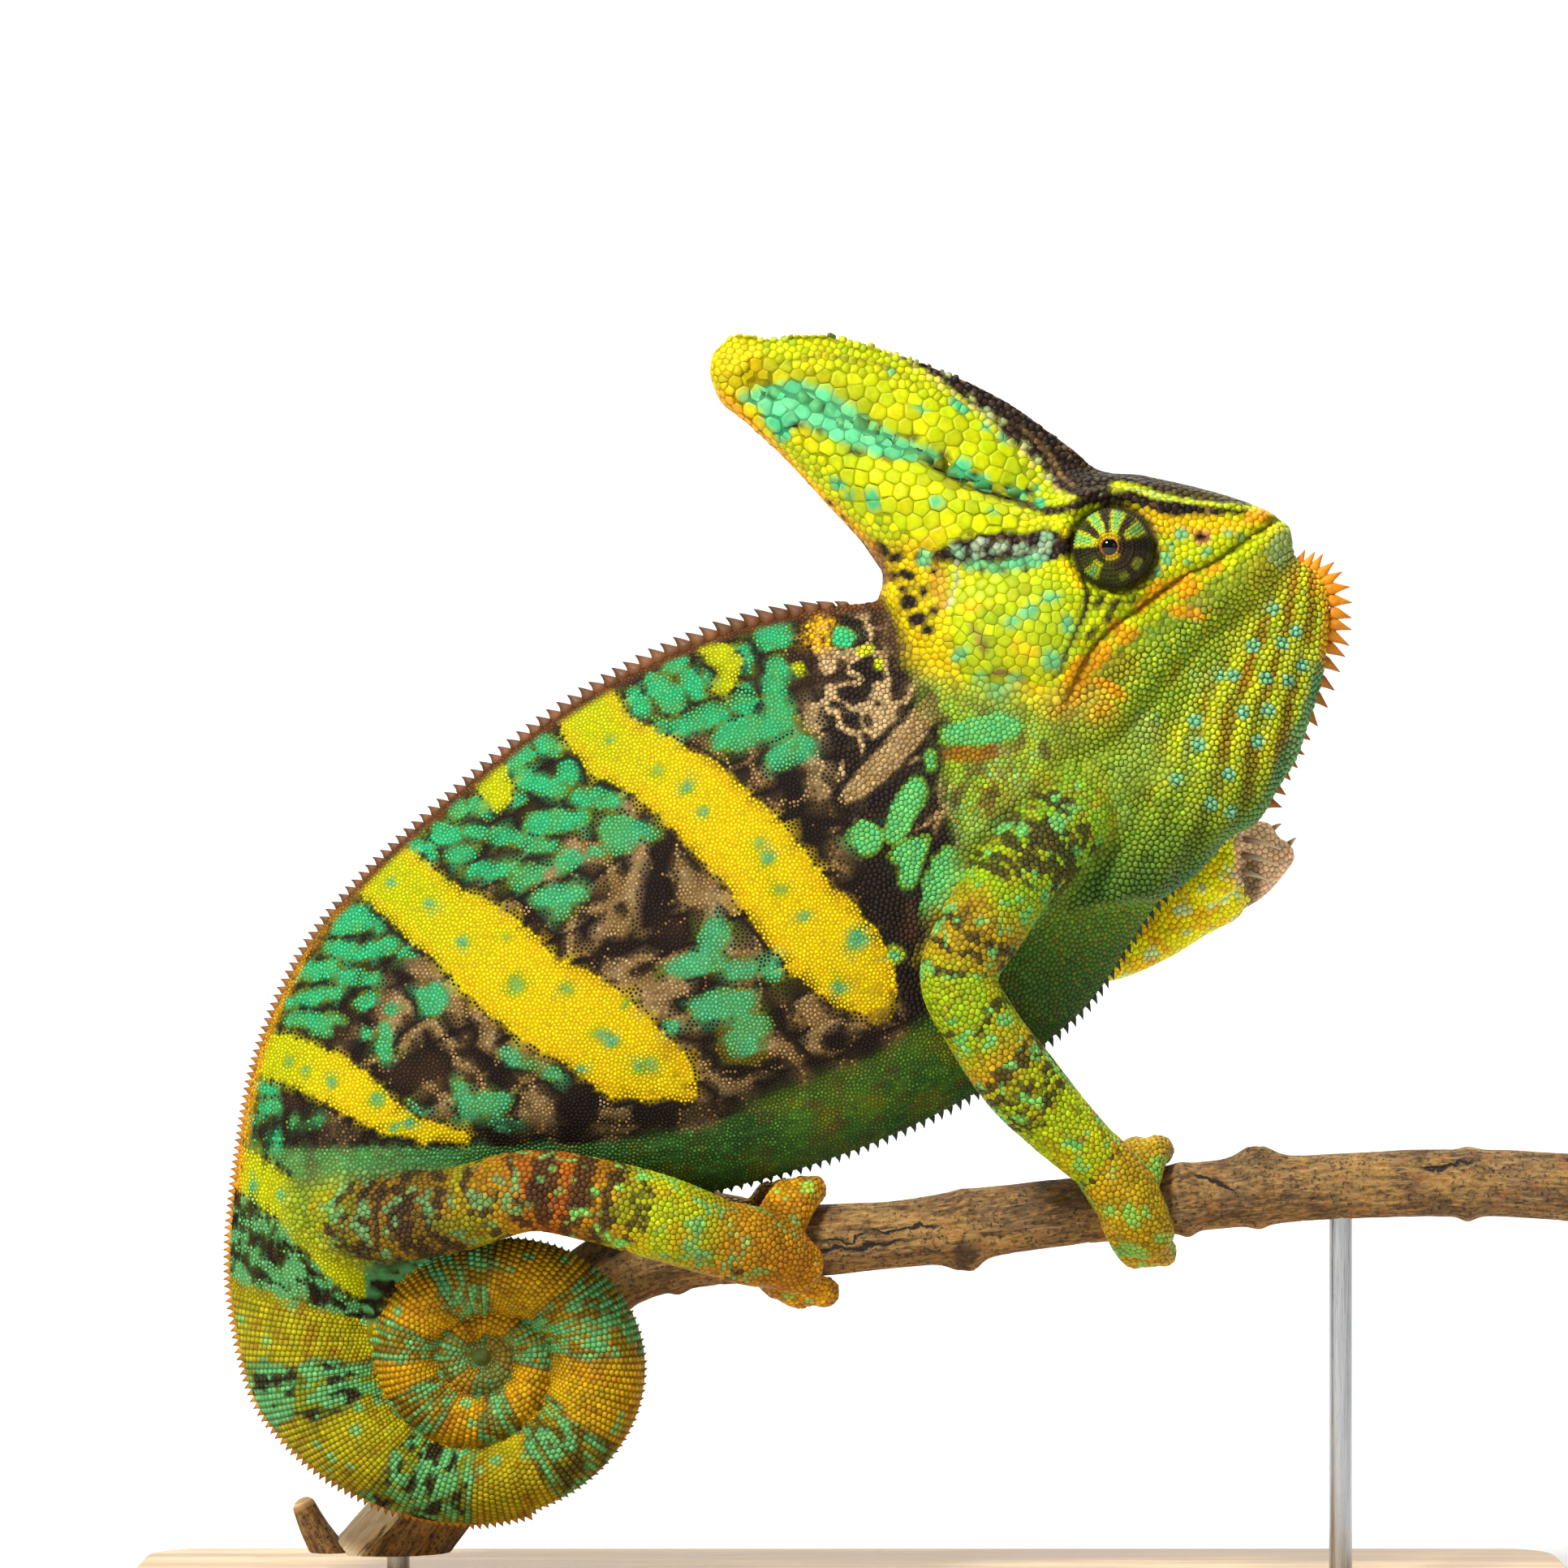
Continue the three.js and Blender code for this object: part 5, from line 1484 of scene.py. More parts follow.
# %% Paint the head and throat
STREAK = [(-18.5, 216.8, 0.8), (-15.5, 216.7, 2.2), (-12.5, 215.6, 4.4), (-8, 215.4, 3.7), (-4.6, 214, 3.3),
          (-1.4, 212, 3.1),
          (2.6, 210, 2.6), (6.5, 208.2, 2), (10.4, 207.2, 1.5), (14, 206.6, 0.9)]
STREAK_SPOTS = [(-12.3, 211.4, 1.3, 2.4, 10), (18.6, 204.2, 1.6, 1.5, 0), (22.1, 202.1, 1.5, 1.4, 0),
                (28, 200.3, 1.7, 0.9, -30),
                (31.6, 200.8, 0.7, 0.6, 0), (32.1, 198.6, 0.9, 0.9, 0), (14.1, 198.5, 1.1, 0.9, 0),
                (-2.7, 201.6, 1.3, 0.8, -30),
                (3.2, 198.8, 1, 1.6, 15), (11.4, 215, 0.7, 0.6, 0), (23.5, 196.9, 0.7, 0.5, 0),
                (6.5, 221.2, 0.8, 0.4, -20),
                (18.2, 215.4, 2, 1, -40), (26.1, 210.1, 1.3, 0.8, -40), (22.8, 211.9, 1, 0.8, -40),
                (-0.5, 200, 0.6, 0.9, 0)]
STREAK_EDGE = [(12.5, 205.4, 0.3), (16, 203.2, 0.5), (20, 201.2, 0.5), (24, 199.8, 0.6), (28, 198.7, 0.7),
               (33, 197.3, 0.8), (35, 197, 0.7)]
STREAK_SHADOWS = [(-9.8, 211.8, 1.2, 0.6, -10), (-5.9, 210.7, 0.7, 0.45, 0), (0.3, 207.3, 1.2, 0.6, -20),
                  (5.2, 206, 1.3, 0.5, -20),
                  (10.5, 209.7, 0.9, 0.6, -20), (15.6, 206.4, 1.3, 0.8, -25), (14.3, 204.4, 1.7, 0.5, -25),
                  (17.6, 202.6, 1.2, 0.6, -30),
                  (20.3, 202.9, 0.6, 1, 0), (23.8, 201.1, 1.3, 0.8, -20), (26.6, 201.4, 1, 0.7, 0),
                  (30.2, 200.3, 0.8, 0.9, 0)]
RIM_SHADE = [(-14.8, 222.3, 0.3), (-8, 223.9, 0.35), (-1.4, 223.7, 0.4), (5.2, 222.4, 0.35),
             (11, 219.6, 0.25)]
CROWN_LINE = [(-26, 231), (4, 226.6), (7.8, 224.8), (11, 222.7), (14.6, 220.1), (17.6, 217.8), (21.5, 215),
              (24.1, 212.8), (27, 209.6),
              (30.3, 206.4), (33.2, 203.8), (35, 201), (38, 199.2), (44, 199)]
CROWN_STREAKS = [(28.6, 212.2, 0.3), (30.8, 210.2, 0.4), (33, 207.9, 0.45), (34.8, 205.4, 0.45),
                 (35.8, 203.2, 0.45), (38, 201.2, 0.35)]
CROWN_SCALES = [(22.9, 213.9, 1.3, 0.9, -40), (20.6, 216.6, 0.8, 0.5, -40), (25.4, 212.9, 0.8, 0.5, -40),
                (29.4, 208.7, 0.9, 0.6, -40),
                (31.6, 206.3, 0.9, 0.6, -40), (16, 220.9, 0.7, 0.4, -40), (11.5, 223.6, 0.8, 0.35, -30),
                (33.6, 203, 0.7, 0.9, 0)]
FOREHEAD_LINE = [(36, 199.8), (40, 200), (43, 201.2), (44.5, 202.3), (50, 201.1), (56.7, 199.3),
                 (63.3, 198.5), (68, 198), (78, 196)]
LIME_ROW = [(41, 199.9, 0.2), (44.5, 200.5, 0.25), (47.5, 200.5, 0.4), (50.4, 200.1, 0.6), (52.8, 199.6, 0.6),
            (54.8, 199.1, 0.5),
            (58.5, 198.8, 0.5), (61, 198.8, 0.5), (64, 198.2, 0.4)]
BROW = [(33, 196.7, 0.6), (36.4, 197.2, 0.9), (39.6, 198.6, 1), (42.8, 199.1, 1.05), (46.2, 199.3, 1.05),
        (49.1, 198.8, 1.1),
        (52.3, 197.6, 1.25), (55.5, 197.3, 1.2), (59.8, 197.1, 0.9), (64, 197, 0.5), (67, 196.9, 0.3)]
TEMPLE = [(14, 189.2, 0.9), (18, 190, 2), (22, 190.4, 2.7), (26, 190.2, 2.8), (30, 190.4, 2.8),
          (33, 191, 2.7), (36.5, 191.6, 1.8)]
TEMPLE_PLATES = [(17.6, 189.8, 1.3, 0.9, -20), (21.2, 191.3, 1.8, 0.7, 20), (21, 189.4, 1.2, 0.8, 10),
                 (24.8, 190.5, 1.5, 0.9, 20),
                 (28.3, 190.2, 1.5, 1.1, 30), (30.6, 189.6, 0.8, 1.1, 0), (32.5, 190.9, 1.1, 2.5, -5)]
TEAL_PLATES = [(20.5, 187.5, 1.7, 0.9, 0), (23.8, 187.2, 1.5, 0.9, 0), (27.4, 187.9, 1.7, 1, 0),
               (30.8, 188, 1.3, 1, 0), (12, 188.7, 1.2, 1.7, 0)]
TEMPLE_DOTS = [(32.3, 190, 0.8, 0.45, 20), (18.2, 187.9, 0.6, 0.5, 0), (21.9, 186.4, 0.5, 0.4, 0),
               (25.4, 187, 0.45, 0.5, 0), (29.2, 186.9, 0.45, 0.5, 0),
               (23, 188.9, 1.6, 0.35, 0), (28, 189, 1.4, 0.3, 0), (19.4, 190.6, 0.5, 0.7, 0),
               (26.4, 192.4, 1.6, 0.4, 10)]
WRINKLE = [(17.4, 188, 0.3), (17.2, 185, 0.35), (16.8, 182.5, 0.3), (16, 180.5, 0.25)]
CASQUE_EDGE = [(-22.5, 217, 1.2), (-16, 210, 1.6), (-10, 203, 1.8), (-4, 197, 1.9), (2, 191, 1.6),
               (5, 186, 1.2)]
CHEEK_DABS = [(29.7, 179.7, 1.5, 1, 30), (26.7, 177.8, 1.2, 0.8, 30), (36.3, 177.6, 0.8, 1.3, 0),
              (33.6, 171.5, 1.3, 1.4, 0),
              (17.9, 172.5, 1.4, 0.8, 40), (27.4, 168.2, 1.2, 1, 0), (24.9, 166.3, 2.2, 1, -10),
              (21.5, 168.6, 1, 0.7, 30), (33.5, 182, 1.4, 0.7, 10)]
CHEEK_EDGE = [(38.4, 186.6, 0.35), (39.5, 183, 0.55), (39.2, 179.5, 0.6), (37.6, 176, 0.5), (36.2, 173, 0.5),
              (35.4, 170.5, 0.45),
              (33.6, 167.6, 0.3)]
EYE_SHADOWS = [(41.7, 181.3, 1.5, 0.9, 60), (44.4, 180.8, 1.3, 0.7, 40), (43.3, 178.8, 0.8, 1.1, 0),
               (40.2, 175.9, 1.3, 0.6, 50),
               (38.4, 184.9, 0.7, 0.5, 0), (47.6, 181.5, 0.9, 0.6, 30)]
EYE_YELLOWS = [(35.5, 187.8, 0.8, 0.9, 0), (37, 186.4, 0.7, 1.2, 40), (37.8, 184.4, 0.8, 1.1, 40),
               (36, 193.6, 0.7, 1, 10), (34.6, 195.2, 1, 0.5, 0), (31, 195.4, 1.4, 0.5, 10)]
NAPE_SPOTS = [(4.5, 190.5, 1.3, 1.7, 50), (7.1, 189.2, 1.2, 1, 0), (8.9, 186.2, 1.5, 0.8, -20),
              (6.6, 186, 0.9, 1, 0), (11, 188.9, 0.6, 0.9, 0),
              (11.8, 183.2, 0.8, 0.7, 0), (9.4, 181.3, 1.5, 1.3, 0), (11, 178.6, 1.6, 1.2, 0),
              (13.3, 179.8, 0.8, 0.7, 0),
              (8.2, 183.6, 0.7, 0.6, 0), (13.5, 186.6, 0.5, 0.6, 0), (12.6, 176.6, 1, 0.7, 0)]
MOUTH_ORANGES = [(51.5, 183.4, 1.9, 1.3, 40), (55.6, 184.9, 2.1, 0.8, 30), (49.2, 180.7, 1.4, 0.8, 40),
                 (57.4, 183.6, 2.2, 1.1, 30),
                 (57, 179.6, 2.8, 1, -15), (37.9, 167.8, 2.1, 4, -22), (41.5, 163.2, 3.4, 1.3, -12),
                 (43.7, 166.6, 2.6, 0.9, -30), (41.5, 172, 1.3, 2.6, -35),
                 (35, 162.5, 3.2, 1.5, 20), (46.5, 175.5, 2, 0.9, 30), (61.5, 187, 1.3, 0.7, 30),
                 (45, 176.9, 1.2, 1.4, -40), (69.5, 196.4, 2.5, 1, 20)]
SNOUT_TEALS = [(56.1, 193.1, 1.1, 1, 0), (54.2, 191, 0.6, 0.6, 0), (53.4, 188.7, 0.9, 1.1, 0),
               (51.6, 186.5, 1, 0.7, 30), (60, 189.9, 0.9, 0.6, 30),
               (63.9, 193.4, 0.7, 0.6, 0), (57, 188.3, 0.6, 0.5, 0), (66.5, 192.8, 0.5, 0.6, 0)]
BEADS = [(52, 172.5), (58.5, 161), (59, 157), (61, 147), (62.5, 169), (64, 152), (65, 169), (66, 180),
         (68.5, 174),
         (69, 157.5), (71, 163), (73.5, 174.5), (74.5, 168), (76, 176.5), (56, 166.5), (66.5, 162.5),
         (70.5, 168.5),
         (60.5, 174.5), (64.5, 145.5), (72, 180.5), (55, 151), (77, 170.5)]


def above_line(x, z, line):
    line = np.asarray(line)
    return z - np.interp(x, line[:, 0], line[:, 1])


def side_view_of(spots, wobble, seed):
    """Side view places with frayed edges. The left side gets markings of its own."""
    side_view = spots[:, [0, 2]].copy()
    left = spots[:, 1] > 0
    side_view[left] += np.column_stack([noise(spots, 19, seed + 90), noise(spots, 19, seed + 91)])[left] * 1.6
    return side_view + np.column_stack([layered(spots, 2.4, seed), layered(spots, 2.4, seed + 7)]) * wobble


def painted(color, side_view, ovals, paint, edge=0.25, amount=1.0):
    """color with slanted ovals of one pigment on it."""
    return mixed(color, paint, step(oval_distance(side_view, ovals), edge, -0.2) * amount)


def stroked(color, side_view, line, paint, amount=1.0):
    """color with a stroke of one pigment along a line with half widths."""
    away, _ = band_distance(side_view, line)
    return mixed(color, paint, step(away, 0.2, -0.2) * amount)


def gular_colors(spots, side_view, pleats, strength):
    """Skin below the jaw. pleats runs from -1 in the grooves to 1 on the ridges."""
    x, z = side_view.T
    grain = speckle(spots, 8)
    green = mixed(pigment(140, 172, 48), PALE_TEAL, patchy(spots, 4.5, 253, 0.1, 0.6) * 0.4)
    green = mixed(green, LIME, step(grain, 0.5, 0.7) * 0.6)
    green = mixed(green, MOSS, step(grain, 0.45, 0.25) * 0.7)
    green = mixed(green, HONEY, patchy(spots, 5.5, 259, 0.05, 0.5) * 0.6)
    green = mixed(green, pigment(188, 178, 30), step(x, 58, 72) * step(z, 166, 180) * 0.55)
    ridge = mixed(LIME, YELLOW, patchy(spots, 5, 251, -0.2, 0.6) * 0.4)
    ridge = mixed(ridge, GRASS, step(grain, 0.45, 0.7) * 0.5)
    ridge = mixed(ridge, PALE_TEAL, step(grain, 0.3, 0.15) * 0.6)
    groove = mixed(pigment(148, 118, 12), ORANGE, patchy(spots, 6, 255, -0.1, 0.5) * step(z, 150, 168) * 0.4)
    groove = mixed(groove, LEAF, step(grain, 0.55, 0.8) * 0.5)
    groove = mixed(groove, green, patchy(spots, 7, 258, -0.15, 0.35) * 0.7)
    beaded = pleats + 1.1 * (grain - 0.5) + 0.9 * layered(spots, 2.2, 257, 2)
    pleated = mixed(groove, ridge, step(beaded, -0.5, 0.3) * 0.85)
    return mixed(green, pleated, strength)


def head_colors(spots, tags):
    side_view = side_view_of(spots, 0.55, 201)
    x, z = side_view.T
    grain = speckle(spots, 6)
    color = mixed(CASQUE_LIME, YELLOW, patchy(spots, 5, 211, 0.0, 0.7) * 0.4)
    color = mixed(color, GRASS, patchy(spots, 3, 215, 0.1, 0.7) * 0.35)
    color = mixed(color, DEEP_YELLOW, step(np.hypot((x + 21) / 7, (z - 222) / 8), 1.1, 0.5) * 0.4)
    # painted shade in the valley between the rim and the streak, at the rear of the casque
    above = above_line(x, z, [(-30, 219), (-14, 218), (0, 214), (10, 209), (20, 205), (34, 199)])
    color = mixed(color, HONEY, step(above, 0, 2) * step(above, 7, 3) * step(x, 12, -6) * step(x, -18, -15)
                  * 0.55)

    # the nape and the rear edge of the casque
    nape = step(x + 0.2 * (z - 180), 17.5, 14.5) * step(z, 194, 190)
    color = mixed(color, DEEP_YELLOW, nape * 0.5)
    color = mixed(color, OLIVE, nape * patchy(spots, 2, 217, 0.1, 0.4) * 0.7)
    color = painted(color, side_view, [(14.6, 184, 1.2, 3.2, 5)], pigment(196, 140, 44), 0.8, 0.7)
    color = painted(color, side_view, NAPE_SPOTS, BLACK_BROWN, 0.35)
    edge, place = band_distance(side_view, CASQUE_EDGE)
    color = mixed(color, mixed(DEEP_YELLOW, ORANGE, 0.3 + 0.5 * grain), step(edge, 0.9, -0.9) * 0.8)
    edge_spots = step(edge, 0.6, -0.5) * step(dots(spots, 3, 219), 0.95, 0.7) * step(place, 1.4, 2.4)
    color = mixed(color, BROWN, edge_spots)
    color = mixed(color, BROWN, step(place, 3.6, 4.6) * step(edge, 0.8, -0.5) * 0.8)

    # the streak in the valley of the casque
    color = stroked(color, side_view, RIM_SHADE, OLIVE, 0.65)
    streak, place = band_distance(side_view, STREAK)
    green = mixed(EMERALD, PALE_TEAL, patchy(spots, 2.2, 221, -0.3, 0.5) * 0.55 + 0.3 * (grain - 0.4))
    green = mixed(green, pigment(110, 196, 130), 0.5)
    color = mixed(color, GRASS, step(streak, 1.1, 0.2) * 0.6)
    color = mixed(color, green, step(streak, 0.25, -0.25))
    color = stroked(color, side_view, STREAK_EDGE, BLACK_BROWN, 0.9)
    color = painted(color, side_view, STREAK_SHADOWS, BLACK_BROWN)
    color = mixed(color, mixed(TEAL, EMERALD, grain),
                  step(oval_distance(side_view, STREAK_SPOTS), 0.25, -0.2))

    # the crown and the forehead
    crown = above_line(x, z, CROWN_LINE) + 0.6 * layered(spots, 1.8, 223)
    dark = mixed(BLACK_BROWN, BROWN, step(grain, 0.5, 0.8) * 0.6)
    dark = mixed(dark, TAN, patchy(spots, 1.2, 224, 0.35, 0.5) * 0.6)
    pale_rim = step(np.abs(crown + 0.7), 0.8, 0.4) * step(x, 38, 36) * step(x, -2, 4)
    color = mixed(color, pigment(214, 196, 90),
                  pale_rim * step(np.sin(3.1 * x + layered(spots, 2, 226)), -0.6, 0))
    color = mixed(color, dark, step(crown, -0.3, 0.3) * step(x, 44.6, 43.4))
    color = stroked(color, side_view, CROWN_STREAKS, TAN, 0.6)
    color = painted(color, side_view, CROWN_SCALES, pigment(172, 180, 110), 0.2)
    forehead = above_line(x, z, FOREHEAD_LINE) + 0.3 * layered(spots, 2, 227)
    forehead_dark = mixed(dark, OLIVE, step(x, 48, 64) * 0.3 + 0.3 * step(grain, 0.5, 0.7))
    color = mixed(color, forehead_dark, step(forehead, -0.2, 0.3) * step(x, 37, 40) * step(x, 69, 67))

    # the brow
    color = painted(color, side_view, [(52, 195, 6, 1.6, -12), (59, 194.6, 6, 1.4, 0)], DEEP_YELLOW, 0.8, 0.7)
    brow, _ = band_distance(side_view, BROW)
    color = mixed(color, dark, step(brow, 0.2, -0.3))
    row, place = band_distance(side_view, LIME_ROW)
    color = mixed(color, mixed(LIME, MINT, grain), step(row, 0.0, -0.25) * step(np.sin(4.2 * x), -0.3, 0.2)
                  * (0.15 + 0.65 * step(x, 58, 52)))

    # the row of plates behind the eye
    temple, _ = band_distance(side_view, TEMPLE)
    color = mixed(color, dark, step(temple + 0.5 * layered(spots, 1.6, 230), 0.3, -0.2))
    color = painted(color, side_view, TEMPLE_PLATES, mixed(ASH, pigment(150, 182, 130), grain), 0.15, 0.95)
    color = mixed(color, TEAL, step(oval_distance(side_view, TEMPLE_PLATES), 0.15, -0.2)
                  * patchy(spots, 3, 229, -0.1, 0.4) * 0.5)

    # the cheek
    cheek = np.hypot((x - 27) / 11.5, (z - 176.5) / 12) + 0.08 * layered(spots, 4, 232)
    color = mixed(color, pigment(184, 196, 10), step(cheek, 1.1, 0.8) * 0.6)
    color = mixed(color, GRASS, step(cheek, 1.1, 0.8) * patchy(spots, 3.4, 238, -0.2, 0.4) * 0.45)
    color = mixed(color, mixed(GRASS, HONEY, patchy(spots, 3, 234, -0.3, 0.3)),
                  step(cheek, 0.98, 1.15) * step(z, 176, 168) * step(x, 16, 20) * 0.9)
    color = mixed(color, TEAL, step(oval_distance(side_view, TEAL_PLATES), 0.3, -0.2) * 0.85)
    color = painted(color, side_view, TEMPLE_DOTS, BLACK_BROWN, 0.2)
    color = stroked(color, side_view, WRINKLE, ASH, 0.8)
    color = painted(color, side_view, CHEEK_DABS, TEAL, 0.5, 0.85)
    scar = oval_distance(side_view,
                         [(21.8, 174.3, 0.9, 1.8, 30), (20.2, 176.8, 0.5, 0.8, 0),
                          (24.9, 169.3, 1.6, 0.6, 0)])
    color = mixed(color, pigment(132, 98, 52), step(scar, 0.3, -0.1) * 0.9)
    color = painted(color, side_view,
                    [(28.8, 173.4, 1.8, 0.9, -30), (20, 180.5, 1.4, 1, 20), (31.5, 166, 3, 0.9, -20)],
                    DEEP_YELLOW, 0.8, 0.6)
    color = stroked(color, side_view, CHEEK_EDGE, BLACK_BROWN, 0.95)

    # the mouth and the snout
    below_mouth = step(z - (0.66 * x + 144.5), 1, -1) * step(x, 36, 40)
    color = mixed(color, gular_colors(spots, side_view, np.zeros(len(spots)), np.zeros(len(spots))),
                  below_mouth)
    color = painted(color, side_view, MOUTH_ORANGES, mixed(ORANGE, DEEP_YELLOW, grain * 0.8), 0.6, 0.85)
    color = mixed(color, BLACK_BROWN, step(oval_distance(side_view, EYE_SHADOWS), 0.4, -0.2)
                  * patchy(spots, 1.2, 236, -0.5, -0.2) * 0.9)
    color = painted(color, side_view, EYE_YELLOWS, YELLOW, 0.2)
    color = painted(color, side_view, SNOUT_TEALS, TEAL, 0.3, 0.85)
    snout = step(np.hypot((x - 74.5) / 4, (z - 190.5) / 4), 1.1, 0.7)
    color = mixed(color, mixed(LEAF, ASH, 0.6 * grain), snout * 0.8)

    # round the eye, the nostril and the lips, with painted shade in the socket's groove, in the nostril's pit
    # and along the seam of the mouth
    from_eye = side_distance(spots, EYE["x"], EYE["z"])
    # painted shade in the groove round the eye's socket
    color = mixed(color, BLACK_BROWN, step(from_eye, 7.7, 7.3) * 0.9)
    color = mixed(color, pigment(150, 128, 56), step(np.abs(from_eye - 7.7), 0.6, 0.2) * step(x, 46, 49)
                  * step(z, 198, 196) * 0.85)
    nostril = np.hypot((x - NOSTRIL[0]) / 1.2, z - NOSTRIL[1])
    color = mixed(color, pigment(198, 140, 70), step(nostril, 1.7, 1.2))
    # painted shade in the nostril's pit
    color = mixed(color, pigment(96, 58, 30), step(nostril, 0.9, 0.5))
    # painted shade along the seam of the closed mouth
    mouth_seam_shade = near_line(side_view, MOUTH, 3, lambda d: np.exp(-((d / 0.3) ** 2)))
    return mixed(color, BROWN, mouth_seam_shade * 0.7)


def throat_colors(spots, tags):
    side_view = side_view_of(spots, 0.3, 241)
    x, z = side_view.T
    grain = speckle(spots, 8)
    strength = step(x - 59.2 + 0.27 * (188.3 - z), -3, 3)
    color = gular_colors(spots, side_view, pleats_at(spots), strength)
    front = step(tags[:, 2], 0.86, 0.95) * step(z, 174, 168)
    color = mixed(color, mixed(TEAL, SEA, grain), front * 0.8)
    color = mixed(color, DEEP_YELLOW, step(tags[:, 2], 0.9, 0.96) * step(z, 168, 176) * 0.7)
    # painted shade: the throat grows darker towards its bottom
    color = mixed(color, pigment(88, 134, 28), step(z, 160, 140) * 0.7)
    color = mixed(color, pigment(38, 82, 34), step(z, 148, 130) * (0.4 + 0.5 * grain))
    color = color * (0.72 + 0.56 * grain)[:, None]
    return mixed(color, pigment(120, 190, 140), step(circle_distance(x, z, BEADS), 1.3, 1) * 0.95)


# %% [markdown]
# ## The markings of the limbs and tail
#
# On limbs and tail the colours run in rings, so they are given by the place along the part. Each
# ring of the tail is either teal, broken by dark flecks that are drawn out across the tail, or
# yellow with brown outlines and a few pale spots.

# %% Paint the limbs and the tail
LIMB_BASES = {  # place along the limb, pigment
    "leg": [(0, LEAF), (0.5, SPRING), (1, OLIVE), (1.5, HONEY), (2, OLIVE), (2.4, SPRING), (2.8, GOLD),
            (3.2, RUST), (3.7, RUST),
            (4.2, OLIVE), (4.7, SPRING), (5.6, SPRING), (6, GOLD), (7, GOLD)],
    "arm": [(0, GRASS), (0.7, GRASS), (1.2, SPRING), (1.6, SPRING), (2, GOLD), (2.3, GOLD), (2.7, GOLD),
            (3.1, SPRING),
            (4, SPRING), (4.5, GOLD), (5.2, SPRING), (6.3, LIME), (6.8, SPRING), (7.4, GOLD)],
}
LIMB_BARS = {  # place, half width
    "leg": [(0.72, 0.07), (1.05, 0.12), (1.34, 0.07), (1.66, 0.12), (2.0, 0.07), (2.5, 0.05), (2.95, 0.07),
            (3.3, 0.12),
            (3.72, 0.12), (4.12, 0.08), (4.5, 0.05), (6.2, 0.05)],
    "arm": [(0.45, 0.08), (0.8, 0.14), (1.1, 0.1), (1.4, 0.06), (2.28, 0.09), (2.6, 0.05), (2.95, 0.04),
            (3.85, 0.06),
            (4.65, 0.1), (5.05, 0.12), (5.4, 0.07), (6.9, 0.04)],
}
TAIL_RINGS = [0.005, 0.053, 0.136, 0.238, 0.328, 0.41, 0.503, 0.61, 0.733, 0.845, 0.94, 1.0, 1.06, 1.163,
              1.25, 1.33,
              1.472, 1.62, 1.89, 2.095, 2.2, 2.42, 2.7]  # turns of the coil
LIMB_TONES = {  # place along the limb, shares of red, green and blue
    "leg": [(0, (0.8, 0.8, 0.5)), (1.5, (0.6, 0.52, 0.4)), (2.8, (0.7, 0.58, 0.4)), (3.4, (1.05, 0.85, 0.4)),
            (4.4, (1.25, 1.3, 0.5)), (5.6, (0.78, 0.7, 0.5))],
    "arm": [(0, (0.9, 1, 0.6)), (1.5, (0.66, 0.9, 0.45)), (3.4, (0.75, 0.95, 0.5)), (5.5, (0.85, 1.05, 0.5)),
            (7, (0.92, 0.98, 0.6))],
}


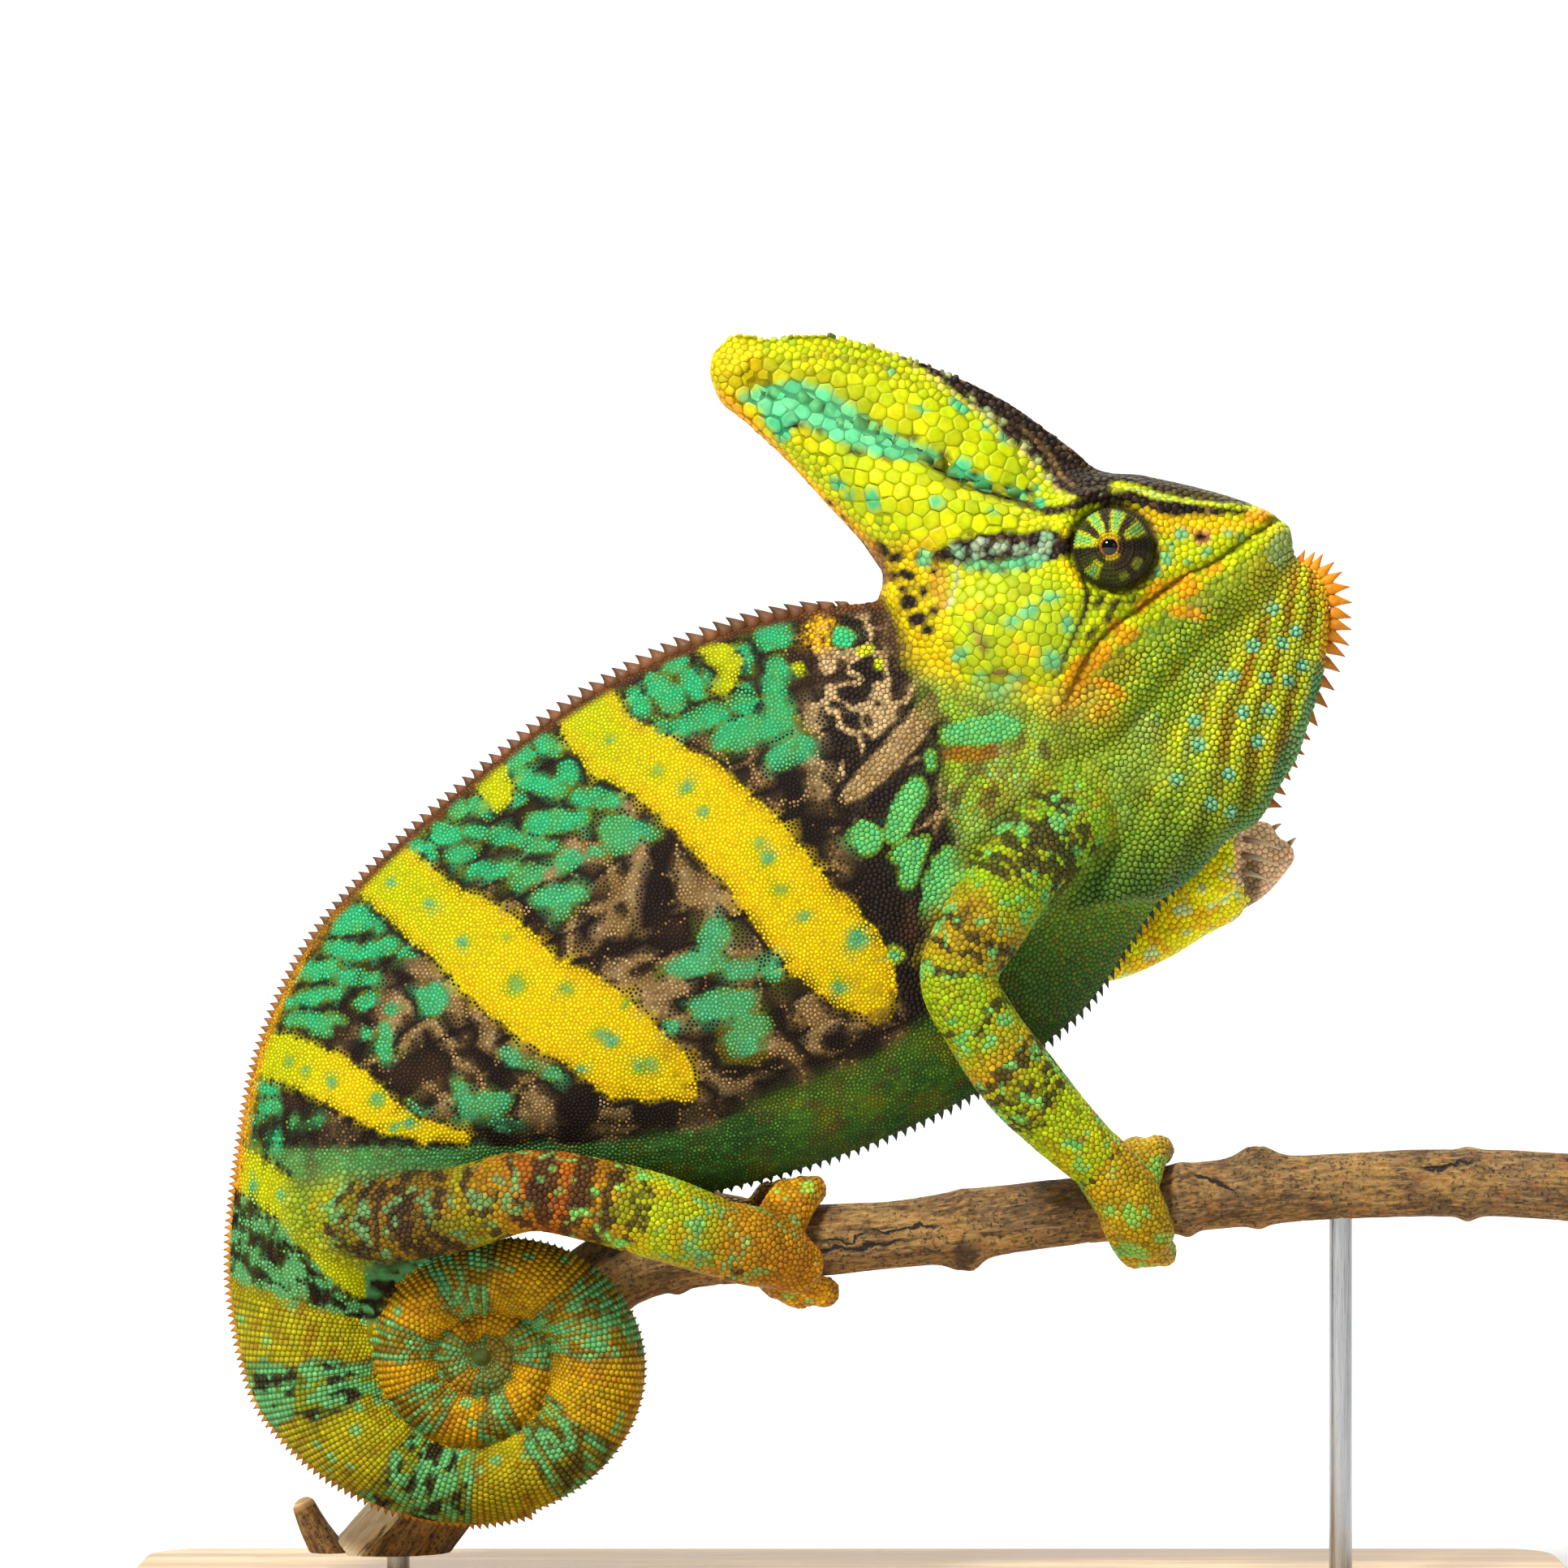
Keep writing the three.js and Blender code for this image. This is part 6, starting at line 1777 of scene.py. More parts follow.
def limb_colors(spots, tags):
    grain = speckle(spots, 9)
    paws = is_part(tags, "hand", "foot")
    color = flat(ORANGE, spots)
    bars = np.zeros(len(spots))
    place = tags[:, 1] + 0.25 * layered(spots, 5, 261)
    for name, mask in (("leg", is_part(tags, "leg")), ("arm", is_part(tags, "arm"))):
        stops = np.array([stop for stop, _ in LIMB_BASES[name]])
        paints = np.array([paint for _, paint in LIMB_BASES[name]])
        color[mask] = np.stack([np.interp(place[mask], stops, paints[:, k]) for k in range(3)], 1)
        for middle, half in LIMB_BARS[name]:
            bars[mask] = np.maximum(bars[mask], step(np.abs(place[mask] - middle), half * 1.4, half * 0.7))
    # the ground of the limbs, their net, their flecks and their bars
    close = 1 - np.clip(np.abs(layered(spots, 4, 265)) * 1.4, 0, 1)
    color = mixed(color, GOLD, patchy(spots, 3, 267, -0.1, 0.4) * 0.5)
    color = mixed(color, HONEY, step(grain, 0.4, 0.2) * 0.5)
    veins = layered(spots, 1.5, 269, 2)
    net = step(np.abs(veins), 0.12, 0.05) * patchy(spots, 7, 270, -0.4, 0.2)
    color = mixed(color, mixed(RUST, BROWN, grain), net * 0.75)
    flecks = layered(spots, 1.9, 271, 2) + 0.35 * layered(spots, 9, 272) + 0.12 * bars
    pale = mixed(TEAL, MINT, step(grain, 0.3, 0.7) * 0.6)
    color = mixed(color, pale, step(flecks, 0.34, 0.4) * 0.85)
    ragged = step(bars * (0.6 + 0.4 * close) + 0.75 * layered(spots, 1.7, 274, 2), 0.35, 0.6)
    color = mixed(color, mixed(BLACK_BROWN, BROWN, grain * 0.8), ragged * step(flecks, 0.42, 0.36) * 0.9)
    # the hands and feet
    toes = mixed(GOLD, DEEP_YELLOW, patchy(spots, 2.5, 273, -0.2, 0.5) * 0.6)
    toes = mixed(toes, HONEY, patchy(spots, 4, 275, 0, 0.5) * 0.6)
    toes = mixed(toes, RUST, step(grain, 0.55, 0.8) * 0.6)
    toes = mixed(toes, DEEP_YELLOW, step(grain, 0.3, 0.1) * 0.7)
    toes = mixed(toes, mixed(PALE_TEAL, SPRING, grain), step(layered(spots, 2.6, 277, 2), 0.24, 0.32) * 0.9)
    color = mixed(color, toes, paws.astype(float))
    for name, words in (("leg", ("leg", "foot_right", "foot_left")), ("arm", ("arm", "hand_right"))):
        mask = is_part(tags, *words)
        stops, tones = zip(*LIMB_TONES[name])
        color[mask] *= np.stack([np.interp(tags[mask, 1], stops, [tone[k] for tone in tones])
                                 for k in range(3)], 1)
    # the inner sides, the raised arm, brightened as painted light, and its palm with a painted shadow behind
    # the claws
    inner = step(np.abs(spots[:, 1]), 9, 5) * ~paws * is_part(tags, "leg")
    color = mixed(color, MOSS, inner * 0.6)
    raised = is_part(tags, "hand_left", "arm_left")
    raised_yellow_and_painted_light = mixed(YELLOW, LIME, step(spots[:, 0] + 4 * layered(spots, 4, 278), 62, 50) * 0.6)
    raised_yellow_and_painted_light = mixed(raised_yellow_and_painted_light, DEEP_YELLOW, patchy(spots, 3.5, 280, 0, 0.3) * 0.8)
    raised_yellow_and_painted_light = mixed(raised_yellow_and_painted_light, ORANGE, patchy(spots, 2.2, 284, 0.2, 0.5) * 0.6)
    raised_yellow_and_painted_light = mixed(raised_yellow_and_painted_light, MINT, step(layered(spots, 2.1, 282, 2), 0.26, 0.34) * 0.8)
    # the raised arm's own yellow, brightened by 1.35 as painted light
    color = mixed(color, np.minimum(raised_yellow_and_painted_light * 1.35, 1), raised * 0.95)
    pad_side = spots[:, 0] - 66.6 - 0.6 * np.maximum(132 - spots[:, 2], 0) + 0.8 * layered(spots, 2, 288)
    sole = is_part(tags, "hand_left") * step(pad_side, -0.4, 0.4)
    # painted shadow on the palm behind the claws
    palm = step(np.hypot((spots[:, 0] - 69.6) / 2.6, (spots[:, 2] - 132.5) / 6.5), 1.15, 0.6)
    skin_folds = mixed(SOLE, TAN, patchy(spots, 1.4, 289, 0, 0.6) * 0.4)
    return mixed(color, mixed(skin_folds, BROWN, palm * 0.75), sole * 0.95)


def turns_at(spots, tags):
    """How many turns of the coil lie behind each spot of the tail. It is below 0 before the coil."""
    side_view = spots[:, [0, 2]] - COIL_MIDDLE
    turn = np.arctan2(side_view[:, 1], side_view[:, 0]) / (2 * math.pi) + 0.5
    rough_turns = np.where(is_part(tags, "coil"), tags[:, 1], 0.12)
    return turn + np.round(rough_turns - turn), np.hypot(*side_view.T)


def tail_colors(spots, tags):
    turns, reach = turns_at(spots, tags)
    grain = speckle(spots, 10)
    wobble = 0.014 * layered(spots, 4, 281) * (28 / np.maximum(reach, 8)) ** 0.5
    ring = np.searchsorted(TAIL_RINGS, turns + wobble)
    teal_ring = (ring % 2 == 1) | (turns < -0.047)
    drawn_out = np.column_stack([turns * 2 * math.pi * 24, reach * 0.5, spots[:, 1] * 0.5])
    flecks = layered(drawn_out, 1.15, 285, 2) + 0.12 * layered(spots, 6, 284)
    early = step(turns, 0.55, 0.2)
    ground = mixed(HONEY, RUST, step(grain, 0.4, 0.7) * 0.5)
    ground = mixed(ground, LEAF, early * 0.5)
    shade = step(layered(drawn_out + 50, 1.6, 287, 2), -0.15, 0.1) * (0.35 + 0.6 * early)
    ground = mixed(ground, BLACK_BROWN, shade)
    teal = mixed(ground, mixed(TEAL, MINT, 0.4 * grain), step(flecks, -0.04, 0.04) * 0.95)
    # the tail's root has slanting dashes in place of rings
    slanted = spots @ np.array([[0.36, 0.42, 0], [0, 0, 0.3], [-0.17, 0.91, 0]])
    dashes = layered(slanted, 1.15, 286, 2) + 0.15 * (grain - 0.5)
    rear = mixed(BLACK_BROWN, BROWN, patchy(spots, 2, 288, -0.1, 0.5) * 0.7)
    rear = mixed(rear, MOSS, step(np.abs(dashes - 0.03), 0.12, 0.04) * 0.7)
    rear = mixed(rear, mixed(TEAL, PALE_TEAL, grain), step(dashes, 0.02, 0.1))
    teal = np.where((turns < -0.047)[:, None], rear, teal)
    # the yellow rings
    gold = mixed(pigment(226, 170, 8), ORANGE, patchy(spots, 3.5, 291, 0, 0.7) * 0.5)
    gold = mixed(gold, mixed(HONEY, LIME, 0.5), early * 0.85)
    gold = mixed(gold, OLIVE, patchy(spots, 3, 292, -0.1, 0.4) * 0.4)
    gold = mixed(gold, RUST, step(flecks, 0.1, 0.4) * 0.5 + step(turns, 1.1, 2.2) * 0.3)
    gold = mixed(gold, mixed(PALE_TEAL, GRASS, 0.4),
                 step(dots(spots, 5.2, 293), 1.3, 0.9) * step(turns, 1.7, 1.2))
    color = np.where(teal_ring[:, None], teal, gold)
    edges = np.abs(np.asarray(TAIL_RINGS)[None]
                   - (turns + wobble)[:, None]).min(1) * 2 * math.pi * np.maximum(reach, 8)
    color = mixed(color, BROWN, step(edges, 0.9, 0.2) * 0.4)
    color = mixed(color, mixed(LEAF, ASH, grain * 0.4), step(turns, 1.9, 2.6) * 0.45)
    return mixed(color, BROWN, step(turns, 1.5, 2.7) * 0.45) * (0.8, 0.84, 0.6)


TAIL_LINE = [(-110, 84.6), (-106.5, 84.3), (-101, 81.6), (-96.5, 78), (-92, 73.6), (-88, 69), (-84.5, 65),
             (-76, 60)]


def markings_at(spots, tags):
    """The colour of the animal at many spots, in linear values."""
    painters = [
        (is_part(tags, "body"), trunk_colors),
        (is_part(tags, "head", "casque"), head_colors),
        (is_part(tags, "throat"), throat_colors),
        (is_part(tags, "arm", "leg", "hand", "foot"), limb_colors),
        (is_part(tags, "coil"), tail_colors),
    ]
    color = np.zeros((len(spots), 3))
    for mask, paint in painters:
        if mask.any():
            color[mask] = paint(spots[mask], tags[mask])
    edge, _ = band_distance(spots[:, [0, 2]], BANDS[3])
    below = above_line(spots[:, 0], spots[:, 2], TAIL_LINE) < 0
    tail = is_part(tags, "body") & below & (edge > 0.1) & (spots[:, 0] < -68) & (tags[:, 1] > 9)
    tail |= is_part(tags, "body") & (tags[:, 1] > BODY_LAST - 5.2)
    color[tail] = tail_colors(spots[tail], tags[tail])
    if tags.shape[1] > 3:
        blend = step(tags[:, 6] + 0.3 * (speckle(spots, 16) - 0.5), 0.25, 0.75)
        color = mixed(color, tags[:, 3:6], blend)
    return np.clip(color, 0, 1)


# %% Blend the markings where parts meet
PAINTED_AS = [0, 1, 2, 2, 3] + [4] * 8  # the parts in their order: body, coil, head twice, throat and limbs


def border_blend(rounds):
    """Blurred colours for the skin near the borders of parts, and how much they count there."""
    group = np.array(PAINTED_AS)[tags[:, 0].astype(int)]
    a, b = edges.T
    meets = (group[a] != group[b]) & ~((group[a] <= 1) & (group[b] <= 1))
    weight = np.zeros(len(points))
    weight[edges[meets].ravel()] = 1
    weight = np.clip(smoothed(weight[:, None], edges, rounds=rounds, there=1)[:, 0] * 3, 0, 1)
    near = smoothed((weight > 0.02).astype(float)[:, None], edges, rounds=3, there=1)[:, 0] > 0
    colors = np.zeros((len(points), 3))
    colors[near] = markings_at(points[near], tags[near])
    blurred = smoothed(colors, edges, rounds=rounds, there=0.8)
    return np.column_stack([blurred, weight])


tags = np.column_stack([tags, border_blend(12)])
_, _, root_tags, _ = on_skin(roots)
root_colors = markings_at(roots, root_tags)
print("mean colour of the scales", np.round(root_colors.mean(0), 3))

# %% [markdown]
# ## The skin under the scales
#
# The dense skin has done its work as the ground for the roots. The one that stays is thinned
# out, unwrapped and painted with the same markings, darker, as painted shade, since it shows
# only in the cracks between the scales. The unwrap also gives each scale its place on the map.

# %% Thin out, unwrap and paint the skin
KEPT_SHARE = 0.44  # of the dense skin's faces
# painted shade: the skin between the scales takes its markings at this share of their brightness
CRACK_SHADE = 0.5
UNWRAP_ANGLE = 66  # degrees


def color_attribute(mesh, colors):
    attribute = mesh.color_attributes.get("marking") or mesh.color_attributes.new("marking", "FLOAT_COLOR",
                                                                                  "POINT")
    values = np.column_stack([colors, np.ones(len(colors))]).astype(np.float32)
    attribute.data.foreach_set("color", values.ravel())


def loop_vertices(mesh):
    index = np.empty(len(mesh.loops), np.int32)
    mesh.loops.foreach_get("vertex_index", index)
    return index


def set_uv(mesh, loop_uv):
    layer = mesh.uv_layers.get("OFBake") or mesh.uv_layers.new(name="OFBake")
    layer.data.foreach_set("uv", loop_uv.astype(np.float32).ravel())


decimate = skin.modifiers.new("fewer_faces", "DECIMATE")
decimate.ratio = KEPT_SHARE
skin.modifiers.new("triangles", "TRIANGULATE")
applied(skin)
skin_points = points_of(skin.data)
_, _, skin_tags, _ = on_skin(skin_points)
color_attribute(skin.data, markings_at(skin_points, skin_tags) * CRACK_SHADE)
print(f"the skin has {len(skin.data.polygons)} triangles")

bpy.ops.object.select_all(action="DESELECT")
bpy.context.view_layer.objects.active = skin
skin.select_set(True)
skin.data.uv_layers.new(name="OFBake")
bpy.ops.object.mode_set(mode="EDIT")
bpy.ops.mesh.select_all(action="SELECT")
bpy.ops.uv.smart_project(angle_limit=math.radians(UNWRAP_ANGLE), island_margin=0.002)
bpy.ops.object.mode_set(mode="OBJECT")
skin_uv = np.empty(len(skin.data.loops) * 2, np.float32)
skin.data.uv_layers["OFBake"].data.foreach_get("uv", skin_uv)
skin_uv = skin_uv.reshape(-1, 3, 2)
skin_triangles = loop_vertices(skin.data).reshape(-1, 3)
map_tree = BVHTree.FromPolygons([Vector(p) for p in skin_points], skin_triangles.tolist())


def uv_at(spots):
    """Where each spot lies on the skin's unwrap."""
    hits = [map_tree.find_nearest(spot) for spot in spots]
    places = np.array([hit[0] for hit in hits])
    faces = np.array([hit[2] for hit in hits])
    a, b, c = (skin_points[skin_triangles[faces, k]] for k in range(3))
    across, up, reach = b - a, c - a, places - a
    d00, d01, d11 = (across**2).sum(1), (across * up).sum(1), (up**2).sum(1)
    d20, d21 = (reach * across).sum(1), (reach * up).sum(1)
    area = np.maximum(d00 * d11 - d01 * d01, 1e-12)
    v, w = (d11 * d20 - d01 * d21) / area, (d00 * d21 - d01 * d20) / area
    weights = np.clip(np.stack([1 - v - w, v, w], 1), 0, 1)
    return (skin_uv[faces] * weights[..., None]).sum(1)


root_uv = uv_at(roots)
print("the scales lie on the map from", np.round(root_uv.min(0), 3), "to", np.round(root_uv.max(0), 3))

# %% [markdown]
# ## The coat of scales
#
# Each scale is a small closed block. Its base follows the borders of its cell, a little under
# the skin, and one or two smaller rings lead up to its top. The kinds differ in height and in how
# far their outlines are rounded. All scales of a region are written into one mesh at once, as
# arrays. Each scale takes its colour at its root, with painted shade on its foot and sides and a
# painted highlight on its top, so the cracks between scales read as fine dark lines.

# %% How each kind of scale is shaped
# the brightness of the foot is painted shade in the cracks between the scales
SHAPES = {  # rings as (share of the cell, mm), height of the middle, roundness, brightness of the foot
    "flank": ([(0.99, -0.08)], 0.13, 0.15, 0.72),
    "neck": ([(0.98, -0.12), (0.8, 0.11)], 0.18, 0.25, 0.5),
    "bead": ([(0.94, -0.16), (0.74, 0.26)], 0.4, 0.7, 0.4),
    "limb": ([(0.98, -0.16), (0.82, 0.12)], 0.18, 0.25, 0.48),
    "head": ([(0.99, -0.08), (0.9, 0.06)], 0.09, 0.15, 0.72),
    "cheek": ([(0.99, -0.06), (0.94, 0.05), (0.5, 0.09)], 0.1, 0.12, 0.76),
    "plate": ([(0.995, -0.04), (0.97, 0.03), (0.6, 0.06)], 0.06, 0.08, 0.84),
    "tail": ([(0.97, -0.16), (0.84, 0.12)], 0.18, 0.12, 0.32),
    "raised": ([(0.94, -0.16), (0.78, 0.5)], 0.95, 0.85, 0.4),
}
shape_names = list(SHAPES)
root_shape = np.array([shape_names.index(name) if name in SHAPES else 0 for name in KINDS])[root_kind]
root_shape[fixed] = shape_names.index("tail")
throat_root = is_part(root_tags, "throat")
for bead in BEADS:
    away = side_distance(roots, *bead) + FAR * ~throat_root
    for side in (RIGHT, LEFT):
        root_shape[np.argmin(away + FAR * (roots[:, 1] * side < 0))] = shape_names.index("raised")

side_view = roots[:, [0, 2]]
from_eye = side_distance(roots, EYE["x"], EYE["z"])
from_nostril = side_distance(roots, *NOSTRIL)
on_head = is_part(root_tags, "head", "casque")
on_mouth = near_line(side_view, MOUTH, 2, lambda d: np.where(d < 0.5, 1.0, 0.0)) > 0
bare = on_head & ((from_eye < 7.5) | (from_nostril < 0.95) | on_mouth)
grown = ~bare & (corner_counts > 3)
print(f"{int(grown.sum())} scales grow, {int((~grown).sum())} roots stay bare")

# %% Build the scales
chance = np.random.default_rng(12)
vary = chance.uniform(0.85, 1.15, len(roots))
tint = chance.normal(0, 1, (len(roots), 2))
scale_colors = root_colors * (1 + 0.13 * tint[:, :1] + [0.05, 0, -0.05] * tint[:, 1:])
# painted shade on the sides of each scale and a painted highlight on its top
SIDE_SHADE, TOP_HIGHLIGHT = 0.94, 1.03
# the painted shade in the cracks is tinted browner than the scales
FOOT_SHADE_TINT = np.array([1.06, 0.94, 0.8])  # the cracks are browner than the scales
OWN_SHARE = 0.75  # how much of a larger scale's colour changes within it
PATCH = 0.0015  # half the width of a scale's patch on the map


def scale_block(chosen, count, shape_index):
    """Points, faces, colours and map places of the chosen scales, which all have count corners."""
    rings, top, roundness, foot = SHAPES[shape_names[shape_index]]
    corners = cells[chosen, :count]
    middle = corners.mean(1)
    local = corners - middle[:, None]
    size = np.linalg.norm(local, axis=2, keepdims=True)
    circle = local / np.maximum(size, 1e-6) * size.mean(1, keepdims=True)
    f, s, n, root = first[chosen, None], second[chosen, None], root_normals[chosen, None], roots[chosen, None]
    blocks, shades, spread = [], [], []
    for level, (share, height) in enumerate(rings):
        blend = roundness if level else roundness * 0.35
        outline = middle[:, None] + share * (local + blend * (circle - local))
        lift = height * (vary[chosen, None, None] if level else 1)
        level_place = root + f * outline[..., :1] + s * outline[..., 1:]
        place = level_place + n * lift
        if level == 0 and shape_index != 0:  # the base of a larger scale follows the bent skin
            level_place = level_place.reshape(-1, 3)
            hits = [surface.find_nearest(spot, 1.5) for spot in level_place]
            base = np.array([hit[0] if hit[0] else spot for hit, spot in zip(hits, level_place)])
            place = base.reshape(place.shape) + n * height
        blocks.append(place)
        shades.append(np.full(place.shape[:2], foot if level == 0 else SIDE_SHADE))
        spread.append(outline)
    blocks.append(root + f * middle[:, None, :1] + s * middle[:, None, 1:] + n * top
                  * vary[chosen, None, None])
    shades.append(np.full((len(chosen), 1), TOP_HIGHLIGHT))
    spread.append(middle[:, None])
    points = np.concatenate(blocks, 1)
    shade = np.concatenate(shades, 1)
    spread = np.concatenate(spread, 1)
    per_scale = points.shape[1]
    color = np.repeat(scale_colors[chosen, None], per_scale, axis=1)
    if len(rings) > 1:  # larger scales take the marking at each of their upper points
        upper = points[:, count:].reshape(-1, 3)
        own = markings_at(upper, np.repeat(root_tags[chosen], per_scale - count, axis=0)).reshape(len(chosen),
                                                                                                  -1, 3)
        own *= (scale_colors[chosen] / np.maximum(root_colors[chosen], 1e-3))[:, None].clip(0.6, 1.6)
        color[:, count:] += OWN_SHARE * (own - color[:, count:])
        color[:, :count] = color[:, count:2 * count]
    # painted shade on each scale's foot and sides, and a painted highlight on its top
    color = color * shade[..., None]
    color[:, :count] *= FOOT_SHADE_TINT
    color = np.clip(color, 0, 1)
    reach = np.abs(spread).max((1, 2), keepdims=True)
    uv = np.clip(root_uv[chosen, None], 0.002, 0.998) + spread / reach * PATCH
    k = np.arange(count)
    after = (k + 1) % count
    quads = [np.stack([k + r * count, after + r * count, after + (r + 1) * count, k + (r + 1) * count], 1)
             for r in range(len(rings) - 1)]
    last = (len(rings) - 1) * count
    fan = np.stack([last + k, last + after, np.full(count, per_scale - 1)], 1)
    base = (np.arange(len(chosen)) * per_scale)[:, None, None]
    faces = [(fan[None] + base).reshape(-1, 3), (k[::-1][None, None] + base).reshape(-1, count)]
    if quads:
        faces.append((np.vstack(quads)[None] + base).reshape(-1, 4))
    return points.reshape(-1, 3), faces, color.reshape(-1, 3), uv.reshape(-1, 2)


def scale_mesh(name, mask):
    all_points, all_faces, all_colors, all_uv, count = [], [], [], [], 0
    for shape_index in range(len(shape_names)):
        for corner_count in range(4, MOST_CORNERS + 1):
            chosen = np.nonzero(mask & (root_shape == shape_index) & (corner_counts == corner_count))[0]
            if len(chosen):
                points, faces, colors, uv = scale_block(chosen, corner_count, shape_index)
                all_points.append(points)
                all_faces += [block + count for block in faces]
                all_colors.append(colors)
                all_uv.append(uv)
                count += len(points)
    mesh = mesh_from(name, np.vstack(all_points), all_faces)
    color_attribute(mesh, np.vstack(all_colors))
    set_uv(mesh, np.vstack(all_uv)[loop_vertices(mesh)])
    return mesh


def region_of(tags, spots):
    """The name of the coat piece that each scale belongs to."""
    side = np.where(spots[:, 1] > 0, "left", "right")
    zone = np.where(spots[:, 0] < -58, "rear", np.where(spots[:, 0] < -18, "middle", "front"))
    names = np.char.add(np.char.add(np.char.add("scales_trunk_", side), "_"), zone)
    tail = is_part(tags, "coil") | (is_part(tags, "body") & (tags[:, 1] > TAIL_FROM))
    names = np.where(tail, np.char.add("scales_tail_", side), names)
    for part in ("head", "casque", "throat"):
        names = np.where(is_part(tags, part), "scales_" + part, names)
    for limb, paw in (("arm", "hand"), ("leg", "foot")):
        for end in ("right", "left"):
            names = np.where(is_part(tags, f"{limb}_{end}", f"{paw}_{end}"), f"scales_{limb}_{end}", names)
    return names


def triangles_in(mesh):
    totals = np.empty(len(mesh.polygons), np.int32)
    mesh.polygons.foreach_get("loop_total", totals)
    return int((totals - 2).sum())


regions = region_of(root_tags, roots)
scale_pieces = {}
for name in sorted(set(regions[grown])):
    piece = add_object(name, scale_mesh(name, grown & (regions == name)))
    scale_pieces[name] = piece
    print(f"{name}: {triangles_in(piece.data)} triangles")

# %% [markdown]
# ## Eyes and lids
#
# A chameleon's eye is a ball that the lids cover almost whole. They are grown together into one
# scaly turret that turns with the eye and leaves a hole no wider than the pupil. The turret is
# turned on a lathe, with fine wrinkles round the hole. The hole lies a little ahead of or behind
# the middle of the turret, depending on where the eye looks. Small granules stand on the
# wrinkles, and the dark eyeball shines in the hole.

# %% Paint for the turrets
PUPIL = {"x": 43.3, "z": 190.6, "y": 16, "radius": 1.9}
RIM = 1.42  # radius of the hole
RIM_TURN = 12.2  # angle in degrees between the turret's axis and the hole
SOCKET_TURN, FRONT_TURN = 112, 76  # where the lid starts in the socket, and where its front begins
WRINKLE_STEP = 0.75  # mm from one wrinkle to the next
GRANULE_GAP = 0.6
# the patches are real; the lower brightness of those on the turret's lower front is painted shade
TURRET_PATCHES = [  # angle, half angle, from and to in mm from the pupil, brightness
    (164, 19, 1.9, 6, 1.0), (116, 14, 1.8, 6.5, 1.0), (74, 16, 1.8, 6.5, 0.95), (33, 16, 2.8, 6.8, 0.6),
    (237, 16, 2.8, 6, 0.65), (330, 13, 4.4, 6.4, 0.35), (298, 10, 4.6, 6.2, 0.3),
]


def turret_colors(spots):
    across, up = spots[:, 0] - PUPIL["x"], spots[:, 2] - PUPIL["z"]
    reach = np.hypot(across, up)
    angle = np.degrees(np.arctan2(up, across)) % 360
    grain = speckle(spots, 14)
    color = mixed(pigment(58, 44, 28), pigment(66, 78, 20), patchy(spots, 3, 311, -0.2, 0.5) * 0.8)
    # painted shade in the grooves between the wrinkles
    color = mixed(color, BLACK_BROWN, step(np.cos(reach * 2 * math.pi / WRINKLE_STEP), -0.3, -0.9) * 0.5)
    for middle, half, start, end, bright in TURRET_PATCHES:
        away = np.abs((angle - middle + 180) % 360 - 180) + 4 * layered(spots, 1.2, 313)
        inside = step(away, half, half * 0.6) * step(reach, start, start + 0.6) * step(reach, end + 0.3,
                                                                                       end - 0.5)
        core = step(away, half * 0.75, half * 0.2) * step(reach, start + 0.6, start + 1.8)
        green = mixed(pigment(206, 206, 12), pigment(124, 186, 92), core)
        color = mixed(color, green, inside * bright)
    warm = step(reach, 2.9, 1.8) * np.maximum(step(np.abs(angle - 105), 80, 50),
                                              step(np.abs(angle - 285), 45, 25) * 0.9)
    color = mixed(color, mixed(pigment(214, 158, 10), pigment(196, 196, 10), grain), warm * 0.9)
    bar = step(np.abs((angle - 4 + 180) % 360 - 180), 13, 8) * step(reach, 1.7, 2.2)
    bar = np.maximum(bar, step(np.abs(angle - 193), 12, 7) * step(reach, 1.6, 2) * step(reach, 6, 5) * 0.7)
    color = mixed(color, BLACK_BROWN, bar * 0.9)
    lip = mixed(pigment(226, 112, 30), pigment(240, 160, 40), grain)
    color = mixed(color, lip, step(reach, RIM + 0.22, RIM + 0.1))
    # painted shade on the inner side of the hole
    return mixed(color, BLACK_BROWN, step(reach, RIM - 0.12, RIM - 0.25))


# %% Turn the lids and lay granules on them
def turret_rings(side, around=144):
    """Rings of the lid from deep in the socket to the hole and down its inner side."""
    ball = EYE["radius"] - 0.15
    angles = np.radians(np.concatenate([np.linspace(SOCKET_TURN, FRONT_TURN, 14)[:-1],
                                        np.linspace(FRONT_TURN, RIM_TURN, 78)]))
    turn = 2 * math.pi * np.arange(around) / around
    rings = []
    for polar in angles:
        radius = ball * math.sin(polar)
        shift = (PUPIL["x"] - EYE["x"]) * float(step(math.degrees(polar), FRONT_TURN, RIM_TURN))
        x = shift + radius * np.cos(turn)
        z = radius * np.sin(turn)
        deep = np.full(around, ball * math.cos(polar))
        if polar < math.radians(FRONT_TURN):
            deep = np.sqrt(np.maximum(ball**2 - x**2 - z**2, 0))
        wrinkle = 1 + 0.011 * math.cos((radius - RIM) * 2 * math.pi
                                       / WRINKLE_STEP) * (polar < math.radians(88))
        rings.append(np.stack([x * wrinkle, side * deep * wrinkle, z * wrinkle], 1))
    rim = rings[-1]
    middle = np.array([PUPIL["x"] - EYE["x"], 0, 0])
    for share, deeper in ((0.98, -0.06), (0.95, 0.04), (0.93, 0.25), (0.92, 0.7), (0.92, 1.3)):
        ring = rim.copy()
        ring[:, [0, 2]] = middle[[0, 2]] + (rim[:, [0, 2]] - middle[[0, 2]]) * share
        ring[:, 1] -= side * deeper
        rings.append(ring)
    return np.array(rings) + (EYE["x"], side * EYE["y"], EYE["z"])


def open_loft(rings, flip):
    quads, _ = loft_faces(len(rings), rings.shape[1], 0)
    return quads[:, ::-1] if flip else quads


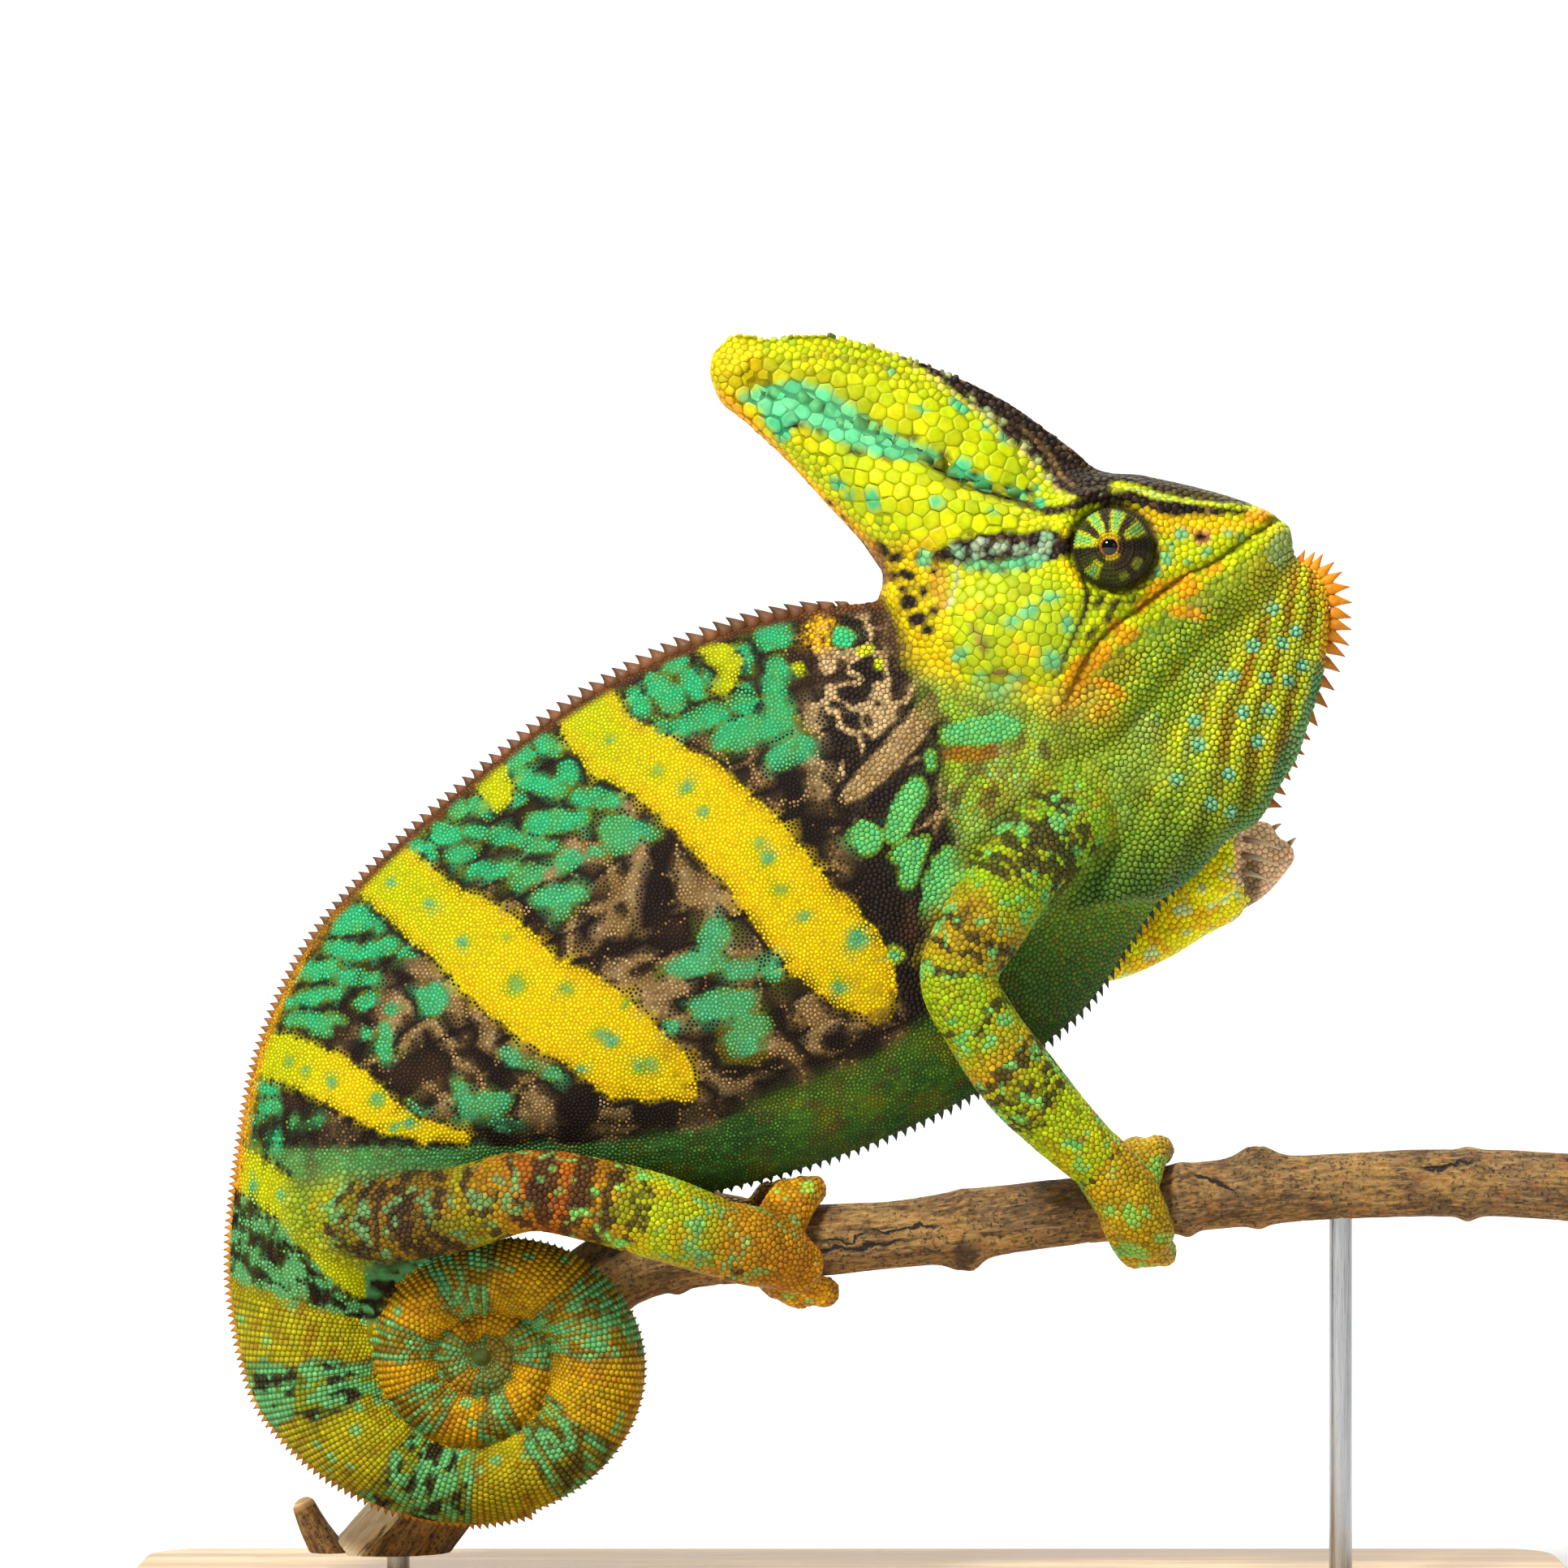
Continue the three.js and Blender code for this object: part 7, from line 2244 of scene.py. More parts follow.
def studs(places, normals, half, height, around=6):
    """Small domes with closed undersides, as points and blocks of faces."""
    f, s = frames_at(normals)
    turn = 2 * math.pi * np.arange(around) / around
    half, height = (np.broadcast_to(size, len(places))[:, None, None] for size in (half, height))
    wheel = (f[:, None] * np.cos(turn)[:, None] + s[:, None] * np.sin(turn)[:, None]) * half
    n = normals[:, None]
    blocks = [places[:, None] + wheel - n * 0.08, places[:, None] + wheel * 0.75 + n * height * 0.66,
              places[:, None] + n * height]
    points = np.concatenate(blocks, 1)
    size = 2 * around + 1
    k = np.arange(around)
    after = (k + 1) % around
    base = (np.arange(len(places)) * size)[:, None, None]
    quads = np.stack([k, after, after + around, k + around], 1)
    fan = np.stack([around + k, around + after, np.full(around, size - 1)], 1)
    faces = [(quads[None] + base).reshape(-1, 4), (fan[None] + base).reshape(-1, 3),
             (k[::-1][None, None] + base).reshape(-1, around)]
    return points.reshape(-1, 3), faces, size


lid_pieces, eye_pieces, granule_pieces = {}, {}, {}
for word, side in (("right", RIGHT), ("left", LEFT)):
    rings = turret_rings(side)
    mesh = mesh_from(f"lids_{word}", rings.reshape(-1, 3), open_loft(rings, side > 0))
    color_attribute(mesh, turret_colors(rings.reshape(-1, 3)) * 0.85)
    lid_pieces[word] = add_object(f"lids_{word}", mesh)

    ball_middle = np.array([EYE["x"], side * EYE["y"], EYE["z"]])
    places = []
    for row in range(10, 90, 6):
        ring = rings[row]
        length = np.linalg.norm(ring - np.roll(ring, 1, 0), axis=1).sum()
        count = max(int(length / GRANULE_GAP), 12)
        at = (np.arange(count) + 0.5 * (row // 6 % 2)) / count * len(ring)
        low = at.astype(int) % len(ring)
        places.append(ring[low] + (ring[(low + 1) % len(ring)] - ring[low]) * (at % 1)[:, None])
    places = np.vstack(places)
    chance = np.random.default_rng(31)
    points, faces, size = studs(places, unit(places - ball_middle),
                                0.29 * chance.uniform(0.85, 1.1, len(places)), 0.16)
    mesh = mesh_from(f"lid_granules_{word}", points, faces)
    colors = np.repeat(turret_colors(places) * chance.uniform(0.85, 1.2, (len(places), 1)), size, axis=0)
    color_attribute(mesh, np.clip(colors, 0, 1))
    set_uv(mesh, np.repeat(uv_at(places), size, axis=0)[loop_vertices(mesh)])
    granule_pieces[word] = add_object(f"lid_granules_{word}", mesh)

    ball = bmesh.new()
    bmesh.ops.create_uvsphere(ball, u_segments=48, v_segments=32, radius=PUPIL["radius"] * MM)
    bmesh.ops.rotate(ball, verts=ball.verts, cent=(0, 0, 0), matrix=Matrix.Rotation(math.pi / 2, 3, "X"))
    bmesh.ops.translate(ball, verts=ball.verts, vec=Vector((PUPIL["x"], side * PUPIL["y"], PUPIL["z"])) * MM)
    mesh = bpy.data.meshes.new(f"eyeball_{word}")
    ball.to_mesh(mesh)
    ball.free()
    mesh.shade_smooth()
    eye_pieces[word] = add_object(f"eyeball_{word}", mesh)
    print(f"{word}: {len(places)} granules on the turret")

# %% [markdown]
# ## Crests and claws
#
# A comb of horny spines runs down the back, each one a bead with its tip drawn towards the tail,
# like the fin of a shark. Orange spines hang from the throat, and small ones follow the belly.
# One Geometry Nodes tree plants them all: it puts a copy of a spine on every point of a row, and
# reads size, turn and colour from the row's points.

# %% One spine and the rows it is planted on
def spine_mesh(name, lean, around=10):
    """A spine one unit high that stands on the origin and leans towards -x."""
    rows = [(-0.3, 0.5), (0, 0.52), (0.14, 0.5), (0.3, 0.4), (0.48, 0.29), (0.66, 0.19), (0.84, 0.1),
            (0.97, 0.03)]
    turn = 2 * math.pi * np.arange(around) / around
    rings = []
    for height, half in rows:
        back = lean * max(height, 0) ** 1.7
        rings.append(np.stack([half * np.cos(turn) - back, half * 0.8 * np.sin(turn),
                               np.full(around, height)], 1))
    points, faces = lofted([np.array(rings)])
    mesh = mesh_from(name, points, faces, 1)
    float_attribute(mesh, "along", np.clip(points[:, 2], 0, 1))
    return mesh


def planting_tree():
    inputs = (("Rows", "Geometry"), ("Spine", "Object"), ("Material", "Material"), ("Wobble", "Float"),
              ("Seed", "Int"))
    tree, source, result = geometry_tree("plant_spines", inputs, "Spines")
    spine = tree.nodes.new("GeometryNodeObjectInfo")
    turn = named_attribute(tree, "turn", "FLOAT_VECTOR")
    size = named_attribute(tree, "size", "FLOAT_VECTOR")
    wobble = tree.nodes.new("FunctionNodeRandomValue")
    wobble.data_type = "FLOAT_VECTOR"
    negative = tree.nodes.new("ShaderNodeMath")
    negative.operation = "MULTIPLY"
    negative.inputs[1].default_value = -1
    turned = tree.nodes.new("ShaderNodeVectorMath")
    planted = tree.nodes.new("GeometryNodeInstanceOnPoints")
    realized = tree.nodes.new("GeometryNodeRealizeInstances")
    given = tree.nodes.new("GeometryNodeSetMaterial")
    link_all(
        tree,
        (source, "Spine", spine, "Object"),
        (source, "Wobble", negative, 0),
        (negative, "Value", wobble, "Min"),
        (source, "Wobble", wobble, "Max"),
        (source, "Seed", wobble, "Seed"),
        (turn, "Attribute", turned, 0),
        (wobble, "Value", turned, 1),
        (source, "Rows", planted, "Points"),
        (spine, "Geometry", planted, "Instance"),
        (turned, "Vector", planted, "Rotation"),
        (size, "Attribute", planted, "Scale"),
        (planted, "Instances", realized, "Geometry"),
        (realized, "Geometry", given, "Geometry"),
        (source, "Material", given, "Material"),
        (given, "Geometry", result, "Spines"),
    )
    return tree


def turns_to(directions, forward):
    """Euler angles that turn +z to each direction, and -x away from forward."""
    angles = []
    for direction, ahead in zip(directions, forward):
        z = Vector(direction).normalized()
        y = z.cross(Vector(ahead)).normalized()
        x = y.cross(z)
        angles.append(Matrix((x, y, z)).transposed().to_euler())
    return np.array(angles)


def row_mesh(name, places, directions, forward, heights, widths, colors):
    mesh = bpy.data.meshes.new(name)
    mesh.from_pydata((np.asarray(places) * MM).tolist(), [], [])
    for attribute_name, values in (("turn", turns_to(directions, forward)),
                                   ("size", np.stack([widths, widths, heights], 1) * MM)):
        attribute = mesh.attributes.new(attribute_name, "FLOAT_VECTOR", "POINT")
        attribute.data.foreach_set("vector", np.asarray(values, np.float32).ravel())
    color_attribute(mesh, colors)
    return mesh


def plant(name, rows, template, material, wobble, seed):
    """A piece of spines planted on a mesh of points."""
    piece = add_object(name, rows)
    modifier = piece.modifiers.new("planted", "NODES")
    modifier.node_group = spine_tree
    set_inputs(modifier, Spine=template, Material=material, Wobble=wobble, Seed=seed)
    return applied(piece)


def evenly(path, gaps):
    """Places along a path, whose gaps are read from a function of the share of its length."""
    run = np.concatenate([[0], np.cumsum(np.linalg.norm(np.diff(path, axis=0), axis=1))])
    stops, at = [], 0.0
    while at < run[-1]:
        stops.append(at)
        at += gaps(at / run[-1])
    share = np.array(stops) / run[-1]
    places = np.stack([np.interp(stops, run, path[:, k]) for k in range(3)], 1)
    return places, share


def nearest_in(path, places):
    """For each place, the index of the path's nearest point."""
    return np.array([np.argmin(np.linalg.norm(path - place, axis=1)) for place in places])


def edge_path(rungs, upper):
    """The upper or lower edge of the rungs in space, and the direction out of the body there."""
    near, far = (rungs[:, 0:2], rungs[:, 2:4]) if upper else (rungs[:, 2:4], rungs[:, 0:2])
    out = unit(near - far)
    place = near - out * 0.45
    side = rungs[:, 5]
    return np.column_stack([place[:, 0], side, place[:, 1]]), np.column_stack([out[:, 0], np.zeros(len(out)),
                                                                               out[:, 1]])


# %% Lay out the rows
spine_tree = planting_tree()
templates = {}
for name, lean in (("fin_spine", 0.42), ("hanging_spine", 0.12)):
    templates[name] = add_object(name, spine_mesh(name, lean))

back_rungs = np.vstack([row_at(BODY, np.linspace(1.55, BODY_LAST, 500)),
                        coil_rungs(np.linspace(0.3, 1.25, 500))])
back_path, back_out = edge_path(back_rungs, upper=True)
back_places, back_share = evenly(back_path, lambda share: 2.7 - 1.45 * min(share * 2.6, 1))
back_index = nearest_in(back_path, back_places)
toward_head = -unit(np.gradient(back_path, axis=0))[back_index]
back_heights = np.interp(back_share, [0, 0.012, 0.03, 0.1, 0.2, 0.35, 0.7, 1],
                         [1.7, 2.6, 3, 2.5, 1.7, 1.3, 1.05, 0.6])
back_colors = mixed(pigment(110, 68, 34), pigment(190, 124, 18), step(back_share, 0.24, 0.45))
back_colors *= np.random.default_rng(5).uniform(0.75, 1.2, (len(back_places), 1))

HANGING = [  # base x, z and tip x, z of the spines under the chin
    (76.8, 188.3, 78, 191), (78, 188, 79.3, 190.9), (79.5, 187.7, 81, 190.4), (81, 187, 83, 189),
    (82, 185.6, 84.6, 187.1), (83.1, 184.1, 86, 184.6), (83.4, 181.9, 86.4, 181.7),
    (83.7, 179.6, 86.4, 179.1),
    (83.5, 177.7, 86.4, 177.2), (82.9, 175.7, 86.1, 174.2), (82.6, 173.5, 85.2, 172),
    (81.7, 171.1, 84.4, 169.4),
    (81.1, 167.9, 83.6, 166.5), (80.1, 165.1, 82.4, 163.4), (78.8, 162, 80.7, 160.2),
    (77.2, 159, 79.3, 157.8),
    (75.8, 156.5, 78.4, 155.3), (75.1, 154.5, 77.3, 153.1), (74.1, 152.4, 76, 150.8),
    (72.9, 149.7, 75.3, 148.5),
    (72, 147, 74.4, 146.1),
]
hanging = np.array(HANGING, float)
hang_places = np.column_stack([hanging[:, 0], np.zeros(len(hanging)), hanging[:, 1]])
hang_tips = np.column_stack([hanging[:, 2], np.zeros(len(hanging)), hanging[:, 3]])
hang_out = unit(hang_tips - hang_places)
hang_places = hang_places - hang_out * 0.7
hang_heights = np.linalg.norm(hang_tips - hang_places, axis=1) * np.linspace(0.95, 0.86, len(hanging))
hang_forward = np.tile([0.0, 0.0, 1.0], (len(hanging), 1))
hang_forward[:5] = (-1, 0, 0.3)
hang_colors = mixed(pigment(232, 146, 10), pigment(150, 88, 26), np.linspace(-0.3, 1.4, len(hanging)))

belly_rungs = row_at(BODY, np.linspace(0.1, 6.4, 500))
belly_path, belly_out = edge_path(belly_rungs, upper=False)
belly_places, belly_share = evenly(belly_path, lambda share: 1.75)
belly_index = nearest_in(belly_path, belly_places)
belly_forward = -unit(np.gradient(belly_path, axis=0))[belly_index]
belly_heights = np.interp(belly_share, [0, 0.25, 0.55, 0.8, 1], [1.6, 1.7, 1.6, 1.2, 0.7])
belly_colors = pigment(40, 56, 30) * np.random.default_rng(6).uniform(0.6, 1.4, (len(belly_places), 1))
print(f"{len(back_places)} spines down the back, {len(hanging)} under the chin, "
      f"{len(belly_places)} under the belly")

# %% Claws
def claw_parts(root, ahead, bend, reach, half, around=10, steps=12):
    t = np.linspace(-0.35, 1, steps)
    path = root + ahead * (reach * t)[:, None] + bend * (np.maximum(t, 0) ** 2)[:, None]
    tangent = unit(np.gradient(path, axis=0))
    curl = bend if np.linalg.norm(bend) > 0.1 else np.array([0.3, 0.2, -1.0])
    wide = unit(np.cross(tangent, curl))
    thick = np.cross(wide, tangent)
    size = half * np.clip(1 - np.maximum(t, 0), 0.05, 1) ** 0.75
    turn = 2 * math.pi * np.arange(around) / around
    rings = path[:, None] + (wide[:, None] * np.cos(turn)[:, None] * 0.75 + thick[:, None]
                             * np.sin(turn)[:, None]) * size[:, None, None]
    return rings, np.repeat(np.clip(t, 0, 1), around)


claw_rings, claw_along = [], []
for name, root, ahead, bend, reach in claw_places:
    if not bend.any():  # the claws that hold the branch bend towards its middle
        branch_y, branch_z, _ = branch_at(root[0])
        bend = unit(np.array([root[0], branch_y, branch_z]) - root) * 1.1
    rings, along = claw_parts(root, ahead, bend, reach, 0.95 if name == "hand_left" else 0.8)
    claw_rings.append(rings)
    claw_along.append(np.concatenate([along, [0, 1]]))
claws = add_object("claws", outward("claws", *lofted(claw_rings)))
float_attribute(claws.data, "along", np.concatenate(claw_along))
color_attribute(claws.data, flat(pigment(120, 84, 58), claws.data.vertices))
print(f"{len(claw_places)} claws of {len(claws.data.polygons)} faces")

# %% [markdown]
# ## The branch
#
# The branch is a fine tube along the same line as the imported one. Its bark comes from noise that
# is stretched along the stem: long furrows, plates between them, and a few rings where twigs once
# grew. Each point also stores its place in the stem's own space, round the stem and along it,
# and the bark material reads that, so the grain follows every bend.

# %% Build the branch
KNOTS = [(19, -100, 2.4), (69.5, 92, 2.6)]  # x, angle round the stem in degrees, radius
TWIG = [[-85, 16, 8, 4], [-90.4, 15.6, 14.5, 3.2], [-93.6, 15, 19.4, 2.6], [-95.8, 14.6, 24, 2]]
NODE_RINGS = [(-31, 0.5), (19.5, 0.35), (57, 0.6), (69.5, 0.4), (106, 0.6), (-66, 0.45)]
FOOT_CUT = 16  # level of the lower cut


def vector_attribute(mesh, name, values):
    attribute = mesh.attributes.new(name, "FLOAT_VECTOR", "POINT")
    attribute.data.foreach_set("vector", np.asarray(values, np.float32).ravel())


def barked(rings, run, seed, depth):
    """Moves the points of a stem's rings in and out, and gives each its place in the stem."""
    middle = rings.mean(1, keepdims=True)
    out = rings - middle
    radius = np.linalg.norm(out, axis=2, keepdims=True)
    turn = 2 * math.pi * np.arange(rings.shape[1]) / rings.shape[1]
    stem = np.stack([np.cos(turn) * radius[..., 0], np.sin(turn) * radius[..., 0],
                     np.repeat(run[:, None], len(turn), 1)], 2)
    stem = stem.reshape(-1, 3)
    furrows = np.abs(layered(stem * (1, 1, 0.16), 2.1, seed, 4))
    plates = layered(stem * (1, 1, 0.45), 3.4, seed + 9, 3)
    lumps = layered(stem * (1, 1, 0.5), 9, seed + 17, 2)
    height = depth * (0.5 * plates + 0.8 * lumps - 0.9 * step(furrows, 0.09, 0) * step(lumps, -0.7, 0.1))
    return middle + out * (1 + height.reshape(radius.shape) / radius), stem


AROUND_BRANCH, ALONG_STEPS = 112, 620
ACROSS = np.array([0.0, 1.0, 0.0])
TWIG_LENGTH = 18
rings, _, _ = tube_rings(np.array(BRANCH, float), ALONG_STEPS, AROUND_BRANCH, ACROSS, 0, cap=False)
middle = rings.mean(1)
run = np.concatenate([[0], np.cumsum(np.linalg.norm(np.diff(middle, axis=0), axis=1))])
out = unit(rings - middle[:, None])
swell = np.zeros(rings.shape[:2])
for x, height in NODE_RINGS:
    uneven = 1 + 0.5 * np.sin(3 * np.arange(AROUND_BRANCH) / AROUND_BRANCH * 6.283 + x)
    swell += height * np.exp(-(((middle[:, 0] - x) / 1.6) ** 2))[:, None] * uneven
for x, angle, radius in KNOTS:
    y, z, thick = branch_at(x)
    knot = np.array([x, y + thick * math.cos(math.radians(angle)), z + thick * math.sin(math.radians(angle))])
    away = np.linalg.norm((rings - knot) * (0.6, 1, 1), axis=2)
    swell += radius * 0.85 * np.exp(-((away / (radius * 0.8)) ** 2)) - 0.7 * np.exp(-((away / 0.7) ** 2))
rings = rings + out * swell[..., None]
rings, stem_space = barked(rings, run, 401, 0.42)
branch_mesh = outward("branch", *lofted([rings]))
vector_attribute(branch_mesh, "stem_space", np.vstack([stem_space, [[0, 0, 0], [0, 0, run[-1]]]]))
float_attribute(branch_mesh, "wood", np.concatenate([np.zeros(len(stem_space)), [1, 1]]))


def sawn_off(mesh, level):
    """The part of a closed mesh above a level, closed again by a flat cut."""
    cut = bmesh.new()
    cut.from_mesh(mesh)
    bmesh.ops.bisect_plane(cut, geom=cut.verts[:] + cut.edges[:] + cut.faces[:], plane_co=(0, 0, level * MM),
                           plane_no=(0, 0, -1), clear_outer=True)
    bmesh.ops.holes_fill(cut, edges=[edge for edge in cut.edges if edge.is_boundary], sides=0)
    cut.to_mesh(mesh)
    cut.free()
    mesh.shade_smooth()


sawn_off(branch_mesh, FOOT_CUT)
branch = add_object("branch", branch_mesh)

twig_rings, _, _ = tube_rings(np.array(TWIG, float), 60, 40, ACROSS, 0)
twig_rings, twig_space = barked(twig_rings, np.linspace(0, TWIG_LENGTH, len(twig_rings)), 431, 0.3)
twig = add_object("twig", outward("twig", *lofted([twig_rings])))
vector_attribute(twig.data, "stem_space", np.vstack([twig_space, [[0, 0, 0], [0, 0, TWIG_LENGTH]]]))
float_attribute(twig.data, "wood", np.concatenate([step(twig_space[:, 2], 16, 17.5), [1, 1]]))
sawn_off(twig.data, FOOT_CUT)
print(f"branch of {triangles_in(branch.data)} triangles")

# %% [markdown]
# ## The display stand
#
# A flat plate of pale wood with a rounded edge, and two steel rods that hold the branch from
# below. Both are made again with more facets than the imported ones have, in the same places.

# %% Build the stand
BASE = {"length": 254, "depth": 110, "height": 12, "corner": 10, "bevel": 1.5}
RODS = {"rear": (-79.5, 16, 20), "front": (84, 0, 79.2)}  # x, y and level of the top
ROD_RADIUS = 2
ROD_SINK = 0.5  # how far the rods reach into the plate
CORNER_STEPS = 16


def plate_mesh():
    a, b = BASE["length"] / 2, BASE["depth"] / 2
    profile = [(BASE["bevel"] * (1 - math.sin(t)), BASE["bevel"] * (1 - math.cos(t)))
               for t in np.linspace(0, math.pi / 2, 9)]
    levels = profile + [(inset, BASE["height"] - z) for inset, z in profile[::-1]]
    rings = []
    for inset, z in levels:
        radius = BASE["corner"] - inset
        ring = []
        for corner, (sx, sy) in enumerate(((1, -1), (1, 1), (-1, 1), (-1, -1))):
            for k in range(CORNER_STEPS + 1):
                turn = -math.pi / 2 + corner * math.pi / 2 + math.pi / 2 * k / CORNER_STEPS
                x, y = sx * (a - BASE["corner"]), sy * (b - BASE["corner"])
                ring.append((x + radius * math.cos(turn), y + radius * math.sin(turn), z))
        rings.append(ring)
    rings = np.array(rings)
    quads, _ = loft_faces(len(rings), rings.shape[1], 0)
    count, around = rings.shape[:2]
    caps = np.array([np.arange(around)[::-1], (count - 1) * around + np.arange(around)])
    mesh = outward("stand_plate", rings.reshape(-1, 3), [quads, caps])
    mesh.set_sharp_from_angle(angle=math.radians(35))
    return mesh


def rod_mesh(name, x, y, top, around=48):
    turn = 2 * math.pi * np.arange(around) / around
    rings = np.array([[(x + ROD_RADIUS * math.cos(t), y + ROD_RADIUS * math.sin(t), z) for t in turn]
                      for z in (BASE["height"] - ROD_SINK, top)])
    mesh = outward(name, *lofted([rings]))
    mesh.set_sharp_from_angle(angle=math.radians(40))
    return mesh


plate = add_object("stand_plate", plate_mesh())
rods = {word: add_object(f"stand_steel_rod_{word}", rod_mesh(f"stand_steel_rod_{word}", *values)) for word,
        values in RODS.items()}
print("stand plate and", len(rods), "rods")

# %% [markdown]
# ## Effects that materials share
#
# Three shader node groups hold what more than one material needs. The first is fine relief: two
# layers of noise, as a height and as a mask. The second finishes anything that carries the
# painted marking: it varies the paint a little within each scale and gives gloss that changes
# from place to place. The third is fibre: noise drawn out along one direction, for bark, wood and
# brushed steel.

# %% Build the node groups
def new_group(name, inputs, outputs):
    group = bpy.data.node_groups.new(name, "ShaderNodeTree")
    for socket, kind, value in inputs:
        item = group.interface.new_socket(socket, in_out="INPUT", socket_type=f"NodeSocket{kind}")
        if value is not None:
            item.default_value = value
    for socket, kind in outputs:
        group.interface.new_socket(socket, in_out="OUTPUT", socket_type=f"NodeSocket{kind}")
    return group, group.nodes.new("NodeGroupInput"), group.nodes.new("NodeGroupOutput")


def math_node(tree, operation, a, b=None):
    """A math node. Its inputs are numbers or sockets."""
    node = tree.nodes.new("ShaderNodeMath")
    node.operation = operation
    for index, value in enumerate((a, b)):
        if isinstance(value, (int, float)):
            node.inputs[index].default_value = value
        elif value is not None:
            tree.links.new(value, node.inputs[index])
    return node.outputs["Value"]


def noise_node(tree, vector, scale, detail=3, roughness=0.55):
    node = tree.nodes.new("ShaderNodeTexNoise")
    node.inputs["Detail"].default_value = detail
    node.inputs["Roughness"].default_value = roughness
    tree.links.new(vector, node.inputs["Vector"])
    if isinstance(scale, (int, float)):
        node.inputs["Scale"].default_value = scale
    else:
        tree.links.new(scale, node.inputs["Scale"])
    return node.outputs["Fac"]


def range_node(tree, value, low, high, to_low=0.0, to_high=1.0):
    node = tree.nodes.new("ShaderNodeMapRange")
    node.interpolation_type = "SMOOTHSTEP"
    for name, number in (("From Min", low), ("From Max", high), ("To Min", to_low), ("To Max", to_high)):
        if isinstance(number, (int, float)):
            node.inputs[name].default_value = number
        else:
            tree.links.new(number, node.inputs[name])
    tree.links.new(value, node.inputs["Value"])
    return node.outputs["Result"]


def mix_node(tree, factor, a, b, blend="MIX"):
    node = tree.nodes.new("ShaderNodeMix")
    node.data_type = "RGBA"
    node.blend_type = blend
    for socket, value in ((node.inputs[0], factor), (node.inputs[6], a), (node.inputs[7], b)):
        if isinstance(value, (int, float)):
            socket.default_value = value
        elif isinstance(value, (tuple, list, np.ndarray)):
            socket.default_value = (*[float(v) for v in value[:3]], 1)
        else:
            tree.links.new(value, socket)
    return node.outputs[2]


def length_node(tree, a, b):
    """The length of a vector with two parts."""
    squares = [math_node(tree, "MULTIPLY", part, part) for part in (a, b)]
    return math_node(tree, "SQRT", math_node(tree, "ADD", *squares))


def wander_node(tree, vector, scale, detail, size):
    """Noise on both sides of zero, as wide as size in all."""
    fraction = noise_node(tree, vector, scale, detail)
    return math_node(tree, "MULTIPLY", math_node(tree, "SUBTRACT", fraction, 0.5), size)


def drawn_node(tree, vector, factor):
    """A vector multiplied part by part, which draws noise out."""
    node = tree.nodes.new("ShaderNodeVectorMath")
    node.operation = "MULTIPLY"
    tree.links.new(vector, node.inputs[0])
    if isinstance(factor, tuple):
        node.inputs[1].default_value = factor
    else:
        tree.links.new(factor, node.inputs[1])
    return node.outputs["Vector"]


def parts_node(tree, vector):
    node = tree.nodes.new("ShaderNodeSeparateXYZ")
    tree.links.new(vector, node.inputs["Vector"])
    return node.outputs["X"], node.outputs["Y"], node.outputs["Z"]


def fine_relief_group():
    group, source, result = new_group(
        "fine_relief", [("Position", "Vector", None), ("Grains per metre", "Float", 6000.0),
                        ("Pores", "Float", 0.3)],
        [("Height", "Float"), ("Mask", "Float")])
    grain = noise_node(group, source.outputs["Position"], source.outputs["Grains per metre"], 4)
    coarse = noise_node(group, source.outputs["Position"],
                        math_node(group, "MULTIPLY", source.outputs["Grains per metre"], 0.23), 2)
    pores = range_node(group, coarse, 0.62, 0.7)
    sunk = math_node(group, "MULTIPLY", pores, source.outputs["Pores"])
    group.links.new(math_node(group, "SUBTRACT", grain, sunk), result.inputs["Height"])
    group.links.new(coarse, result.inputs["Mask"])
    return group


def painted_group():
    group, source, result = new_group(
        "painted_finish",
        [("Marking", "Color", None), ("Position", "Vector", None), ("Grains per metre", "Float", 3000.0),
                           ("Least roughness", "Float", 0.36), ("Most roughness", "Float", 0.6),
                           ("Variation", "Float", 0.3)],
        [("Color", "Color"), ("Roughness", "Float"), ("Height", "Float")])
    relief = group.nodes.new("ShaderNodeGroup")
    relief.node_tree = fine_relief
    group.links.new(source.outputs["Position"], relief.inputs["Position"])
    group.links.new(source.outputs["Grains per metre"], relief.inputs["Grains per metre"])
    shade = range_node(group, relief.outputs["Mask"], 0.3, 0.7, 0.8, 1.12)
    gray = group.nodes.new("ShaderNodeCombineColor")
    for name in ("Red", "Green", "Blue"):
        group.links.new(shade, gray.inputs[name])
    color = mix_node(group, source.outputs["Variation"], source.outputs["Marking"],
                     mix_node(group, 1.0, source.outputs["Marking"], gray.outputs["Color"], "MULTIPLY"))
    group.links.new(color, result.inputs["Color"])
    group.links.new(range_node(group, relief.outputs["Mask"], 0.3, 0.7, source.outputs["Least roughness"],
                               source.outputs["Most roughness"]), result.inputs["Roughness"])
    group.links.new(relief.outputs["Height"], result.inputs["Height"])
    return group


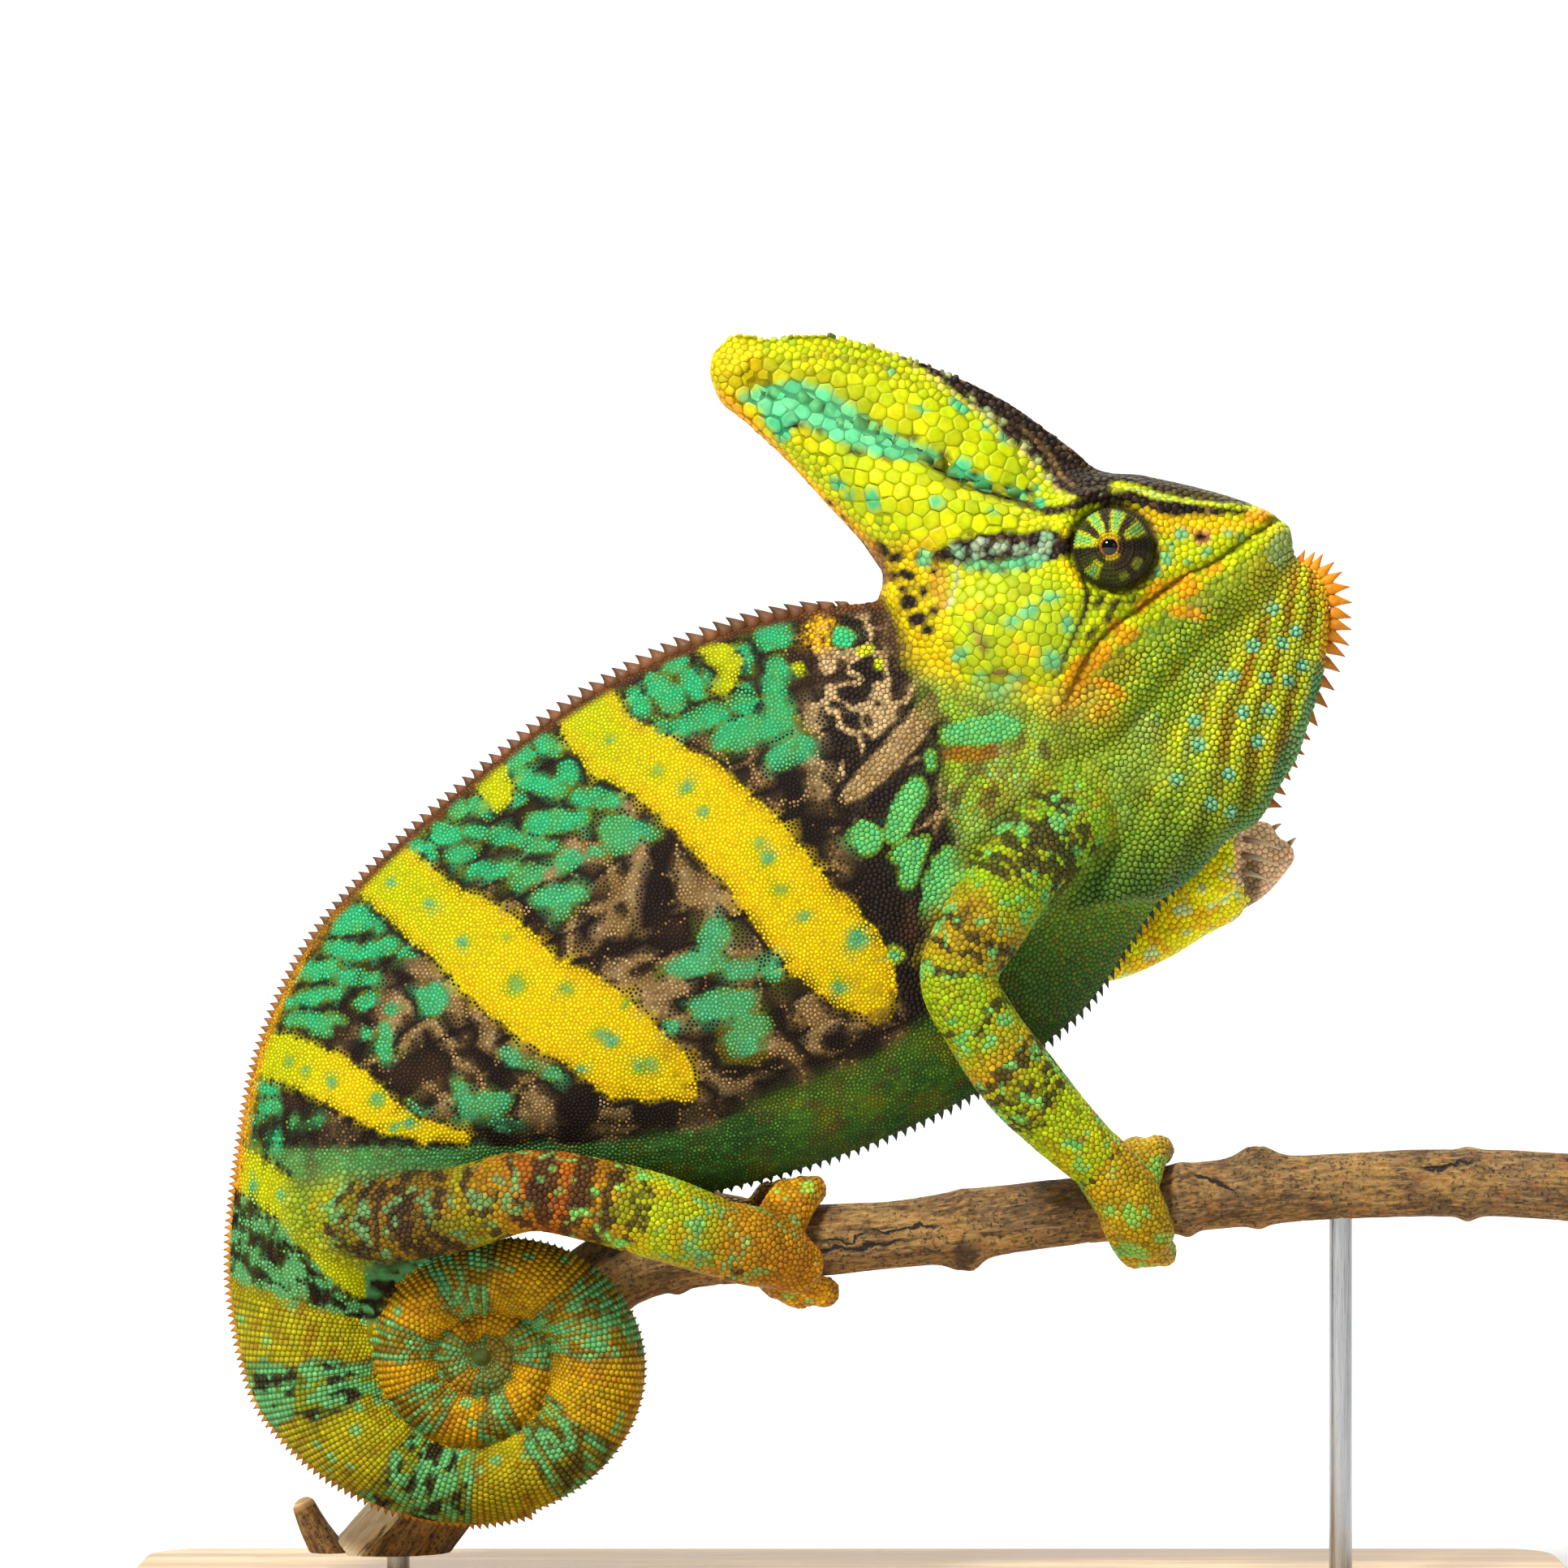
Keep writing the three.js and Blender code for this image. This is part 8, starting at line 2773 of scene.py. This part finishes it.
def fibre_group():
    group, source, result = new_group(
        "fibre", [("Position", "Vector", None), ("Fibres", "Float", 900.0),
                  ("Stretch", "Vector", (1, 1, 0.05)),
                  ("Light", "Color", (0.5, 0.35, 0.2, 1)), ("Dark", "Color", (0.2, 0.12, 0.06, 1)),
                  ("Warp", "Float", 0.5)],
        [("Color", "Color"), ("Value", "Float"), ("Height", "Float")])
    stretched = drawn_node(group, source.outputs["Position"], source.outputs["Stretch"])
    fine = noise_node(group, stretched, source.outputs["Fibres"], 5, 0.6)
    broad = noise_node(group, stretched, math_node(group, "MULTIPLY", source.outputs["Fibres"], 0.13), 3)
    warped = math_node(group, "MULTIPLY", math_node(group, "SUBTRACT", broad, 0.5), source.outputs["Warp"])
    value = range_node(group, math_node(group, "ADD", fine, warped), 0.3, 0.7)
    group.links.new(mix_node(group, value, source.outputs["Dark"], source.outputs["Light"]),
                    result.inputs["Color"])
    group.links.new(value, result.inputs["Value"])
    group.links.new(fine, result.inputs["Height"])
    return group


fine_relief = fine_relief_group()
painted_finish = painted_group()
fibre = fibre_group()
print([group.name for group in (fine_relief, painted_finish, fibre)])

# %% [markdown]
# ## Materials
#
# Skin, scales and lids read their marking from the mesh. Scales shine softly, the plates of the
# casque and the beads of the throat more than the small granules. Horn takes another colour
# towards its tip, darker on the spines of the back and paler on the claws. The bark reads its
# place in the stem, and the stand is plain: oiled wood and brushed steel.

# %% Materials of the animal
def opaque(red, green, blue):
    """A pigment with the fourth value that a colour socket takes."""
    return (*pigment(red, green, blue), 1)


def start_material(name):
    material = bpy.data.materials.new(name)
    material.use_nodes = True
    tree = material.node_tree
    return material, tree, tree.nodes["Principled BSDF"]


def place_group(tree, group, **values):
    node = tree.nodes.new("ShaderNodeGroup")
    node.node_tree = group
    for name, value in values.items():
        socket = node.inputs[name.replace("_", " ")]
        if isinstance(value, bpy.types.NodeSocket):
            tree.links.new(value, socket)
        else:
            socket.default_value = value
    return node


def object_position(tree):
    return tree.nodes.new("ShaderNodeTexCoord").outputs["Object"]


def mesh_value(tree, name, output):
    node = tree.nodes.new("ShaderNodeAttribute")
    node.attribute_name = name
    return node.outputs[output]


def bumped(tree, shader, height, distance, strength=1.0):
    bump = tree.nodes.new("ShaderNodeBump")
    bump.inputs["Distance"].default_value = distance
    bump.inputs["Strength"].default_value = strength
    tree.links.new(height, bump.inputs["Height"])
    tree.links.new(bump.outputs["Normal"], shader.inputs["Normal"])


def painted_material(name, grains, least, most, variation, depth, gloss):
    material, tree, shader = start_material(name)
    finish = place_group(tree, painted_finish, Marking=mesh_value(tree, "marking", "Color"),
                         Position=object_position(tree),
                         Grains_per_metre=grains, Least_roughness=least, Most_roughness=most,
                         Variation=variation)
    tree.links.new(finish.outputs["Color"], shader.inputs["Base Color"])
    tree.links.new(finish.outputs["Roughness"], shader.inputs["Roughness"])
    bumped(tree, shader, finish.outputs["Height"], depth)
    shader.inputs["Specular IOR Level"].default_value = gloss
    return material


skin_material = painted_material("skin_between_scales", 4200.0, 0.6, 0.85, 0.6, 0.00012, 0.08)
granule_material = painted_material("granules", 5200.0, 0.4, 0.62, 0.75, 0.00005, 0.14)
limb_material = painted_material("limb_scales", 3600.0, 0.36, 0.55, 0.75, 0.00006, 0.2)
tail_material = painted_material("tail_scales", 3800.0, 0.36, 0.56, 0.7, 0.00006, 0.18)
plate_material = painted_material("head_plates", 2600.0, 0.34, 0.52, 0.6, 0.00006, 0.14)
bead_material = painted_material("throat_beads", 4400.0, 0.3, 0.48, 0.7, 0.00005, 0.24)
lid_material = painted_material("eyelids", 6500.0, 0.42, 0.65, 0.7, 0.00006, 0.14)


def horn_material(name, tip, tip_share, roughness):
    """Marking at the foot, another colour towards the tip, and fine relief."""
    material, tree, shader = start_material(name)
    along = mesh_value(tree, "along", "Fac")
    finish = place_group(tree, painted_finish, Marking=mesh_value(tree, "marking", "Color"),
                         Position=object_position(tree),
                         Grains_per_metre=3400.0, Least_roughness=roughness, Most_roughness=roughness + 0.2,
                         Variation=0.9)
    share = range_node(tree, along, 0.25, 1.0, 0.0, tip_share)
    tree.links.new(mix_node(tree, share, finish.outputs["Color"], tip), shader.inputs["Base Color"])
    tree.links.new(finish.outputs["Roughness"], shader.inputs["Roughness"])
    shader.inputs["Specular IOR Level"].default_value = 0.25
    bumped(tree, shader, finish.outputs["Height"], 0.00008)
    return material


spine_material = horn_material("back_spines", pigment(52, 34, 26), 0.85, 0.4)
chin_spine_material = horn_material("chin_spines", pigment(168, 84, 18), 0.5, 0.38)
belly_spine_material = horn_material("belly_spines", pigment(52, 62, 34), 0.7, 0.45)
claw_material = horn_material("claws", pigment(226, 204, 170), 0.9, 0.25)


def eye_material():
    """A black pupil, a thin gold ring and a wet surface."""
    material, tree, shader = start_material("eyeball")
    x, _, z = parts_node(tree, object_position(tree))
    reach = length_node(tree, math_node(tree, "SUBTRACT", x, PUPIL["x"] * MM),
                        math_node(tree, "SUBTRACT", z, PUPIL["z"] * MM))
    flecks = noise_node(tree, object_position(tree), 9000.0, 3)
    edge = range_node(tree, reach, 1.3 * MM, 1.45 * MM)
    iris = mix_node(tree, flecks, pigment(70, 36, 16), pigment(172, 104, 40))
    tree.links.new(mix_node(tree, edge, pigment(9, 7, 7), iris), shader.inputs["Base Color"])
    tree.links.new(range_node(tree, flecks, 0.3, 0.7, 0.04, 0.1), shader.inputs["Roughness"])
    shader.inputs["Specular IOR Level"].default_value = 0.3
    shader.inputs["Coat Weight"].default_value = 0.35
    shader.inputs["Coat Roughness"].default_value = 0.03
    return material


eyeball_material = eye_material()
print("materials of the animal are ready")

# %% Materials of the branch and the stand
CRACKS = [((-9, 69.6), (11, 72.2), 0.55), ((2, 73.6), (16, 74.5), 0.35), ((-6, 71.6), (3, 72.6), 0.3),
          ((58, 83), (66, 81), 0.4),
          ((96, 84), (108, 85.5), 0.4), ((-14, 62), (-9, 64.5), 0.35)]  # ends in side view, half width
DARK_KNOT = (19.2, 69.3)


def crack_mask(tree, x, z, start, end, half):
    """1 in a narrow split of the bark that runs from start to end in side view."""
    slope = (end[1] - start[1]) / (end[0] - start[0])
    line = math_node(tree, "ADD", math_node(tree, "MULTIPLY", x, slope), (start[1] - slope * start[0]) * MM)
    away = math_node(tree, "ABSOLUTE", math_node(tree, "SUBTRACT", z, line))
    middle, length = (start[0] + end[0]) / 2, end[0] - start[0]
    along = math_node(tree, "ABSOLUTE", math_node(tree, "SUBTRACT", x, middle * MM))
    across = range_node(tree, away, half * 0.4 * MM, half * MM, 1, 0)
    return math_node(tree, "MULTIPLY", across, range_node(tree, along, 0.3 * length * MM, 0.5 * length * MM,
                                                          1, 0))


def bark_material():
    material, tree, shader = start_material("bark")
    stem = mesh_value(tree, "stem_space", "Vector")
    cells = place_group(tree, fibre, Position=stem, Fibres=1.5, Stretch=(1, 1, 0.3), Warp=0.9,
                        Light=opaque(176, 134, 68), Dark=opaque(84, 56, 26))
    specks = noise_node(tree, stem, 1.3, 5, 0.7)
    drawn = drawn_node(tree, stem, (1, 1, 0.12))
    streaks = noise_node(tree, drawn, 1.1, 4)
    broad = noise_node(tree, stem, 0.16, 3)
    color = mix_node(tree, range_node(tree, broad, 0.4, 0.62, 0, 0.45), cells.outputs["Color"],
                     pigment(122, 96, 60))
    dark = math_node(tree, "MULTIPLY", range_node(tree, specks, 0.52, 0.6),
                     range_node(tree, broad, 0.36, 0.56, 0.5, 0.9))
    color = mix_node(tree, dark, color, pigment(40, 30, 22))
    color = mix_node(tree, range_node(tree, streaks, 0.55, 0.66, 0, 0.5), color, pigment(52, 36, 22))
    pale = noise_node(tree, drawn, 1.9, 4)
    color = mix_node(tree, range_node(tree, pale, 0.56, 0.68, 0, 0.35), color, pigment(206, 166, 104))
    warm = range_node(tree, noise_node(tree, stem, 0.4, 2), 0.55, 0.68, 0, 0.4)
    color = mix_node(tree, warm, color, pigment(168, 104, 44))

    # splits with painted shade in them, the dark knot and the strip without bark near the lower end
    stem_x, stem_y, stem_z = parts_node(tree, stem)
    ragged = wander_node(tree, drawn, 0.9, 4, 4.5)
    x, _, z = parts_node(tree, object_position(tree))
    level = math_node(tree, "ADD", z, wander_node(tree, stem, 0.3, 3, 4 * MM))
    splits = 0
    for start, end, half in CRACKS:
        splits = math_node(tree, "MAXIMUM", crack_mask(tree, x, level, start, end, half), splits)
    # painted shade in the splits of the bark
    color = mix_node(tree, splits, color, pigment(30, 18, 12))
    from_knot = length_node(tree, math_node(tree, "SUBTRACT", x, DARK_KNOT[0] * MM),
                            math_node(tree, "SUBTRACT", level, DARK_KNOT[1] * MM))
    color = mix_node(tree, range_node(tree, from_knot, 1.2 * MM, 3 * MM, 0.75, 0), color, pigment(40, 28, 18))
    bare_side = range_node(tree, math_node(tree, "ADD", stem_y, ragged), 2.8, 3.4)
    bare_run = math_node(tree, "MULTIPLY", range_node(tree, stem_z, 46, 58, 1, 0), bare_side)
    inner_wood = place_group(tree, fibre, Position=stem, Fibres=1.8, Stretch=(1, 1, 0.06), Warp=0.6,
                             Light=opaque(255, 238, 208), Dark=opaque(232, 200, 150))
    color = mix_node(tree, bare_run, color, inner_wood.outputs["Color"])

    # the sawn ends
    reach = length_node(tree, stem_x, stem_y)
    rings = range_node(tree, math_node(tree, "SINE", math_node(tree, "MULTIPLY", reach, 9)), -1, 1)
    end_grain = mix_node(tree, rings, pigment(196, 150, 96), pigment(226, 190, 138))
    color = mix_node(tree, mesh_value(tree, "wood", "Fac"), color, end_grain)
    tree.links.new(color, shader.inputs["Base Color"])
    tree.links.new(range_node(tree, specks, 0.3, 0.7, 0.72, 0.95), shader.inputs["Roughness"])
    relief = math_node(tree, "ADD", math_node(tree, "MULTIPLY", cells.outputs["Height"], 0.7),
                       math_node(tree, "MULTIPLY", specks, 0.6))
    relief = math_node(tree, "SUBTRACT", relief, splits)
    bumped(tree, shader, math_node(tree, "SUBTRACT", relief, math_node(tree, "MULTIPLY", streaks, 0.4)),
           0.0006)
    return material


def stand_wood_material():
    material, tree, shader = start_material("stand_wood")
    place = object_position(tree)
    grain = place_group(tree, fibre, Position=place, Fibres=1100.0, Stretch=(0.045, 1, 1), Warp=1.6,
                        Light=opaque(222, 194, 152), Dark=opaque(178, 140, 94))
    relief = place_group(tree, fine_relief, Position=place, Grains_per_metre=2200.0)
    figure = place_group(tree, fibre, Position=place, Fibres=130.0, Stretch=(0.1, 1, 1), Warp=0.5,
                         Light=(1, 1, 1, 1), Dark=opaque(214, 190, 160))
    color = mix_node(tree, 0.45, grain.outputs["Color"],
                     mix_node(tree, 1.0, grain.outputs["Color"], figure.outputs["Color"], "MULTIPLY"))
    tree.links.new(color, shader.inputs["Base Color"])
    tree.links.new(range_node(tree, grain.outputs["Value"], 0, 1, 0.36, 0.52), shader.inputs["Roughness"])
    bumped(tree, shader,
           math_node(tree, "ADD", grain.outputs["Height"],
                     math_node(tree, "MULTIPLY", relief.outputs["Height"], 0.3)),
           0.00012)
    return material


def steel_material():
    material, tree, shader = start_material("brushed_steel")
    place = object_position(tree)
    brush = place_group(tree, fibre, Position=place, Fibres=5200.0, Stretch=(1, 1, 0.02), Warp=0.4,
                        Light=opaque(206, 207, 208), Dark=opaque(160, 161, 164))
    tree.links.new(brush.outputs["Color"], shader.inputs["Base Color"])
    tree.links.new(range_node(tree, brush.outputs["Value"], 0, 1, 0.2, 0.38), shader.inputs["Roughness"])
    bumped(tree, shader, brush.outputs["Height"], 0.00002)
    shader.inputs["Metallic"].default_value = 1.0
    return material


bark, stand_wood, steel = bark_material(), stand_wood_material(), steel_material()
print("materials of the branch and the stand are ready")

# %% [markdown]
# ## Dress the model
#
# Now the spines are planted, every piece gets its material, and each one is tied to the packed
# model: it rides on the one body, and the imported solids that the pieces stand in for are
# hidden.

# %% Plant the spines and give out the materials
spine_pieces = {
    "crest": plant("crest", row_mesh("crest", back_places, back_out[back_index], toward_head, back_heights,
                                     np.clip(back_heights * 1.1, 1.15, 2.8), back_colors),
                   templates["fin_spine"], spine_material, 0.06, 3),
    "chin_spines": plant("chin_spines", row_mesh("chin_spines", hang_places, hang_out, hang_forward,
                                                 hang_heights,
                                                 np.full(len(hanging), 2.1), hang_colors),
                         templates["hanging_spine"], chin_spine_material, 0.08, 4),
    "belly_spines": plant("belly_spines", row_mesh("belly_spines", belly_places, belly_out[belly_index],
                                                   belly_forward,
                                                   belly_heights, np.full(len(belly_places), 1.1),
                                                   belly_colors),
                          templates["fin_spine"], belly_spine_material, 0.08, 5),
}
for template in templates.values():
    bpy.data.objects.remove(template)


def give(piece, material):
    if not len(piece.data.materials):
        piece.data.materials.append(material)
    return piece


give(skin, skin_material)
for name, piece in scale_pieces.items():
    kind = name.split("_")[1]
    give(piece, {"trunk": granule_material, "tail": tail_material, "arm": limb_material, "leg": limb_material,
                 "head": plate_material, "casque": plate_material, "throat": bead_material}[kind])
for word in ("right", "left"):
    give(lid_pieces[word], lid_material)
    give(granule_pieces[word], lid_material)
    give(eye_pieces[word], eyeball_material)
give(claws, claw_material)
give(branch, bark)
give(twig, bark)
give(plate, stand_wood)
for piece in rods.values():
    give(piece, steel)
for name, piece in spine_pieces.items():
    print(f"{name}: {triangles_in(piece.data)} triangles")

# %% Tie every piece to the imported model
FLESH_NODES = [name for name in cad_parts
               if not name.startswith(("stand_", "perch_", "eye_right", "eye_left"))]
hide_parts(*FLESH_NODES)
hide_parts("perch_branch")
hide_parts("stand_base")
for word in ("right", "left"):
    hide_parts(f"eye_{word}")
for word, piece in rods.items():
    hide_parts(f"stand_rod_{word}")
SLOTS = {"scales_head": "skin_head", "scales_casque": "skin_head", "scales_throat": "skin_head",
         "scales_trunk": "skin_body",
         "scales_tail": "skin_tail", "scales_arm": "skin_limbs", "scales_leg": "skin_limbs"}
slots = [(skin, "skin_body"), (branch, "bark"), (twig, "bark"), (plate, "base_wood"), (claws, "skin_limbs")]
slots += [(piece, "rod_steel") for piece in rods.values()]
slots += [(piece, "eye") for piece in eye_pieces.values()]
slots += [(piece, "eyelid") for piece in [*lid_pieces.values(), *granule_pieces.values()]]
slots += [(piece, "skin_body") for piece in spine_pieces.values()]
for name, piece in scale_pieces.items():
    slots.append((piece, SLOTS["_".join(name.split("_")[:2])]))
for piece, slot in slots:
    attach(piece, "root")
pieces = [piece for piece, _ in slots]
totals = {piece.name: triangles_in(piece.data) for piece in pieces}
print(f"{len(pieces)} pieces, {sum(totals.values())} triangles, the largest is", max(totals, key=totals.get))
